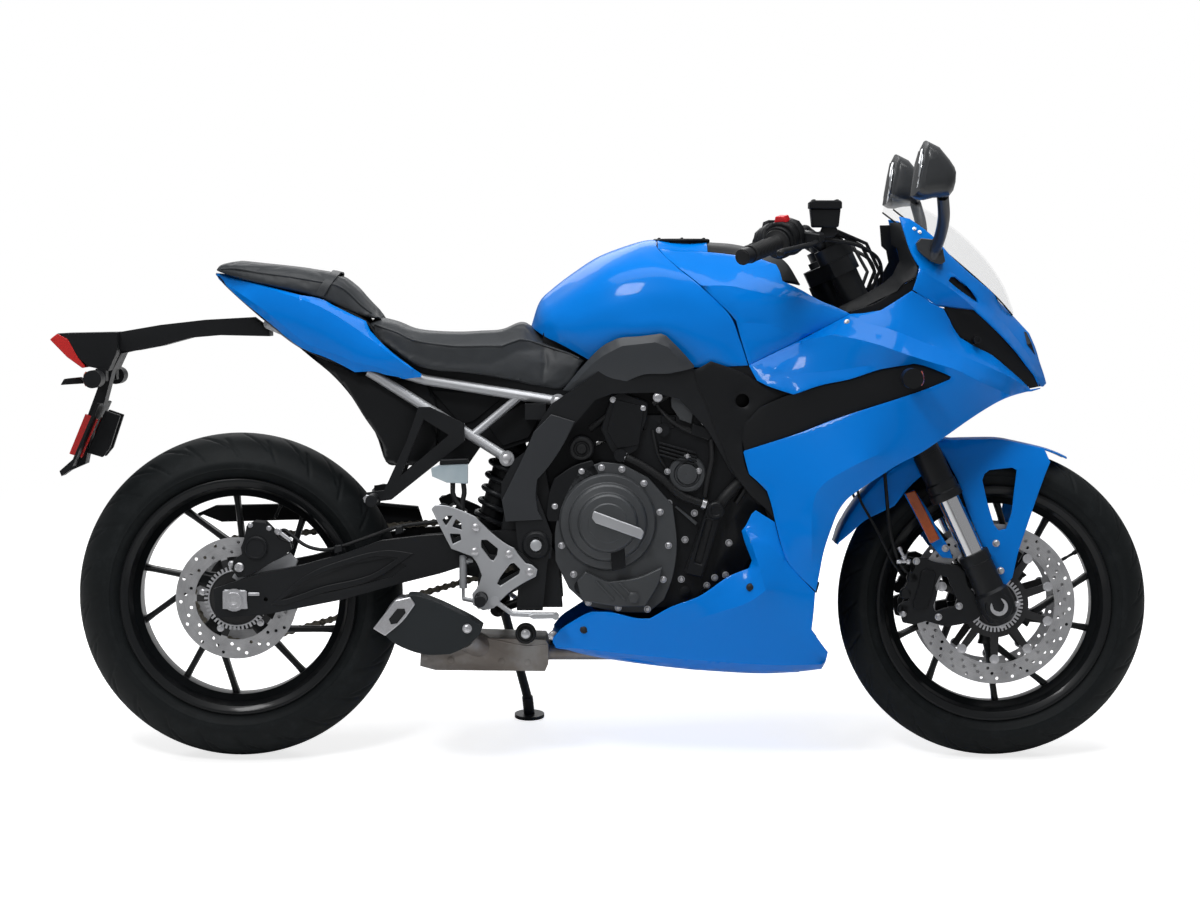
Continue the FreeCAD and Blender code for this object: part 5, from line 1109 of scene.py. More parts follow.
# ---------------------------------------------------------------- rear shock
# A gas damper between two spring seats, inside a coil spring that is wound from round steel wire
# and coated grey.  The coil's tree winds it from its radius, wire, length and turns.
spring_tree, value, taken = growing_tree("coil spring", {"Radius": 0.03, "Wire": 0.005, "Length": 0.18,
                                                         "Turns": 7.0})
coil = value.node("GeometryNodeCurveSpiral", None,
                  {"Resolution": 24, "Rotations": taken["Turns"], "Start Radius": taken["Radius"],
                   "End Radius": taken["Radius"], "Height": taken["Length"]})
wire = value.node("GeometryNodeCurvePrimitiveCircle", None, {"Resolution": 10, "Radius": taken["Wire"]})
wound = value.node("GeometryNodeCurveToMesh", None, {"Curve": coil, "Profile Curve": wire,
                                                     "Fill Caps": True})
facing = value.node("GeometryNodeInputNamedAttribute", {"data_type": "FLOAT_VECTOR"}, {"Name": "facing"})
turn = value.node("FunctionNodeAlignRotationToVector", {"axis": "Z"}, {"Vector": facing})
placed = value.node("GeometryNodeInstanceOnPoints", None,
                    {"Points": taken["Geometry"], "Instance": wound, "Rotation": turn})
close_tree(spring_tree, placed, taken["Material"])

shock_low = bike(462, 0, 364)
shock_way = (bike(548, 0, 672) - shock_low).normalized()
damper = [(0, 22), (22, 22), (22, 56), (36, 58), (37, 60), (37, 64), (26, 66), (26, 238), (37, 240),
          (37, 250), (28, 253), (24, 262), (24, 312), (20, 316), (0, 316)]
fit(lathe("damper", damper, shock_low, shock_way, 40, 30), "chassis", satin_metal, "rear_shock")
spring = sow("coil_spring", [shock_low + shock_way * 0.067], [shock_way], spring_tree,
             {"Radius": 0.0325, "Wire": 0.005, "Length": 0.168, "Turns": 6.5, "Material": frame_grey})
fit(spring, "chassis", frame_grey)

# ---------------------------------------------------------------- engine
# A cast alloy twin in black enamel.  The clutch cover on the right has stepped rings and a raised bar
# whose bright silver is a painted highlight, black moulded covers behind and above it, and plated bolts
# all round.
COVER_EDGE = [(677, 304), (734, 293), (791, 291), (822, 316), (838, 360), (846, 421), (838, 497),
              (792, 549), (741, 576), (702, 579), (659, 564), (630, 509), (614, 452), (614, 391),
              (640, 338)]
COVER_BOLTS = [(677, 311), (734, 301), (790, 298), (820, 355), (830, 420), (814, 484), (783, 539),
               (741, 566), (702, 569), (649, 365), (626, 420)]
CASE_BOLTS = [(862, 430), (880, 481), (855, 354), (919, 357), (940, 362), (946, 424), (904, 342),
              (831, 500)]
GEARBOX_COVER = [(596, 478), (602, 520), (612, 548), (651, 573), (684, 583), (697, 560), (695, 530),
                 (678, 508), (662, 466), (600, 466)]
BREATHER_BOX = [(722, 707), (741, 713), (791, 693), (788, 660), (781, 642), (772, 604), (756, 592),
                (730, 592), (722, 600), (701, 642)]
CYLINDER_BOLTS = [(812, 640), (828, 561), (888, 562), (898, 655), (866, 590)]
CLUTCH_AT = (714, 465)

engine_black = two_tone("engine enamel", "black_metal", (0.0045, 0.005, 0.006), (0.011, 0.012, 0.014),
                        haze=(16, 3), rough=(0.36, 0.2), grain=(420, 4, 0.6), relief=(0.25, 0.0005),
                        Specular_IOR_Level=0.14, Coat_Weight=0.16, Coat_Roughness=0.14)
cover_enamel = two_tone("cover enamel", "black_metal", (0.045, 0.048, 0.052), (0.07, 0.075, 0.08),
                        haze=(18, 3), rough=(0.34, 0.18), grain=(600, 4, 0.6), relief=(0.2, 0.0004),
                        Metallic=0.3, Specular_IOR_Level=0.5)
HOSE_STEP = 7.0
hose_rubber = two_tone("hose rubber", "rubber", (0.006, 0.006, 0.007), (0.013, 0.014, 0.015),
                       haze=(120, 3), rough=(0.45, 0.2), relief=(0.1, 0.0003), Specular_IOR_Level=0.3)


def tube(name, points, radius, sides=12):
    """A round hose, cable or bead along a smooth line through (x, z, y) points, closed at its ends."""
    line = [bike(p.x, p.z, p.y) for p in through(points, HOSE_STEP, False)]
    side = None
    places, faces = [], []
    for k, here in enumerate(line):
        way = (line[min(k + 1, len(line) - 1)] - line[max(k - 1, 0)]).normalized()
        side = way.orthogonal().normalized() if side is None else (side - way * side.dot(way)).normalized()
        other = way.cross(side)
        places += [here + (side * math.cos(a) + other * math.sin(a)) * radius / 1000
                   for a in (2 * math.pi * i / sides for i in range(sides))]
    for k in range(len(line) - 1):
        for i in range(sides):
            j = (i + 1) % sides
            faces.append((k * sides + i, k * sides + j, (k + 1) * sides + j, (k + 1) * sides + i))
    faces.append(tuple(range(sides)))
    faces.append(tuple((len(line) - 1) * sides + i for i in range(sides)))
    return piece(name, places, faces, 50)


softened("engine_block", "chassis", engine_black, 2.5, reach=168)
INNER = [(566, 700), (640, 742), (900, 742), (1000, 706), (1050, 600), (1000, 560), (800, 592), (757, 602),
         (750, 616), (693, 616), (684, 582), (655, 562), (622, 500), (622, 300), (556, 300), (560, 400),
         (592, 470), (580, 540), (600, 610), (580, 660)]
fit(slab("engine_rear_cover", INNER, -92, 92, 5), "chassis", engine_black)
fit(slab("clutch_cover_flange", COVER_EDGE, -138, -160, 2.5), "chassis", cover_enamel)
steps = [(0, 150), (93, 150), (93, 164), (89, 170), (76, 171), (74, 174), (73, 181), (69, 184), (58, 186),
         (56, 189), (55, 196), (51, 199), (38, 200), (36, 202), (0, 202)]
clutch = lathe("clutch_cover_dome", rounded(steps, 2, steps=3), bike(CLUTCH_AT[0], 0, CLUTCH_AT[1]), -LEFT,
               120)
fit(clutch, "chassis", cover_enamel)
sump_side = [(655, 352), (664, 316), (735, 304), (786, 304), (812, 350), (818, 380), (770, 360), (714, 352),
             (672, 372)]
fit(slab("clutch_cover_foot", sump_side, -158, -176, 5), "chassis", cover_enamel)
for k in range(3):
    shift = 22 * k
    rib = [(690 + shift, 352 - k * 2), (694 + shift, 354 - k * 2), (728 + shift, 318), (724 + shift, 316)]
    fit(slab("cover_rib_%d" % k, rib, -175, -179, 1.2), "chassis", cover_enamel)
# The cover's raised bar is coloured bright silver as a painted highlight.
bar = [(687, 489), (776, 456), (783, 449), (778, 434), (691, 465), (683, 475)]
fit(slab("clutch_cover_highlight_bar", bar, -200, -205, 2.5), "chassis", silver_alloy)
notch = [(717, 447), (745, 436), (748, 380), (722, 372)]
fit(slab("clutch_cover_notch", notch, -180, -187, 2), "chassis", engine_black)
fit(slab("gearbox_cover_right", GEARBOX_COVER, -146, -160, 3), "chassis", plastic)
fit(slab("breather_box", BREATHER_BOX, -126, -152, 5), "chassis", plastic)
fit(slab("breather_lid", [(728, 700), (784, 685), (774, 612), (732, 604), (712, 640)], -151, -154, 1.5),
    "chassis", plastic)
plug = [(0, 120), (24, 120), (24, 146), (21, 150), (16, 150), (14, 146), (11, 146), (9, 152), (0, 152)]
fit(lathe("frame_plug", rounded(plug, 1.5), bike(664, 0, 604), -LEFT, 40), "chassis", hose_rubber)
bolts("clutch_cover_bolts", [bike(x, -160, z) for x, z in COVER_BOLTS], -LEFT, 5.2, 5, "chassis", sides=12)
bolts("engine_case_bolts", [bike(x, -141, z) for x, z in CASE_BOLTS], -LEFT, 5.2, 7, "chassis", sides=12)
bolts("gearbox_cover_bolts", [bike(664, -160, 562), bike(613, -160, 495), bike(724, -152, 698),
                              bike(781, -152, 682)], -LEFT, 4.6, 3, "chassis", sides=12)
bolts("oil_plug", [bike(763, -176, 322)], -LEFT, 11, 5, "chassis", cover_enamel)
bolts("oil_hollow", [bike(664, -160, 341), bike(863, -141, 330)], -LEFT, 11, 4, "chassis", engine_black, 20)

COOLANT = [(738, 591, 150), (745, 589, 152), (785, 569, 154), (817, 547, 156), (852, 516, 156),
           (878, 505, 154), (905, 496, 152)]
line = [bike(p.x, -p.z, p.y) for p in through(COOLANT, 1.6, False)]
fit(tube("coolant_hose_form", [(x, z, -y) for x, z, y in COOLANT], 7.6, 14), "chassis", hose_rubber,
    "coolant_hose")
rib_at = [line[k] for k in range(8, len(line) - 8, 3)]
rib_way = [(line[k + 1] - line[k - 1]).normalized() for k in range(8, len(line) - 8, 3)]
bolts("coolant_hose_ribs", rib_at, rib_way, 6.6, 1.2, "chassis", hose_rubber, 18)
for label, k in (("a", 5), ("b", len(line) - 6)):
    band = [(8.8, -4), (9.8, -4), (9.8, 4), (8.8, 4)]
    fit(lathe("hose_clamp_" + label, band, line[k], line[k + 1] - line[k - 1], 24), "chassis", bright_steel)
fit(slab("pump_cover", [(905, 497), (935, 490), (894, 358), (862, 366)], -150, -166, 3,
         [[(902, 470), (914, 468), (892, 384), (880, 388)]]), "chassis", engine_black)
cap = [(0, 150), (17, 150), (17, 170), (14, 173), (10, 173), (9, 171), (0, 171)]
fit(lathe("pump_cap", rounded(cap, 1.5), bike(920, 0, 487), -LEFT, 32), "chassis", engine_black)
for side, name in SIDES:
    for k in range(4):
        drop = 7.5 * k
        fin = [(812, 618 - drop), (884, 598 - drop), (884, 594 - drop), (812, 614 - drop)]
        fit(slab("cylinder_fin_%d_%s" % (k, name), fin, side * 139, side * 154, 1), "chassis", engine_black)
    head_cap = [(0, 139), (36, 139), (36, 148), (33, 151), (26, 151), (24, 147), (21, 147), (19, 153),
                (0, 153)]
    fit(lathe("head_cap_" + name, rounded(head_cap, 1.2), bike(866, 0, 556), LEFT * side, 40), "chassis",
        cover_enamel)
    coil = [(834, 702), (846, 718), (866, 716), (880, 690), (874, 652), (852, 660), (836, 684)]
    fit(slab("coil_cover_" + name, coil, side * 118, side * 150, 4), "chassis", cover_enamel)
    injector = [(876, 654), (908, 644), (914, 626), (906, 620), (872, 632)]
    fit(slab("injector_block_" + name, injector, side * 118, side * 154, 3), "chassis", plastic)
    spots = [bike(x, side * 150, z) for x, z in CYLINDER_BOLTS]
    bolts("cylinder_bolts_" + name, spots, LEFT * side, 4.6, 5, "chassis", sides=12)
fit(slab("case_rib", [(842, 493), (846, 495), (886, 463), (882, 458)], -139, -152, 1), "chassis",
    cover_enamel)
INTAKE_PARTS = [(925, 668, 46, 40), (955, 632, 40, 34), (960, 560, 44, 36), (830, 655, 30, 26),
                (985, 615, 36, 44), (905, 545, 40, 26)]
for k, (x, z, w, h) in enumerate(INTAKE_PARTS):
    block = [(x - w / 2, z + h / 2 - 4), (x - w / 2 + 5, z + h / 2), (x + w / 2, z + h / 2 - 2),
             (x + w / 2 - 3, z - h / 2), (x - w / 2 + 2, z - h / 2)]
    fit(slab("intake_part_%d" % k, block, -118, -142 + 4 * (k % 3), 3), "chassis",
        engine_black if k % 2 else plastic)
ENGINE_LEADS = [
    (5.5, [(912, 622, -148), (913, 585, -152), (905, 545, -150), (900, 512, -146)]),
    (6, [(800, 690, -140), (860, 724, -140), (930, 706, -146), (960, 640, -140)]),
    (5, [(940, 620, -148), (975, 590, -150), (985, 540, -146), (960, 500, -146)]),
    (6, [(680, 640, -120), (720, 670, -122), (800, 660, -126), (850, 640, -130)]),
    (3.5, [(800, 700, -134), (822, 672, -144), (852, 648, -146), (874, 640, -146)]),
    (3.5, [(806, 690, -138), (830, 662, -148), (856, 644, -150), (874, 636, -150)]),
    (11, [(920, 487, -152), (938, 512, -156), (962, 536, -150), (990, 556, -140)]),
    (3.5, [(800, 640, -142), (806, 610, -146), (812, 590, -146), (830, 560, -142)])]
for k, (radius, path) in enumerate(ENGINE_LEADS):
    fit(tube("engine_lead_%d" % k, path, radius), "chassis", hose_rubber)
softened("engine_covers", "chassis", cover_enamel, 2.0, "engine_covers_left",
         lambda at: (at - rear_axle).dot(LEFT) > 0)
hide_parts("engine_covers")

# The generator's and the sprocket's covers on the left, each with its ring of screws.
GENERATOR_X, GENERATOR_Z, GENERATOR_R = 800, 430, 72
spots = [bike(GENERATOR_X + GENERATOR_R * math.cos(a), 168, GENERATOR_Z + GENERATOR_R * math.sin(a))
         for a in (math.pi * k / 4.5 for k in range(9))]
bolts("generator_screws", spots, LEFT, 5, 4, "chassis", sides=12)
case_left = [bike(x, 141, z) for x, z in CASE_BOLTS
             if math.hypot(x - GENERATOR_X, z - GENERATOR_Z) > GENERATOR_R + 13]
bolts("engine_case_bolts_left", case_left, LEFT, 5.2, 7, "chassis", sides=12)
spots = [bike(x, 172, z) for x, z in ((618, 394), (668, 388), (620, 470), (655, 498), (712, 492))]
bolts("sprocket_cover_screws", spots, LEFT, 5, 4, "chassis", sides=12)

# ---------------------------------------------------------------- radiator
# A finned alloy core between tanks, behind the front wheel.  The rows of fins are fine enough to be
# relief in its black coating; its colour runs in bands of painted shade between the fins and painted
# light on them.
fins, value = make_material("radiator fins", "black_metal", Specular_IOR_Level=0.3)
spot = value.node("ShaderNodeTexCoord", out=3)
rows = value.node("ShaderNodeTexWave", {"bands_direction": "Z"}, {"Vector": spot, "Scale": 90.0})
# Painted shade and light: the wave bands darken the colour between the fins and lighten it on them.
feed(fins, Base_Color=rows.mix((0.004, 0.004, 0.005, 1), (0.03, 0.032, 0.035, 1)),
     Roughness=0.5 + 0.1 * rows, Normal=rows.bump(0.8, 0.002))
softened("radiator", "chassis", fins, 1.5)

# ---------------------------------------------------------------- exhaust
# Stainless header pipes and collector box, tinted by heat, and a short black silencer with a
# chamfered body and a bright tip.
heated, value = make_material("heat-tinted stainless", "stainless", Metallic=0.55)
stain = value.noise(9, 4, 0.65)
brush = value.noise(500, 2)
feed(heated, Base_Color=stain.smooth(0.35, 0.65).mix((0.20, 0.175, 0.155, 1), (0.30, 0.29, 0.28, 1)),
     Roughness=0.32 + 0.2 * brush, Normal=brush.bump(0.08, 0.0003))
ceramic = two_tone("black ceramic coat", "black_metal", (0.009, 0.012, 0.014), (0.014, 0.018, 0.021),
                   haze=(14, 3), rough=(0.38, 0.12), grain=(1100, 2), relief=(0.1, 0.0002),
                   Specular_IOR_Level=0.4)
softened("exhaust", "chassis", heated, 8.0)
SILENCER = [(287, 262), (309, 292), (336, 331), (350, 331), (392, 317), (426, 301), (459, 284), (477, 271),
            (472, 257), (459, 244), (436, 228), (415, 219), (373, 218), (340, 226), (306, 243)]
can = slab("silencer_body", SILENCER, -150, -235, 13)
can.modifiers["edge"].segments = 4
fit(can, "chassis", ceramic, "silencer")
outlet_way = (AHEAD * -0.78 + UP * 0.50 - LEFT * 0.36).normalized()
outlet = [(42, -16), (42, 3), (39, 6), (35, 5), (33, 0), (32, -30), (0, -34), (0, -38), (36, -38),
          (37, -16)]
fit(lathe("silencer_outlet", rounded(outlet, 1.5), bike(311, -193, 291), outlet_way, 48), "chassis",
    bright_steel)
MOUTH = [(270, 268), (312, 322), (340, 328), (350, 314), (326, 282), (293, 254)]
# The steel mouth plate is whole; the black oval laid on its face is painted shade standing in for the open
# bore.
bore_shade_outline = [(300, 286), (316, 306), (330, 306), (332, 298), (316, 278), (304, 276)]
fit(slab("silencer_mouth", MOUTH, -231, -238, 2), "chassis", bright_steel)
fit(slab("silencer_bore_shade", bore_shade_outline, -237, -239.5, 1), "chassis", hose_rubber)
SEAM = [(398, 241, -128), (458, 243, -128), (507, 234, -128), (555, 225, -128), (598, 226, -128)]
fit(tube("collector_seam", SEAM, 1.6, 8), "chassis", heated)
bolts("collector_rivets", [bike(x, -128, z) for x, z in ((364, 203), (413, 198), (511, 195), (561, 193))],
      -LEFT, 6, 1.5, "chassis", heated, 16)
mount = [(0, 120), (20, 120), (20, 136), (18, 140), (14, 140), (13, 138), (12.5, 143), (8, 144), (0, 144)]
fit(lathe("exhaust_mount", rounded(mount, 1.2), bike(557, 0, 249), -LEFT, 36), "chassis", hose_rubber)
bolts("exhaust_bolts", [bike(557, -144, 249), bike(609, -130, 245), bike(448, -237, 268)], -LEFT, 7, 4,
      "chassis", sides=12)

# ---------------------------------------------------------------- cowl joint strips with painted shade
# Black strips behind the joints between the side and belly cowls, and behind the joint between the side
# cowls and the nose.  They close the gaps, and their black is painted shade in the joints.
JOINT_SHADE_STRIP = [(1112, 330), (1078, 350), (1050, 380), (1036, 412), (1024, 455), (1008, 505), (985, 545),
         (1000, 560), (1028, 530), (1040, 500), (1050, 455), (1060, 418), (1072, 392), (1100, 365),
         (1118, 350)]
UPPER_JOINT_SHADE_STRIP = [(1165, 850), (1235, 856), (1300, 896), (1312, 936), (1268, 912), (1228, 884), (1180, 868)]
for side, name in SIDES:
    # Painted shade: the strips are black so that the joints read dark.
    fit(slab("cowl_joint_shade_" + name, JOINT_SHADE_STRIP, side * 172, side * 177, 1), "chassis", plastic)
    fit(slab("upper_joint_shade_" + name, UPPER_JOINT_SHADE_STRIP, side * 150, side * 155, 1), "chassis", plastic)

# ---------------------------------------------------------------- front fender
# A hoop over the front tyre with a rear blade, and side legs with a window that bolt to the fork
# feet and carry the stay of the side reflector.  Painted like the cowls.
FENDER_LEG = [
    (1365, 589, 76), (1352, 608, 74), (1346, 616, 70), (1390, 618, 62), (1428, 619, 60),
    (1473, 619, 60), (1507, 613, 62), (1559, 602, 66), (1570, 576, 74), (1556, 541, 77),
    (1541, 499, 79), (1525, 452, 80), (1509, 404, 81), (1497, 352, 81), (1484, 337, 81),
    (1474, 335, 81), (1465, 356, 81), (1440, 412, 81), (1409, 485, 80), (1390, 541, 79), (1378, 564, 78)]
FENDER_WINDOW = [
    (1442, 553, 80), (1452, 561, 80), (1496, 566, 80), (1505, 561, 80), (1499, 516, 80),
    (1494, 476, 80), (1484, 447, 80), (1470, 444, 80), (1461, 455, 80), (1449, 495, 80), (1438, 541, 80)]
FENDER_STAY = [
    (1287, 514, 80), (1307, 522, 80), (1332, 485, 80), (1355, 441, 80), (1374, 410, 80),
    (1382, 389, 80), (1361, 391, 80), (1343, 412, 80), (1316, 460, 80)]
FENDER_BLADE = [
    (1158, 416, 70), (1167, 444, 72), (1180, 467, 72), (1197, 492, 72), (1219, 519, 72),
    (1250, 550, 72), (1279, 572, 72), (1307, 589, 72), (1346, 616, 72), (1365, 589, 76),
    (1336, 562, 76), (1297, 527, 76), (1269, 491, 76), (1240, 477, 76), (1211, 462, 76), (1182, 437, 76)]
HOOP = [(1158, 416, 70), (1180, 467, 72), (1219, 519, 72), (1279, 572, 72), (1346, 616, 71),
        (1390, 618, 62), (1428, 619, 60), (1473, 619, 60), (1507, 613, 62), (1559, 601, 62),
        (1586, 592, 50), (1608, 582, 34)]

arches = [[(x, z, y), (x + (x - 1465) * 0.008, z + 1, y * 0.6), (x + (x - 1465) * 0.01, z + 2, 0)]
          for x, z, y in HOOP]
hoop = skin("fender_hoop", arches, core=bike(1465, 0, 300))
fit(thicken(hoop), "steering", paint, "front_fender")
for side, name in SIDES:
    for part, outline, holes in (("leg", FENDER_LEG, [FENDER_WINDOW]), ("stay", FENDER_STAY, []),
                                 ("blade", FENDER_BLADE, [])):
        made = stretched("fender_" + part + "_" + name, outline, side, (), holes, 0.004)
        fit(thicken(made, 0.0045), "steering", paint)
    bolts("fender_bolts_" + name, [bike(1465, side * 82, 419), bike(1474, side * 82, 366),
                                   bike(1367, side * 81, 409)], LEFT * side, 5.5, 4, "steering", sides=12)

# ---------------------------------------------------------------- fuel tank
# A pressed steel tank, painted, with a crease on each shoulder; moulded painted covers wrap its front
# and a black top piece joins them.  Ribbed black knee panels close its lower edge.
TANK_ROWS = [
    [(566, 837, 0), (570, 833, 34), (580, 826, 62), (596, 816, 84), (620, 805, 100), (650, 789, 110),
     (682, 771, 118)],
    [(582, 884, 0), (584, 867, 50), (598, 850, 88), (622, 838, 112), (648, 822, 126), (672, 798, 128),
     (704, 768, 126)],
    [(606, 909, 0), (610, 888, 62), (632, 877, 106), (662, 860, 134), (692, 838, 146), (712, 802, 144),
     (738, 764, 136)],
    [(652, 944, 0), (659, 927, 70), (684, 912, 126), (715, 884, 152), (745, 854, 162), (765, 822, 161),
     (785, 762, 142)],
    [(702, 975, 0), (706, 959, 76), (736, 940, 134), (775, 904, 160), (810, 864, 168), (822, 830, 167),
     (845, 760, 148)],
    [(775, 1001, 0), (764, 981, 77), (800, 952, 139), (838, 912, 164), (885, 864, 172), (895, 815, 171),
     (915, 760, 160)],
    [(811, 1006, 0), (811, 987, 76), (850, 948, 138), (888, 917, 161), (944, 862, 172), (965, 813, 171),
     (981, 764, 170)]]
TANK_COVER = [
    (813, 987, 76), (822, 975, 98), (852, 948, 138), (890, 917, 161), (920, 888, 170), (946, 863, 172),
    (958, 848, 172), (967, 814, 171), (983, 764, 170), (1032, 789, 172), (1079, 812, 173),
    (1127, 837, 172), (1175, 862, 170), (1156, 872, 164), (1118, 888, 158), (1081, 909, 150),
    (1048, 925, 138), (1044, 944, 112), (1038, 957, 96), (1021, 963, 90), (1008, 968, 86),
    (967, 974, 80), (929, 979, 77), (892, 982, 75), (854, 985, 74)]
COVER_FOLDS = [
    [(1032, 959, 97), (997, 950, 120), (968, 945, 134), (999, 928, 146), (1047, 908, 156),
     (1073, 907, 153)],
    [(897, 916, 166), (949, 915, 168), (985, 907, 168), (1023, 899, 168), (1080, 884, 166)],
    [(960, 846, 174), (1024, 841, 178), (1077, 826, 178), (1102, 825, 175)]]
DECK = [[(811, 987, 76), (811, 1001, 42), (811, 1006, 0)],
        [(854, 985, 75), (854, 1000, 42), (854, 1005, 0)],
        [(907, 981, 76), (907, 996, 42), (907, 1001, 0)], [(967, 974, 80), (965, 990, 42), (965, 996, 0)],
        [(1021, 963, 90), (1026, 974, 48), (1028, 979, 0)],
        [(1044, 944, 112), (1056, 955, 60), (1062, 962, 0)],
        [(1048, 925, 138), (1076, 922, 72), (1090, 918, 0)]]
KNEE_PANEL = [
    (628, 716, 134), (667, 764, 144), (705, 802, 152), (724, 812, 156), (733, 816, 158),
    (775, 820, 162), (815, 825, 166), (825, 821, 167), (855, 791, 168), (878, 764, 168),
    (878, 759, 167), (855, 753, 166), (827, 748, 165), (787, 747, 163), (775, 744, 162),
    (756, 736, 158), (720, 718, 150), (688, 707, 142), (661, 708, 138)]
KNEE_RIDGE = [
    (651, 733, 146), (699, 778, 161), (741, 801, 169), (804, 808, 174), (828, 799, 176), (851, 772, 172)]
FRAME_PANEL = [
    (910, 772, 168), (937, 763, 170), (975, 748, 172), (996, 735, 174), (1018, 725, 178),
    (1059, 711, 188), (1037, 700, 182), (1003, 683, 176), (979, 652, 172), (971, 624, 172),
    (971, 599, 176), (976, 571, 178), (984, 554, 180), (999, 541, 182), (1014, 525, 184),
    (1024, 499, 186), (1031, 471, 188), (1014, 491, 182), (984, 519, 174), (950, 567, 170),
    (935, 601, 168), (916, 648, 166), (901, 690, 166), (884, 726, 166), (876, 753, 166), (891, 761, 167)]
ROUND_HOLE = [(970 + 13 * math.cos(a), 697 + 13 * math.sin(a), 170)
              for a in (math.pi * k / 8 for k in range(16))]
PANEL_HOLES = [ROUND_HOLE, [(984, 664, 171), (1001, 669, 172), (988, 648, 171)],
               [(984, 640, 171), (996, 636, 171), (984, 622, 171)],
               [(1000, 656, 173), (1014, 670, 176), (1008, 648, 174)]]
CAP_PLACE = Vector((858, 0, 1006))
CAP_BEZEL_R = 55

TANK_BASE = [(590, 826), (640, 804), (700, 775), (700, 740), (600, 756), (588, 800)]
fit(slab("tank_base", TANK_BASE, -80, 80, 2), "chassis", plastic)
graphite = two_tone("graphite plastic", "black_plastic", (0.030, 0.034, 0.039), (0.040, 0.045, 0.052),
                    haze=(5, 3), rough=(0.36, 0.14), grain=(800, 2), relief=(0.12, 0.0002),
                    Specular_IOR_Level=0.45)

tank = skin("fuel_tank_shell", [row[::-1] for row in TANK_ROWS], 7, smooth=24, core=bike(800, 0, 820))
fit(thicken(tank, 0.002), "chassis", paint, "fuel_tank")
deck = skin("tank_deck", DECK[:3], 7, core=bike(860, 0, 900))
form = bmesh.new()
form.from_mesh(deck.data)
cap_middle = bike(*CAP_PLACE)
opening = [face for face in form.faces
           if math.hypot(*(face.calc_center_median() - cap_middle).cross(UP)) < (CAP_BEZEL_R - 6) / 1000]
bmesh.ops.delete(form, geom=opening, context="FACES")
form.to_mesh(deck.data)
form.free()
fit(thicken(deck, 0.002), "chassis", paint)
top_piece = skin("tank_top_piece", DECK[2:], 7, core=bike(960, 0, 800))
fit(thicken(top_piece), "chassis", plastic)
neck = [(CAP_BEZEL_R, -3.5), (CAP_BEZEL_R, -1), (CAP_BEZEL_R - 2, 1), (46, 0), (44.5, -2), (44.5, -14),
        (30, -16), (30, -45), (0, -46), (0, -48), (33, -48), (33, -18), (47, -16), (47, -4)]
fit(lathe("filler_bezel", neck, cap_middle, UP, 72), "chassis", satin_metal)
cap_bolts = [bike(CAP_PLACE.x + 50 * math.cos(a), 50 * math.sin(a), CAP_PLACE.z + 0.4)
             for a in (math.radians(30 + 60 * k) for k in range(6))]
bolts("filler_screws", cap_bolts, UP, 2.6, 2, "chassis", dark_screw, 12)

for side, name in SIDES:
    cover = thicken(stretched("tank_cover_" + name, TANK_COVER, side, COVER_FOLDS, bulge=0.02))
    knee = thicken(stretched("knee_panel_" + name, [(x, z, y + 7) for x, z, y in KNEE_PANEL], side,
                             [[(x, z, y + 7) for x, z, y in KNEE_RIDGE]], bulge=0.01))
    inner = thicken(stretched("frame_panel_" + name, FRAME_PANEL, side, (), PANEL_HOLES, 0.006))
    fit_half(cover, side, "chassis", paint, "tank_front_cover")
    fit_half(knee, side, "chassis", graphite, "trim_panels")
    fit(inner, "chassis", plastic)

# ---------------------------------------------------------------- tail
# Two painted tail shells with two creases each, that meet above the lamp.  Black moulded pieces close
# them above, below and behind the rear wheel.
TAIL_SIDE = [
    (-44, 939, 32), (-37, 940, 34), (24, 925, 72), (74, 911, 96), (124, 898, 112), (166, 890, 118),
    (191, 877, 119), (221, 862, 119), (251, 848, 119), (259, 830, 122), (288, 800, 129),
    (317, 776, 134), (339, 760, 136), (358, 746, 136), (357, 741, 135), (324, 737, 130),
    (313, 741, 130), (290, 745, 129), (269, 751, 128), (230, 750, 122), (204, 764, 118),
    (172, 779, 116), (141, 790, 112), (118, 802, 109), (85, 827, 104), (49, 857, 96), (12, 886, 82),
    (-19, 913, 62), (-38, 928, 40)]
TAIL_FOLDS = [
    [(-39, 937, 38), (45, 916, 98), (105, 897, 122), (163, 876, 132), (211, 849, 133), (259, 815, 135),
     (307, 779, 142), (340, 756, 140)],
    [(-24, 921, 57), (15, 896, 93), (66, 861, 111), (105, 829, 118), (135, 806, 121), (182, 788, 126),
     (230, 770, 131), (267, 761, 134), (317, 748, 135)]]
UNDERTAIL = [
    (122, 796, 88), (141, 780, 88), (180, 748, 88), (209, 719, 88), (222, 701, 88), (247, 661, 88),
    (266, 634, 88), (280, 612, 88), (287, 577, 88), (314, 570, 88), (363, 576, 88), (386, 620, 88),
    (384, 688, 88), (363, 736, 88), (322, 736, 88), (287, 746, 88), (228, 751, 88), (170, 780, 88)]
TAIL_TOP = [[(-44, 939, 32), (-46, 940, 16), (-47, 941, 0)], [(24, 925, 72), (24, 930, 36), (24, 932, 0)],
            [(124, 898, 112), (124, 906, 56), (124, 909, 0)],
            [(191, 877, 119), (191, 884, 60), (191, 886, 0)],
            [(251, 848, 119), (251, 853, 60), (251, 855, 0)],
            [(288, 800, 129), (285, 806, 60), (284, 808, 0)],
            [(339, 760, 136), (336, 764, 60), (335, 766, 0)]]
TAIL_UNDER = [[(-44, 938, 32), (-46, 937, 16), (-47, 937, 0)],
              [(-19, 913, 62), (-21, 910, 30), (-22, 909, 0)],
              [(49, 857, 96), (46, 852, 50), (45, 851, 0)],
              [(118, 802, 109), (116, 797, 50), (116, 796, 0)],
              [(204, 764, 118), (203, 757, 60), (203, 755, 0)],
              [(313, 741, 130), (313, 734, 60), (313, 732, 0)]]
fit(thicken(skin("tail_top", TAIL_TOP, 5, core=bike(120, 0, 700))), "chassis", plastic)
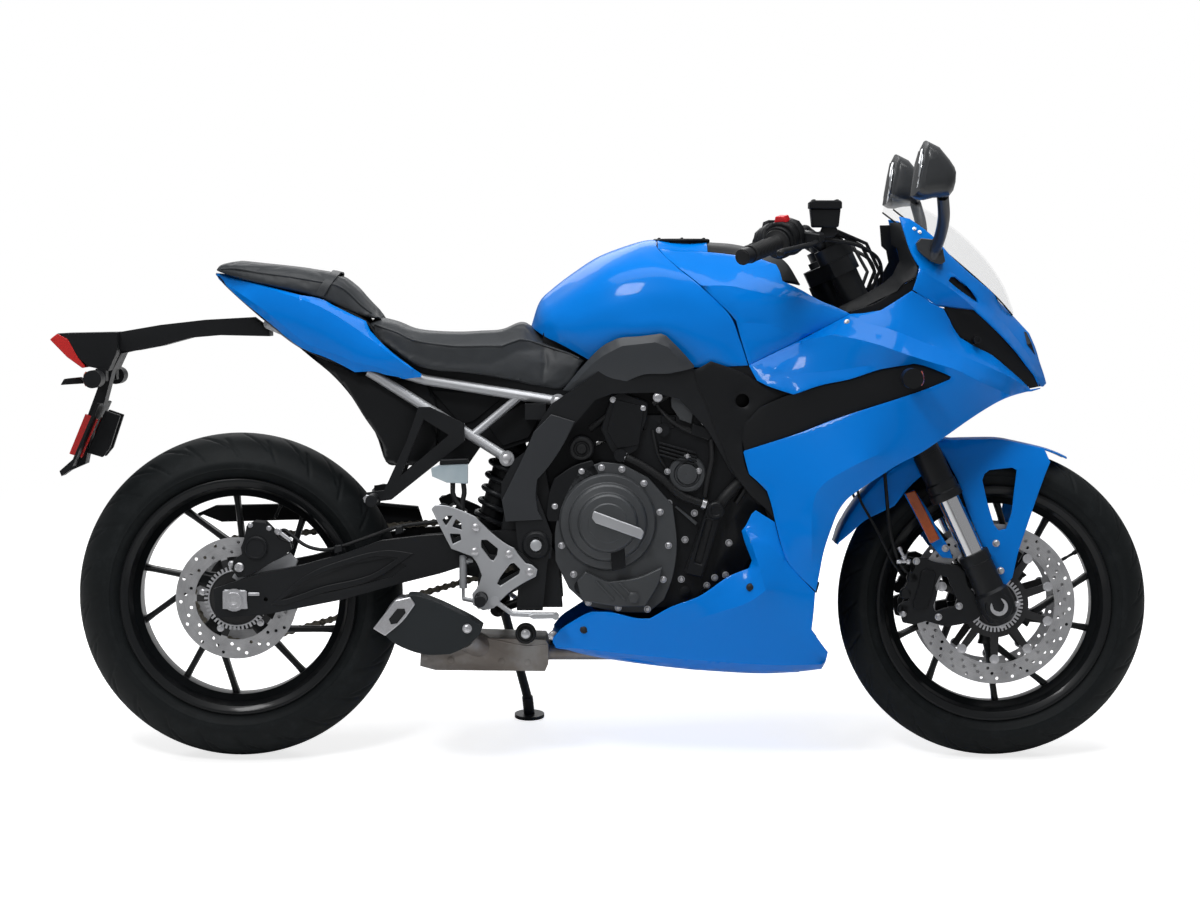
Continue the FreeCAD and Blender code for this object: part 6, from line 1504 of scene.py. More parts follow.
fit(thicken(skin("tail_under", TAIL_UNDER, 5, core=bike(200, 0, 980))), "chassis", plastic)
for side, name in SIDES:
    shell = thicken(stretched("tail_shell_" + name, TAIL_SIDE, side, TAIL_FOLDS, bulge=0.016))
    fit_half(shell, side, "chassis", paint, "tail_cowl")
    guard = thicken(stretched("undertail_" + name, UNDERTAIL, side, bulge=0.008))
    fit_half(guard, side, "chassis", plastic, "undertail")
UNDERTAIL_BACK = [(122, 796), (180, 748), (222, 701), (266, 634), (287, 577), (314, 570), (363, 576),
                  (386, 620), (384, 688), (363, 736)]
splash = skin("undertail_back", [[(x, z, 88), (x, z, 44), (x, z, 0)] for x, z in UNDERTAIL_BACK], 4)
fit(thicken(splash), "chassis", plastic)

# ---------------------------------------------------------------- nose
# The painted upper cowl in two halves with a black recess on each side for the lamp and its duct,
# and black inner panels beside the cockpit.
NOSE_SIDE = [
    (1272, 1048, 124), (1292, 1044, 120), (1321, 1024, 114), (1344, 1005, 108), (1373, 974, 98),
    (1402, 948, 86), (1433, 923, 72), (1458, 904, 54), (1474, 886, 32), (1488, 874, 12),
    (1506, 857, 1), (1537, 824, 1), (1550, 794, 1), (1558, 767, 1), (1566, 744, 1), (1571, 726, 1),
    (1563, 720, 18), (1551, 722, 40), (1543, 741, 54), (1526, 761, 70), (1503, 789, 86),
    (1476, 817, 102), (1447, 844, 116), (1417, 870, 128), (1383, 874, 142), (1355, 878, 152),
    (1339, 880, 162), (1317, 894, 168), (1294, 908, 171), (1303, 934, 166), (1307, 953, 161),
    (1299, 966, 159), (1290, 986, 152), (1280, 1020, 138)]
NOSE_FOLDS = [
    [(1307, 950, 164), (1328, 934, 165), (1357, 917, 158), (1387, 896, 148), (1415, 872, 131)],
    [(1306, 1005, 130), (1351, 963, 127), (1401, 917, 109), (1452, 871, 81), (1498, 824, 53),
     (1534, 777, 41), (1555, 738, 28)]]
LAMP_RECESS = [
    (1356, 876, 148), (1384, 872, 136), (1418, 868, 122), (1448, 842, 110), (1476, 815, 96),
    (1503, 787, 80), (1527, 759, 64), (1544, 739, 48), (1556, 721, 34), (1533, 718, 58),
    (1514, 736, 72), (1489, 756, 90), (1452, 784, 110), (1417, 802, 126), (1388, 819, 136),
    (1374, 838, 142), (1367, 854, 146)]
COCKPIT_PANEL = [
    (1254, 1036, 118), (1276, 1037, 124), (1283, 1010, 134), (1294, 972, 150), (1305, 949, 158),
    (1301, 932, 162), (1276, 920, 160), (1265, 905, 158), (1233, 890, 152), (1193, 870, 150),
    (1168, 864, 152), (1154, 875, 140), (1197, 896, 134), (1235, 917, 134), (1258, 936, 132),
    (1272, 963, 126), (1267, 986, 120), (1257, 995, 116)]
NOSE_SLOT = [(1365, 925, 140), (1371, 934, 133), (1380, 934, 126), (1402, 917, 106), (1424, 891, 98),
             (1427, 882, 101), (1389, 907, 122)]
for side, name in SIDES:
    shell = thicken(stretched("nose_shell_" + name, NOSE_SIDE, side, NOSE_FOLDS, [NOSE_SLOT], 0.014))
    backing = [(1396 + (x - 1396) * 1.15, 910 + (z - 910) * 1.15, y - 8) for x, z, y in NOSE_SLOT]
    fit(thicken(stretched("nose_slot_" + name, backing, side), 0.002), "chassis", plastic)
    recess = thicken(stretched("lamp_recess_" + name, LAMP_RECESS, side, bulge=-0.03), 0.002)
    inner = thicken(stretched("cockpit_panel_" + name, COCKPIT_PANEL, side, bulge=0.006))
    fit_half(shell, side, "chassis", paint, "upper_cowl")
    fit(recess, "chassis", plastic)
    fit(inner, "chassis", plastic)
    bolts("screen_screws_" + name, [on_skin(shell, 1300, 1027, side), on_skin(shell, 1309, 1017, side)],
          (LEFT * side + UP * 0.6).normalized(), 3.2, 1.5, "chassis", sides=12)

# ---------------------------------------------------------------- seats
# Moulded foam pads under stretched black vinyl with a fine grain.  The rider's is a saddle that rises
# to the tank; the passenger's is a raised pad with a grab strap.  Piping is sewn along both edges.
RIDER_PAD = [(254, 846, 56, 842, 92, 836, 96), (264, 853, 62, 843, 104, 822, 106),
             (281, 851, 80, 838, 116, 807, 118), (310, 843, 90, 828, 126, 787, 126),
             (340, 830.5, 94, 816, 131, 766, 130), (380, 825.5, 96, 806, 133, 754, 131),
             (430, 824, 94, 802, 131, 750, 130), (470, 826, 88, 802, 126, 745, 127),
             (511, 829, 76, 804, 119, 738, 122), (545, 844, 60, 815, 106, 731, 117),
             (567, 834, 46, 812, 98, 725, 114), (595, 812, 40, 805, 94, 720, 112),
             (622, 797, 40, 796, 105, 717, 113), (642, 786, 40, 788, 110, 728, 115),
             (660, 776, 40, 779, 114, 757, 117), (669, 770, 40, 774, 112, 768, 113)]
PASSENGER_PAD = [(-43, 951, 30, 949, 42, 944, 44), (-32, 960, 44, 952, 62, 941, 66),
                 (0, 962, 60, 950, 84, 931, 86), (40, 958, 72, 944, 98, 921, 100),
                 (84, 953.5, 80, 938, 108, 911, 110), (123, 949, 84, 932, 113, 902, 114),
                 (161, 943, 86, 925, 116, 891, 117), (188, 940, 84, 920, 116, 881, 117),
                 (205, 934, 80, 912, 112, 872, 115), (220, 921, 74, 900, 108, 865, 112),
                 (242, 895, 68, 880, 102, 857, 108), (262, 874, 60, 864, 96, 853, 102),
                 (281, 856, 52, 854, 86, 851, 90)]
PIPING_R = 2.2

vinyl, value = make_material("grained vinyl", "seat_cover", Specular_IOR_Level=0.4)
spot = value.node("ShaderNodeTexCoord", out=3)
pores = value.node("ShaderNodeTexVoronoi", None, {"Vector": spot, "Scale": 850.0})
folds = value.noise(22, 3)
feed(vinyl, Base_Color=folds.mix((0.022, 0.025, 0.028, 1), (0.040, 0.044, 0.049, 1)),
     Roughness=0.42 + 0.14 * folds, Normal=pores.bump(0.25, 0.0003, folds.bump(0.2, 0.002)))


def loft(name, loops, steps=3):
    """A closed body through loops of (x, z, y) points, capped at both ends."""
    count = len(loops[0])
    lines = [spaced([loop[i] for loop in loops], steps) for i in range(count)]
    long = len(lines[0])
    points = [bike(p.x, p.z, p.y) for line in lines for p in line]
    faces = [(i * long + j, i * long + j + 1, (i + 1) % count * long + j + 1, (i + 1) % count * long + j)
             for i in range(count) for j in range(long - 1)]
    faces.append(tuple(i * long for i in range(count)))
    faces.append(tuple(i * long + long - 1 for i in range(count)))
    return piece(name, points, faces, 35)


def plain_mesh(made):
    """The piece's mesh with its modifiers run, and the modifiers taken off."""
    bpy.context.view_layer.update()
    mesh = bpy.data.meshes.new_from_object(made.evaluated_get(bpy.context.evaluated_depsgraph_get()))
    made.modifiers.clear()
    made.data = mesh
    return mesh


def cushion(name, stations, node, most_move):
    """A foam pad from (x, top z, top y, edge z, edge y, low z, low y), blown tight under its cover."""
    loops = []
    for x, tz, ty, ez, ey, lz, ly in stations:
        half = [(x, tz, 0), (x, tz - 0.5, ty * 0.5), (x, tz - 3, ty),
                (x, (tz + ez) / 2 - 2, (ty + ey) / 2 + 3), (x, ez - 1, ey),
                (x, ez * 0.6 + lz * 0.4, ey * 0.6 + ly * 0.4 + 0.5), (x, lz + 3, ly), (x, lz, ly - 5),
                (x, lz, ly * 0.5), (x, lz, 0)]
        half = [(x, z, y * 0.985) for x, z, y in half]
        loops.append(half + [(x, z, -y) for x, z, y in reversed(half[1:-1])])
    made = loft(name, loops)
    mould = made.modifiers.new("mould", "REMESH")
    mould.mode, mould.voxel_size, mould.use_smooth_shade = "VOXEL", 0.005, True
    mesh = plain_mesh(made)
    start = [vert.co.copy() for vert in mesh.vertices]
    base = made.vertex_groups.new(name="base")
    low = [vert.index for vert in mesh.vertices if vert.normal.dot(UP) < -0.5]
    base.add(low, 1.0, "REPLACE")
    cover = made.modifiers.new("cover", "CLOTH")
    cover.settings.vertex_group_mass = "base"
    cover.settings.use_pressure = True
    cover.settings.uniform_pressure_force = 4.0
    cover.settings.tension_stiffness = 40
    cover.settings.compression_stiffness = 40
    cover.settings.effector_weights.gravity = 0
    for step in range(1, 21):
        scene.frame_set(step)
    mesh = plain_mesh(made)
    for vert, before in zip(mesh.vertices, start):
        moved = vert.co - before
        if moved.length > most_move / 1000:
            vert.co = before + moved.normalized() * most_move / 1000
    scene.frame_set(1)
    mesh.shade_smooth()
    finer = made.modifiers.new("finer", "SUBSURF")
    finer.levels = finer.render_levels = 1
    fit(made, "chassis", vinyl, node)
    for side, label in ((-1, "right"), (1, "left")):
        bead = []
        for x, _, _, ez, ey, _, _ in stations[1:-1]:
            seam = bike(x, side * ey, ez + 0.5)
            place = min((vert.co for vert in mesh.vertices),
                        key=lambda spot: (spot - seam).length) - bike(0, 0, 0)
            bead.append((place.dot(AHEAD) * 1000, place.dot(UP) * 1000, place.dot(LEFT) * 1000))
        fit(tube(name + "_piping_" + label, bead, PIPING_R, 8), "chassis", vinyl)
    return made


cushion("rider_seat_pad", RIDER_PAD, "rider_seat", 3.0)
cushion("passenger_seat_pad", PASSENGER_PAD, "passenger_seat", 3.0)
STRAP = [(0, 944, 0), (-1, 944, 44), (-3, 939, 84), (-10, 929, 108), (-18, 916, 119), (-30, 896, 121)]
strap_rows = [[(186 + dx + w, z + 1.5 - w * 0.25, y) for dx, z, y in reversed(STRAP)]
              for w in (-2, 6, 14)]
strap = skin("grab_strap", strap_rows, 5, core=bike(180, 0, 800))
fit(thicken(strap, 0.002, 0.0004), "chassis", vinyl)

# ---------------------------------------------------------------- subframe
# A welded frame of silver steel tubes with bolted ends, black battery box panels inside it, and black
# brackets that carry the passenger's pegs.
softened("subframe", "chassis", silver_alloy, 1.0)
softened("passenger_pegs", "chassis", satin_metal, 1.0)
for side, name in SIDES:
    bolts("subframe_bolts_" + name, [bike(619, side * 148, 694), bike(521, side * 148, 585)], LEFT * side,
          9, 4, "chassis", sides=12)
BATTERY_SIDE = [(352, 742), (480, 738), (612, 724), (606, 676), (566, 616), (508, 596), (470, 606),
                (438, 560), (402, 560), (384, 620)]
fit(slab("battery_box", BATTERY_SIDE, -76, 76, 4), "chassis", plastic)
SEAT_PAN = [(262, 842), (300, 800), (345, 776), (430, 762), (560, 740), (648, 716), (632, 700), (500, 716),
            (352, 742), (262, 765)]
fit(slab("seat_pan", SEAT_PAN, -104, 104, 2), "chassis", plastic)
for side, name in SIDES:
    for label, outline in (("a", [(372, 716), (518, 704), (456, 654), (432, 648)]),
                           ("b", [(482, 646), (548, 690), (600, 688), (562, 622), (512, 606)])):
        fit(slab("battery_panel_%s_%s" % (label, name), outline, side * 75, side * 81, 3), "chassis",
            plastic)
    ends = [bike(619, side * 131, 694), bike(521, side * 131, 583)]
    bolts("subframe_bolts_" + name, ends, LEFT * side, 7, 5, "chassis", sides=12)

# ---------------------------------------------------------------- lamp, plate carrier and indicators
# A black moulded arm behind the tail with a red lamp, a carrier for the plate, side reflectors and
# short indicators on rubber stalks.
red_glass = two_tone("red lens", "red_lens", (0.50, 0.006, 0.006), (0.72, 0.016, 0.012), haze=(160, 2),
                     rough=(0.16, 0.1), relief=(0.2, 0.0006), Coat_Weight=0.5)
amber_glass = two_tone("amber lens", "amber", (0.34, 0.055, 0.006), (0.50, 0.10, 0.01), haze=(160, 2),
                       rough=(0.16, 0.1), relief=(0.2, 0.0006), Coat_Weight=0.5)
softened("tail_lamp_arm", "chassis", plastic, 2.5)
softened("plate_bracket", "chassis", plastic, 1.5)
softened("tail_lens", "chassis", red_glass, 1.5)
softened("indicators", "chassis", plastic, 4.0)
for side, name in SIDES:
    reflector = [(-298, 668), (-273, 657), (-305, 582), (-330, 590)]
    fit(slab("side_reflector_" + name, reflector, side * 33, side * 37, 1.5), "chassis", red_glass)
    holder = [(-260, 674), (-231, 664), (-252, 600), (-266, 583), (-296, 592)]
    fit(slab("reflector_holder_" + name, holder, side * 20, side * 34, 2), "chassis", plastic)
    face = [(0, 0), (14, 0), (14, 2), (9, 5), (0, 6)]
    for label, x, z, y, way in (("rear", -277, 738, 172, -1), ("front", 1299, 742, 288, 1)):
        fit(lathe("indicator_lens_%s_%s" % (label, name), face, bike(x, side * y, z), AHEAD * way, 32),
            "chassis", amber_glass)
    stay = slab("fork_reflector_" + name, [(1288, 516), (1307, 522), (1355, 428), (1337, 419)], side * 88,
                side * 95, 2)
    fit(stay, "steering", amber_glass)
    peg = [(0, -12), (8, -12), (9, -10), (9, 4), (7, 6), (3, 6), (3, 2), (0, 2)]
    fit(lathe("peg_end_" + name, peg, bike(255, side * 148, 508), LEFT * side, 6, 30), "chassis",
        bright_steel)
fit(slab("plate_lamp", [(-348, 723), (-341, 735), (-312, 738), (-300, 726)], -24, 24, 2), "chassis",
    plastic)

# ---------------------------------------------------------------- mirrors
# Rounded black housings, each with a flat mirror facing the rider, on cast stalks whose feet are
# bolted to the nose.
MIRROR = [(1302, 1184), (1326, 1172), (1345, 1149), (1355, 1134), (1358, 1124), (1357, 1106), (1353, 1091),
          (1345, 1080), (1317, 1078), (1300, 1074), (1288, 1075), (1278, 1081), (1282, 1106), (1287, 1132),
          (1293, 1156), (1296, 1172)]
MIRROR_GLASS = [(240, 1100, -3), (262, 1084, -7), (345, 1082, -7), (374, 1100, -4), (376, 1140, 3),
                (352, 1168, 7), (268, 1166, 7), (244, 1142, 2)]
housing_black = two_tone("mirror housing", "black_plastic", (0.02, 0.022, 0.024), (0.035, 0.038, 0.042),
                         haze=(8, 3), rough=(0.3, 0.14), grain=(900, 2), relief=(0.08, 0.0002),
                         Coat_Weight=0.3, Coat_Roughness=0.2)
silvered = two_tone("mirror glass", "chrome", (0.80, 0.82, 0.84), (0.86, 0.88, 0.9), haze=(6, 2),
                    rough=(0.02, 0.02), Metallic=1.0)
for side, name in SIDES:
    loops = []
    for y, size, lift in ((228, 0.42, 0), (232, 0.66, 0), (244, 0.84, 0), (270, 0.96, 0), (310, 1.0, 0),
                          (345, 0.98, 0), (368, 0.9, 0), (380, 0.76, 0), (386, 0.5, 0)):
        loops.append([(1312 + (x - 1312) * size, 1126 + (z - 1126) * size, side * y) for x, z in MIRROR])
    housing = loft("mirror_housing_" + name, loops, 4)
    fit_half(housing, side, "chassis", housing_black, "mirrors")
    glass = [bike(1287 + dx, side * y, z) for y, z, dx in MIRROR_GLASS]
    pane = piece("mirror_glass_" + name, glass, [tuple(range(8))], 30, bike(1400, side * 300, 1126))
    fit(thicken(pane, 0.0015, 0), "chassis", silvered)
    stalk = [(1334, 966, side * 146), (1338, 985, side * 156), (1344, 1010, side * 186),
             (1346, 1045, side * 232), (1340, 1082, side * 272)]
    fit(tube("mirror_stalk_" + name, stalk, 11.5, 16), "chassis", housing_black)
    foot = [(1301, 996), (1310, 1006), (1333, 1004), (1352, 986), (1357, 962), (1350, 956), (1338, 958),
            (1316, 972), (1304, 984)]
    fit(slab("mirror_foot_" + name, foot, side * 118, side * 158, 6), "chassis", housing_black)

# ---------------------------------------------------------------- windscreen
# A clear, slightly smoked acrylic screen with a black edge strip, over the moulded instrument hood
# and the welded stay that carries them.
acrylic, value = make_material("clear acrylic", "clear", Metallic=0.0, Specular_IOR_Level=0.12)
smoke = value.noise(3, 2)
feed(acrylic, Base_Color=smoke.mix((0.30, 0.33, 0.36, 1), (0.40, 0.43, 0.46, 1)),
     Roughness=0.04 + 0.04 * smoke, Alpha=0.05 + 0.03 * smoke)
SCREEN_EDGE = [(1505, 858, 8), (1474, 889, 40), (1430, 927, 68), (1376, 971, 92), (1310, 1023, 114),
               (1262, 1060, 124)]
SCREEN_MIDDLE = [(1506, 868, 0), (1486, 918, 0), (1452, 968, 0), (1400, 1020, 0), (1336, 1064, 0),
                 (1262, 1098, 0)]
screen_rows = []
for (ex, ez, ey), (mx, mz, _) in zip(SCREEN_EDGE, SCREEN_MIDDLE):
    screen_rows.append([(ex + (mx - ex) * b, ez + (mz - ez) * b, ey * s)
                        for s, b in ((1, 0), (0.82, 0.42), (0.5, 0.8), (0, 1))])
fit(thicken(skin("windscreen_pane", screen_rows, 6, core=bike(1300, 0, 850)), 0.003, 0.0006), "chassis",
    acrylic, "windscreen")
for side, name in SIDES:
    edge = [(x - 2, z + 1.5, side * (y - 2)) for x, z, y in SCREEN_EDGE]
    fit(tube("screen_edge_" + name, edge, 1.6, 8), "chassis", plastic)
softened("dash", "chassis", plastic, 3.0)
softened("cowl_stay", "chassis", satin_metal, 1.0)

# ---------------------------------------------------------------- lamps
# Two stacked lamps in black six-sided bezels on the centre line, each with a clear lens over a
# bright cup.
for name, x, z, tilt, size in (("upper", 1483, 861, 48, 25), ("lower", 1534, 802, 22, 27)):
    way = (AHEAD * math.cos(math.radians(tilt)) + UP * math.sin(math.radians(tilt))).normalized()
    bezel = [(size - 6, -2), (size - 4, 4), (size, 5), (size + 2, 2), (size + 2, -34), (size - 2, -36),
             (0, -36), (0, -34), (size - 8, -32)]
    ring = lathe("lamp_bezel_" + name, bezel, bike(x, 0, z), way, 6, 30)
    if name == "upper":
        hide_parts("headlight")
    fit(ring, "chassis", plastic)
    lens = [(0, 3), (size - 12, 2), (size - 5.5, -1), (size - 5.5, -3), (0, -1)]
    fit(lathe("lamp_lens_" + name, lens, bike(x, 0, z), way, 24, 30), "chassis", acrylic)
    bowl = [(size - 7, -4), (size - 12, -16), (6, -28), (0, -29), (0, -31), (size - 10, -20),
            (size - 6, -5)]
    fit(lathe("lamp_cup_" + name, bowl, bike(x, 0, z), way, 32, 50), "chassis", silvered)

# ---------------------------------------------------------------- cockpit
# Clip-on bars with ribbed rubber grips and end weights, moulded switch housings, cast levers on
# perches, a square brake reservoir with a screwed lid, and the cables between them.
BAR_END = Vector((973, 350, 972))
BAR_ROOT = Vector((1090, 138, 1017))
BAR_WAY = (BAR_ROOT - BAR_END).normalized()
GRIP_R = 15.5
LEVER_REACH = 60
LEVER_LINE = ((0, 0, 0), (30, 7, 0), (60, 10, 0), (110, 5, 2), (165, -4, 4), (178, -2, 2))
PERCH = [(-19, -14), (-19, 14), (10, 18), (LEVER_REACH + 8, 9), (LEVER_REACH + 8, -9), (10, -16)]
HOUSING = [(-36, -18), (-26, -34), (-6, -40), (18, -37), (34, -26), (41, -6), (39, 16), (28, 33), (8, 40),
           (-16, 38), (-32, 26), (-39, 6)]


def on_bar(along, side, ahead=0, up=0):
    """A place on a bar, in metres, `along` mm from its outer end."""
    spot = BAR_END + BAR_WAY * along
    return bike(spot.x + ahead, spot.y * side, spot.z + up)


def moulding(name, outline, start, way, depth, edge):
    """A block with an outline across `way`, rounded on its edges."""
    across = way.cross(UP).normalized()
    top = across.cross(way).normalized()
    ahead = across if across.dot(AHEAD) > 0 else -across
    rim = [start + (ahead * a + top * b) / 1000 for a, b in outline]
    count = len(rim)
    faces = [tuple(range(count)), tuple(range(count, 2 * count))]
    faces += [(k, (k + 1) % count, (k + 1) % count + count, k + count) for k in range(count)]
    made = piece(name, rim + [place + way * depth / 1000 for place in rim], faces, 50)
    soften_edges(made, edge / 1000, 50, 3)
    return made


red_switch = two_tone("red switch", "red_lens", (0.62, 0.008, 0.014), (0.78, 0.02, 0.03), haze=(600, 2),
                      rough=(0.3, 0.15), Specular_IOR_Level=0.4)

softened("steering_hoses", "steering", hose_rubber, 0)
grip_profile = [(0, 2), (GRIP_R + 1, 2), (GRIP_R + 1.5, 4), (GRIP_R + 1.5, 8)]
for rib in range(17):
    near = 10 + rib * 6.2
    grip_profile += [(GRIP_R - 0.6, near), (GRIP_R + 0.8, near + 1.2), (GRIP_R + 0.8, near + 4.2),
                     (GRIP_R - 0.6, near + 5.4)]
grip_profile += [(GRIP_R + 2, 117), (GRIP_R + 10, 119), (GRIP_R + 11, 122), (GRIP_R + 10, 125), (0, 125)]
weight_profile = [(0, -20), (6, -20), (6.5, -25), (12.5, -27), (14.5, -24), (14.5, -5), (12.5, -1), (0, -1)]
for side, name in SIDES:
    end, way = on_bar(0, side), (on_bar(100, side) - on_bar(0, side)).normalized()
    grip = lathe("grip_" + name, grip_profile, end, way, 40, 50)
    fit_half(grip, side, "steering", hose_rubber, "grips")
    fit(lathe("bar_weight_" + name, weight_profile, end, way, 32, 35), "steering", satin_metal)
    collar = [(0, 126), (29, 126), (31, 128), (31, 137), (0, 137)]
    fit(lathe("switch_collar_" + name, collar, end, way, 40, 35), "steering", plastic)
    for half, start, depth, share in (("outer", 134, 20, 0.84), ("inner", 155, 22, 0.9)):
        outline = [(a * share, b * share + 5) for a, b in HOUSING]
        fit(moulding("switch_%s_%s" % (half, name), outline, on_bar(start, side), way, depth, 4),
            "steering", plastic)
    button = [(-13, 36), (-9, 48), (9, 48), (13, 36)]
    made = moulding("stop_switch" if side < 0 else "beam_switch", button, on_bar(142, side), way, 22, 2)
    fit(made, "steering", red_switch if side < 0 else plastic)
    thumb = [(-44, -10), (-34, -12), (-34, 6), (-43, 4)]
    fit(moulding("thumb_switch_" + name, thumb, on_bar(134, side), way, 14, 2), "steering", plastic)
    perch = moulding("lever_perch_" + name, PERCH, on_bar(170, side), way, 20, 3)
    fit_half(perch, side, "steering", satin_metal, "hand_controls")
    blade = [BAR_END + BAR_WAY * (180 - out) + Vector((LEVER_REACH + ahead, 0, up))
             for out, ahead, up in LEVER_LINE]
    fit(tube("hand_lever_" + name, [(spot.x, spot.z, side * spot.y) for spot in blade], 5.2, 14),
        "steering", satin_metal)
    knob = [(0, -8), (5, -6.5), (7.5, -2.5), (7.5, 2.5), (5, 6.5), (0, 8)]
    fit(lathe("lever_knob_" + name, knob, bike(blade[-1].x, side * blade[-1].y, blade[-1].z), way, 24),
        "steering", satin_metal)
    bolts("perch_bolts_" + name, [on_bar(180, side, 14, 10), on_bar(180, side, 14, -12)],
          AHEAD, 5, 5, "steering", sides=12)

LEFT_OF_CUP = -152
cup = slab("brake_cup", [(1101, 1026), (1151, 1026), (1155, 1062), (1097, 1062)], LEFT_OF_CUP - 42,
           LEFT_OF_CUP, 4)
lid = [(1095, 1061), (1157, 1061), (1157, 1074), (1153, 1077), (1101, 1077), (1095, 1073)]
fit(cup, "steering", plastic)
fit(slab("brake_cup_lid", lid, LEFT_OF_CUP - 47, LEFT_OF_CUP + 5, 2), "steering", plastic)
stay = [(1122, 1030), (1146, 1030), (1152, 1018), (1144, 1008), (1126, 1006), (1116, 1016)]
fit(slab("brake_cup_stay", stay, LEFT_OF_CUP - 26, LEFT_OF_CUP - 12, 3), "steering", satin_metal)
bolts("brake_cup_screws", [bike(x, y, 1077) for x in (1104, 1148) for y in (-191, -155)], UP, 3, 1.5,
      "steering", dark_screw, 12)

# The cables loop from the housings over the clamps and go down inside the nose.
CABLES = [("throttle", -1, 0), ("return", -1, 9), ("clutch", 1, 0)]
for name, side, wide in CABLES:
    line = [(1062, 985 - wide, side * 205), (1100, 1003, side * 172), (1152, 1016 + wide / 2, side * 128),
            (1202 + wide, 992 + wide / 2, side * 100), (1228 + wide, 944, side * 88),
            (1210 + wide, 896, side * 78), (1174, 862 - wide, side * 58)]
    fit(tube(name + "_cable", line, 3.4, 10), "steering", hose_rubber)

# Each fork leg has a screwed cap, a hard-chromed inner leg, a cast foot with its axle clamp, and a seal.
RAKE = math.radians(25)
FORK_HALF = 105
FORK_WAY = (UP * math.cos(RAKE) - AHEAD * math.sin(RAKE)).normalized()
for side, name in SIDES:
    foot = on_wheel(front_axle, 0, 0, side * FORK_HALF)
    cap = [(0, 776), (25, 776), (25, 781), (23, 783), (14, 783), (14, 790), (12, 791), (7, 791), (7, 796),
           (0, 796)]
    fit(lathe("fork_cap_" + name, cap, foot, FORK_WAY, 24, 30), "steering", dark_screw)
    leg = lathe("fork_leg_" + name, [(21.5, 80), (21.5, 320), (0, 320), (0, 80)], foot, FORK_WAY, 48, 30)
    fit_half(leg, side, "steering", hard_chrome, "fork_legs")
    shoe = [(21.8, 112), (29, 112), (30, 110), (30, 92), (28.5, 90), (28.5, 34), (34, 28), (35, 0),
            (30, -24), (14, -36), (0, -37)]
    fit(lathe("fork_foot_" + name, shoe, foot, FORK_WAY, 40, 30), "steering", satin_metal)
    eye = [(9, 0), (26, 0), (27, 2), (27, 27), (25, 30), (14, 30), (13, 27), (9, 27)]
    fit(lathe("axle_clamp_" + name, eye, foot, LEFT * side, 40, 30), "steering", satin_metal)
    ring = [(9, 26), (12.5, 26), (12.5, 31), (11.5, 32), (9, 32)]
    fit(lathe("axle_end_" + name, ring, foot, LEFT * side, 32, 30), "steering", bright_steel)
    seal = [(21.8, 228), (31, 228), (32, 230), (32, 243), (30, 246), (30, 262), (28, 265), (28, 324),
            (21.8, 324)]
    fit(lathe("fork_seal_" + name, seal, foot, FORK_WAY, 40, 30), "steering", satin_metal)

# ---------------------------------------------------------------- brake calipers
# Radial four-piston calipers in satin black on the fork feet, and a floating caliper over the rear
# disc, with their pistons, pins and the steel banjos of their hoses.
CALIPER = [(1309, 390), (1325, 392), (1346, 383), (1391, 376), (1404, 364), (1410, 338), (1424, 319),
           (1440, 299), (1440, 284), (1426, 272), (1406, 265), (1370, 258), (1351, 263), (1329, 269),
           (1306, 262), (1285, 266), (1280, 286), (1281, 303), (1296, 308), (1296, 322), (1288, 332),
           (1292, 342), (1301, 349), (1298, 358), (1303, 364), (1307, 374)]
CALIPER_WINDOW = [(1356, 357), (1370, 354), (1377, 338), (1383, 322), (1390, 312), (1385, 297), (1364, 293),
                  (1346, 286), (1343, 299), (1350, 319), (1347, 338)]
CALIPER_PAD = [(1319, 364), (1329, 370), (1343, 368), (1348, 360), (1340, 319), (1332, 297), (1319, 290),
               (1305, 293), (1303, 303), (1313, 335)]
CALIPER_BOLTS = [(1310, 92, 385), (1285, 91, 283), (1393, 92, 298), (1353, 92, 277)]
CALIPER_INNER = [(1300, 384), (1348, 380), (1360, 350), (1350, 300), (1338, 276), (1290, 270), (1286, 300),
                 (1306, 340)]
for side, name in SIDES:
    body = slab("front_caliper_" + name, CALIPER, side * 72, side * 92, 3, [CALIPER_WINDOW])
    fit_half(body, side, "steering", satin_metal, "front_calipers")
    fit(slab("caliper_pad_cover_" + name, CALIPER_PAD, side * 88, side * 96, 3), "steering", plastic)
    fit(slab("caliper_inner_half_" + name, CALIPER_INNER, side * 42, side * 52, 3), "steering", satin_metal)
    for k, (x, z) in enumerate(((1304, 352), (1291, 322), (1286, 291))):
        lobe = [(0, 0), (11, 0), (12, 2), (12, 18), (9, 21), (0, 21)]
        fit(lathe("caliper_lobe_%d_%s" % (k + 1, name), lobe, bike(x, side * 71, z), LEFT * side, 24, 35),
            "steering", satin_metal)
    bolts("caliper_bolts_" + name, [bike(x, side * y, z) for x, y, z in CALIPER_BOLTS], LEFT * side, 5.5, 5,
          "steering", sides=12)

    for label, x, z, way in (("upper", 1276, 412, AHEAD * 0.5 - UP), ("lower", 1272, 384, AHEAD)):
        neck = [(0, 0), (4, 0), (4.5, 1), (4.5, 9), (3.5, 10), (3.5, 18), (6, 19), (6, 25), (4, 27),
                (0, 27)]
        fit(lathe("hose_end_%s_%s" % (label, name), neck, bike(x, side * 90, z), way.normalized(), 16, 30),
            "steering", bright_steel)

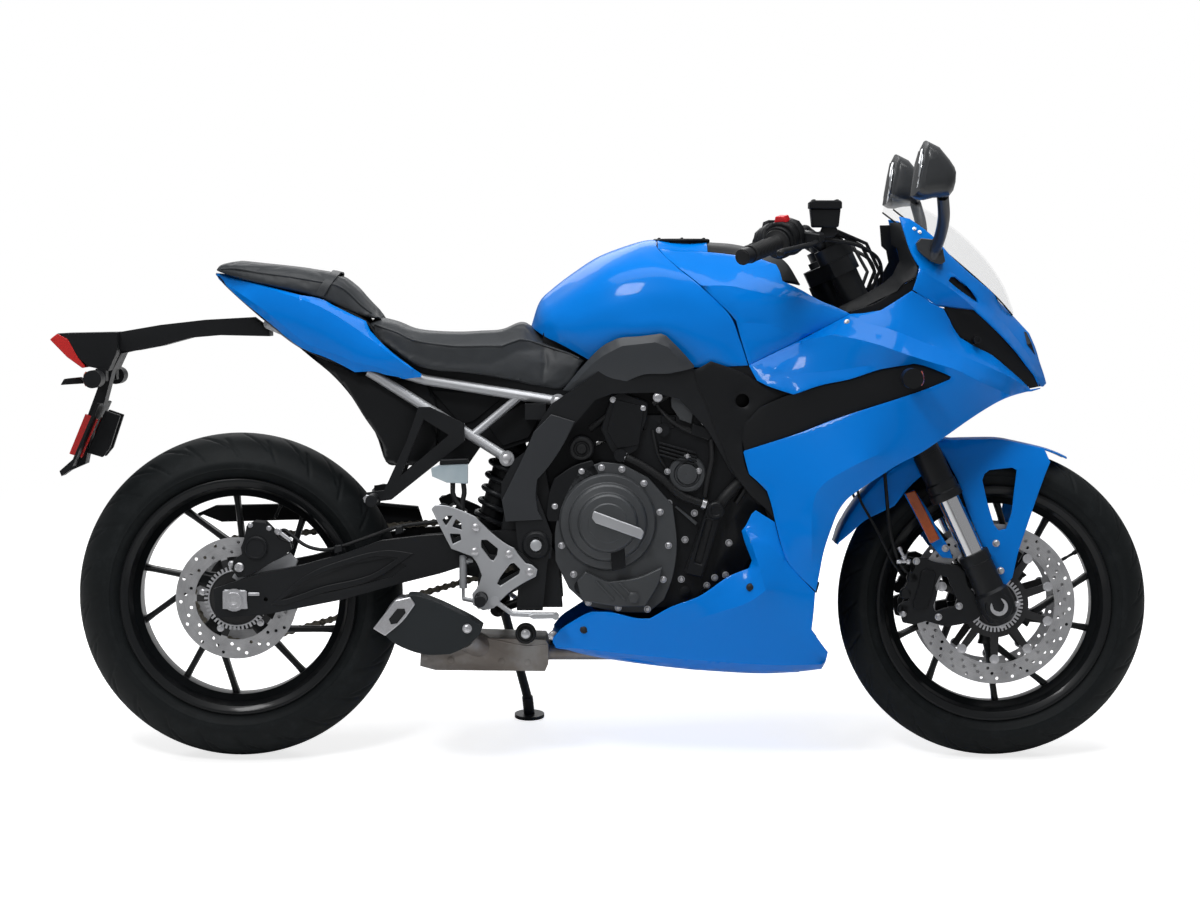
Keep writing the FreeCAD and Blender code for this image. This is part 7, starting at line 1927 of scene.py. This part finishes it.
REAR_CALIPER = [(23, 457), (37, 465), (58, 463), (71, 450), (86, 432), (106, 424), (109, 411), (90, 396),
                (67, 384), (44, 369), (28, 360), (6, 357), (-5, 373), (-2, 392), (14, 402), (12, 415),
                (19, 434)]
REAR_HANGER = [(28, 372), (70, 388), (104, 404), (120, 388), (112, 366), (84, 358), (40, 348), (8, 344),
               (-8, 356), (4, 372)]
rear_caliper = slab("rear_caliper_body", REAR_CALIPER, -140, -118, 4)
fit(rear_caliper, "chassis", satin_metal, "rear_caliper")
fit(slab("rear_caliper_inner", REAR_CALIPER[:9] + [(60, 392), (30, 404)], -96, -84, 3), "chassis",
    satin_metal)
fit(slab("rear_caliper_bridge", [(37, 463), (56, 461), (84, 431), (70, 440), (48, 452)], -120, -94, 2),
    "chassis", satin_metal)
fit(slab("rear_caliper_hanger", REAR_HANGER, -119, -111, 2), "chassis", silver_alloy)
piston = [(0, 0), (21, 0), (22.5, 2), (22.5, 10), (20.5, 12.5), (18, 12.5), (17, 11), (0, 11)]
fit(lathe("rear_piston_cap", piston, bike(41, -134, 414), -LEFT, 40, 30), "chassis", satin_metal)
for name, x, z, radius in (("slide_pin", 9, 377, 9), ("rear_banjo", 84, 446, 7)):
    head = [(0, 0), (radius, 0), (radius, 6), (radius - 2, 8), (3, 8), (3, 5), (0, 5)]
    fit(lathe(name, head, bike(x, -140, z), -LEFT, 24, 30), "chassis", bright_steel)
fit(tube("rear_banjo_neck", [(84, 446, -142), (95, 438, -142), (108, 428, -142)], 4.2, 12), "chassis",
    bright_steel)
bolts("rear_caliper_bolts", [bike(30, -140, 458), bike(66, -140, 452)], -LEFT, 4, 4, "chassis", sides=12)
softened("rear_brake_hose", "chassis", hose_rubber, 0)
for k, (x, z) in enumerate(((199, 412), (316, 448))):
    clip = slab("hose_clip_%d" % (k + 1), [(x - 8, z - 9), (x + 8, z - 4), (x + 6, z + 9), (x - 8, z + 7)],
                -146, -130, 2)
    fit(clip, "chassis", satin_metal)

# ---------------------------------------------------------------- foot controls
# Cast silver brackets with cut-outs, folding pegs and pressed levers on both sides.
REARSET = [(378, 491), (385, 498), (402, 498), (433, 489), (462, 476), (474, 463), (499, 440), (522, 423),
           (536, 416), (543, 405), (558, 387), (570, 384), (580, 375), (577, 362), (554, 350), (525, 331),
           (507, 313), (497, 302), (477, 297), (457, 308), (456, 329), (467, 344), (474, 364), (465, 387),
           (456, 400), (416, 415), (395, 456)]
REARSET_HOLES = [[(399, 470), (408, 478), (419, 478), (406, 459)],
                 [(425, 472), (435, 464), (436, 451), (418, 457)],
                 [(413, 444), (433, 443), (435, 432), (419, 424)],
                 [(473, 432), (484, 432), (505, 415), (503, 403), (496, 392), (490, 395), (473, 418)],
                 [(528, 386), (535, 388), (547, 376), (545, 367), (509, 344), (503, 348), (507, 357)]]
PEDAL_PAD = [(560, 289), (572, 294), (612, 294), (620, 289), (612, 284), (572, 283)]
softened("rearsets", "chassis", satin_metal, 1.5)
softened("foot_levers", "chassis", silver_alloy, 1.2)
for side, name in SIDES:
    fit(slab("rearset_plate_" + name, REARSET, side * 171, side * 179, 1.5, REARSET_HOLES), "chassis",
        silver_alloy)
    bolts("rearset_bolts_" + name, [bike(x, side * 179, z) for x, z in ((463, 456), (461, 410), (526, 405),
                                                                      (566, 371))],
          LEFT * side, 7, 4, "chassis", sides=12)
    pad = slab("pedal_pad_" + name, PEDAL_PAD, side * 178, side * 204, 2)
    fit(pad, "chassis", silver_alloy)

# ---------------------------------------------------------------- rear brake reservoir
# A translucent cup with a black lid above the rider's peg, and two short hoses down to the
# cylinder.
milky = two_tone("translucent cup", "clear", (0.30, 0.40, 0.46), (0.58, 0.66, 0.70), haze=(26, 3),
                 rough=(0.28, 0.1), Specular_IOR_Level=0.5)
CUP = [(377, 567), (394, 574), (447, 576), (447, 538), (407, 540), (379, 552)]
cup = slab("rear_cup", CUP, -160, -136, 4)
fit(cup, "chassis", milky, "brake_reservoir")
fit(slab("rear_cup_lid", [(393, 574), (448, 577), (447, 586), (394, 584)], -162, -134, 2), "chassis",
    plastic)
for name, line in (("supply", [(418, 540, -148), (418, 520, -150), (424, 504, -152), (436, 490, -154)]),
                   ("vent", [(438, 540, -148), (440, 520, -150), (436, 500, -152), (438, 470, -156)])):
    fit(tube("cup_hose_" + name, line, 5, 12), "chassis", hose_rubber)

# ---------------------------------------------------------------- side stand and fuel cap
# A forged steel leg with a flat foot, on its own pin, and a turned alloy cap with a keyhole, on a
# hinge in its bezel.  Both are the solids with their edges rounded.
softened("side_stand", "stand", satin_metal, 1.0)
softened("fuel_cap", "cap", satin_metal, 1.5)
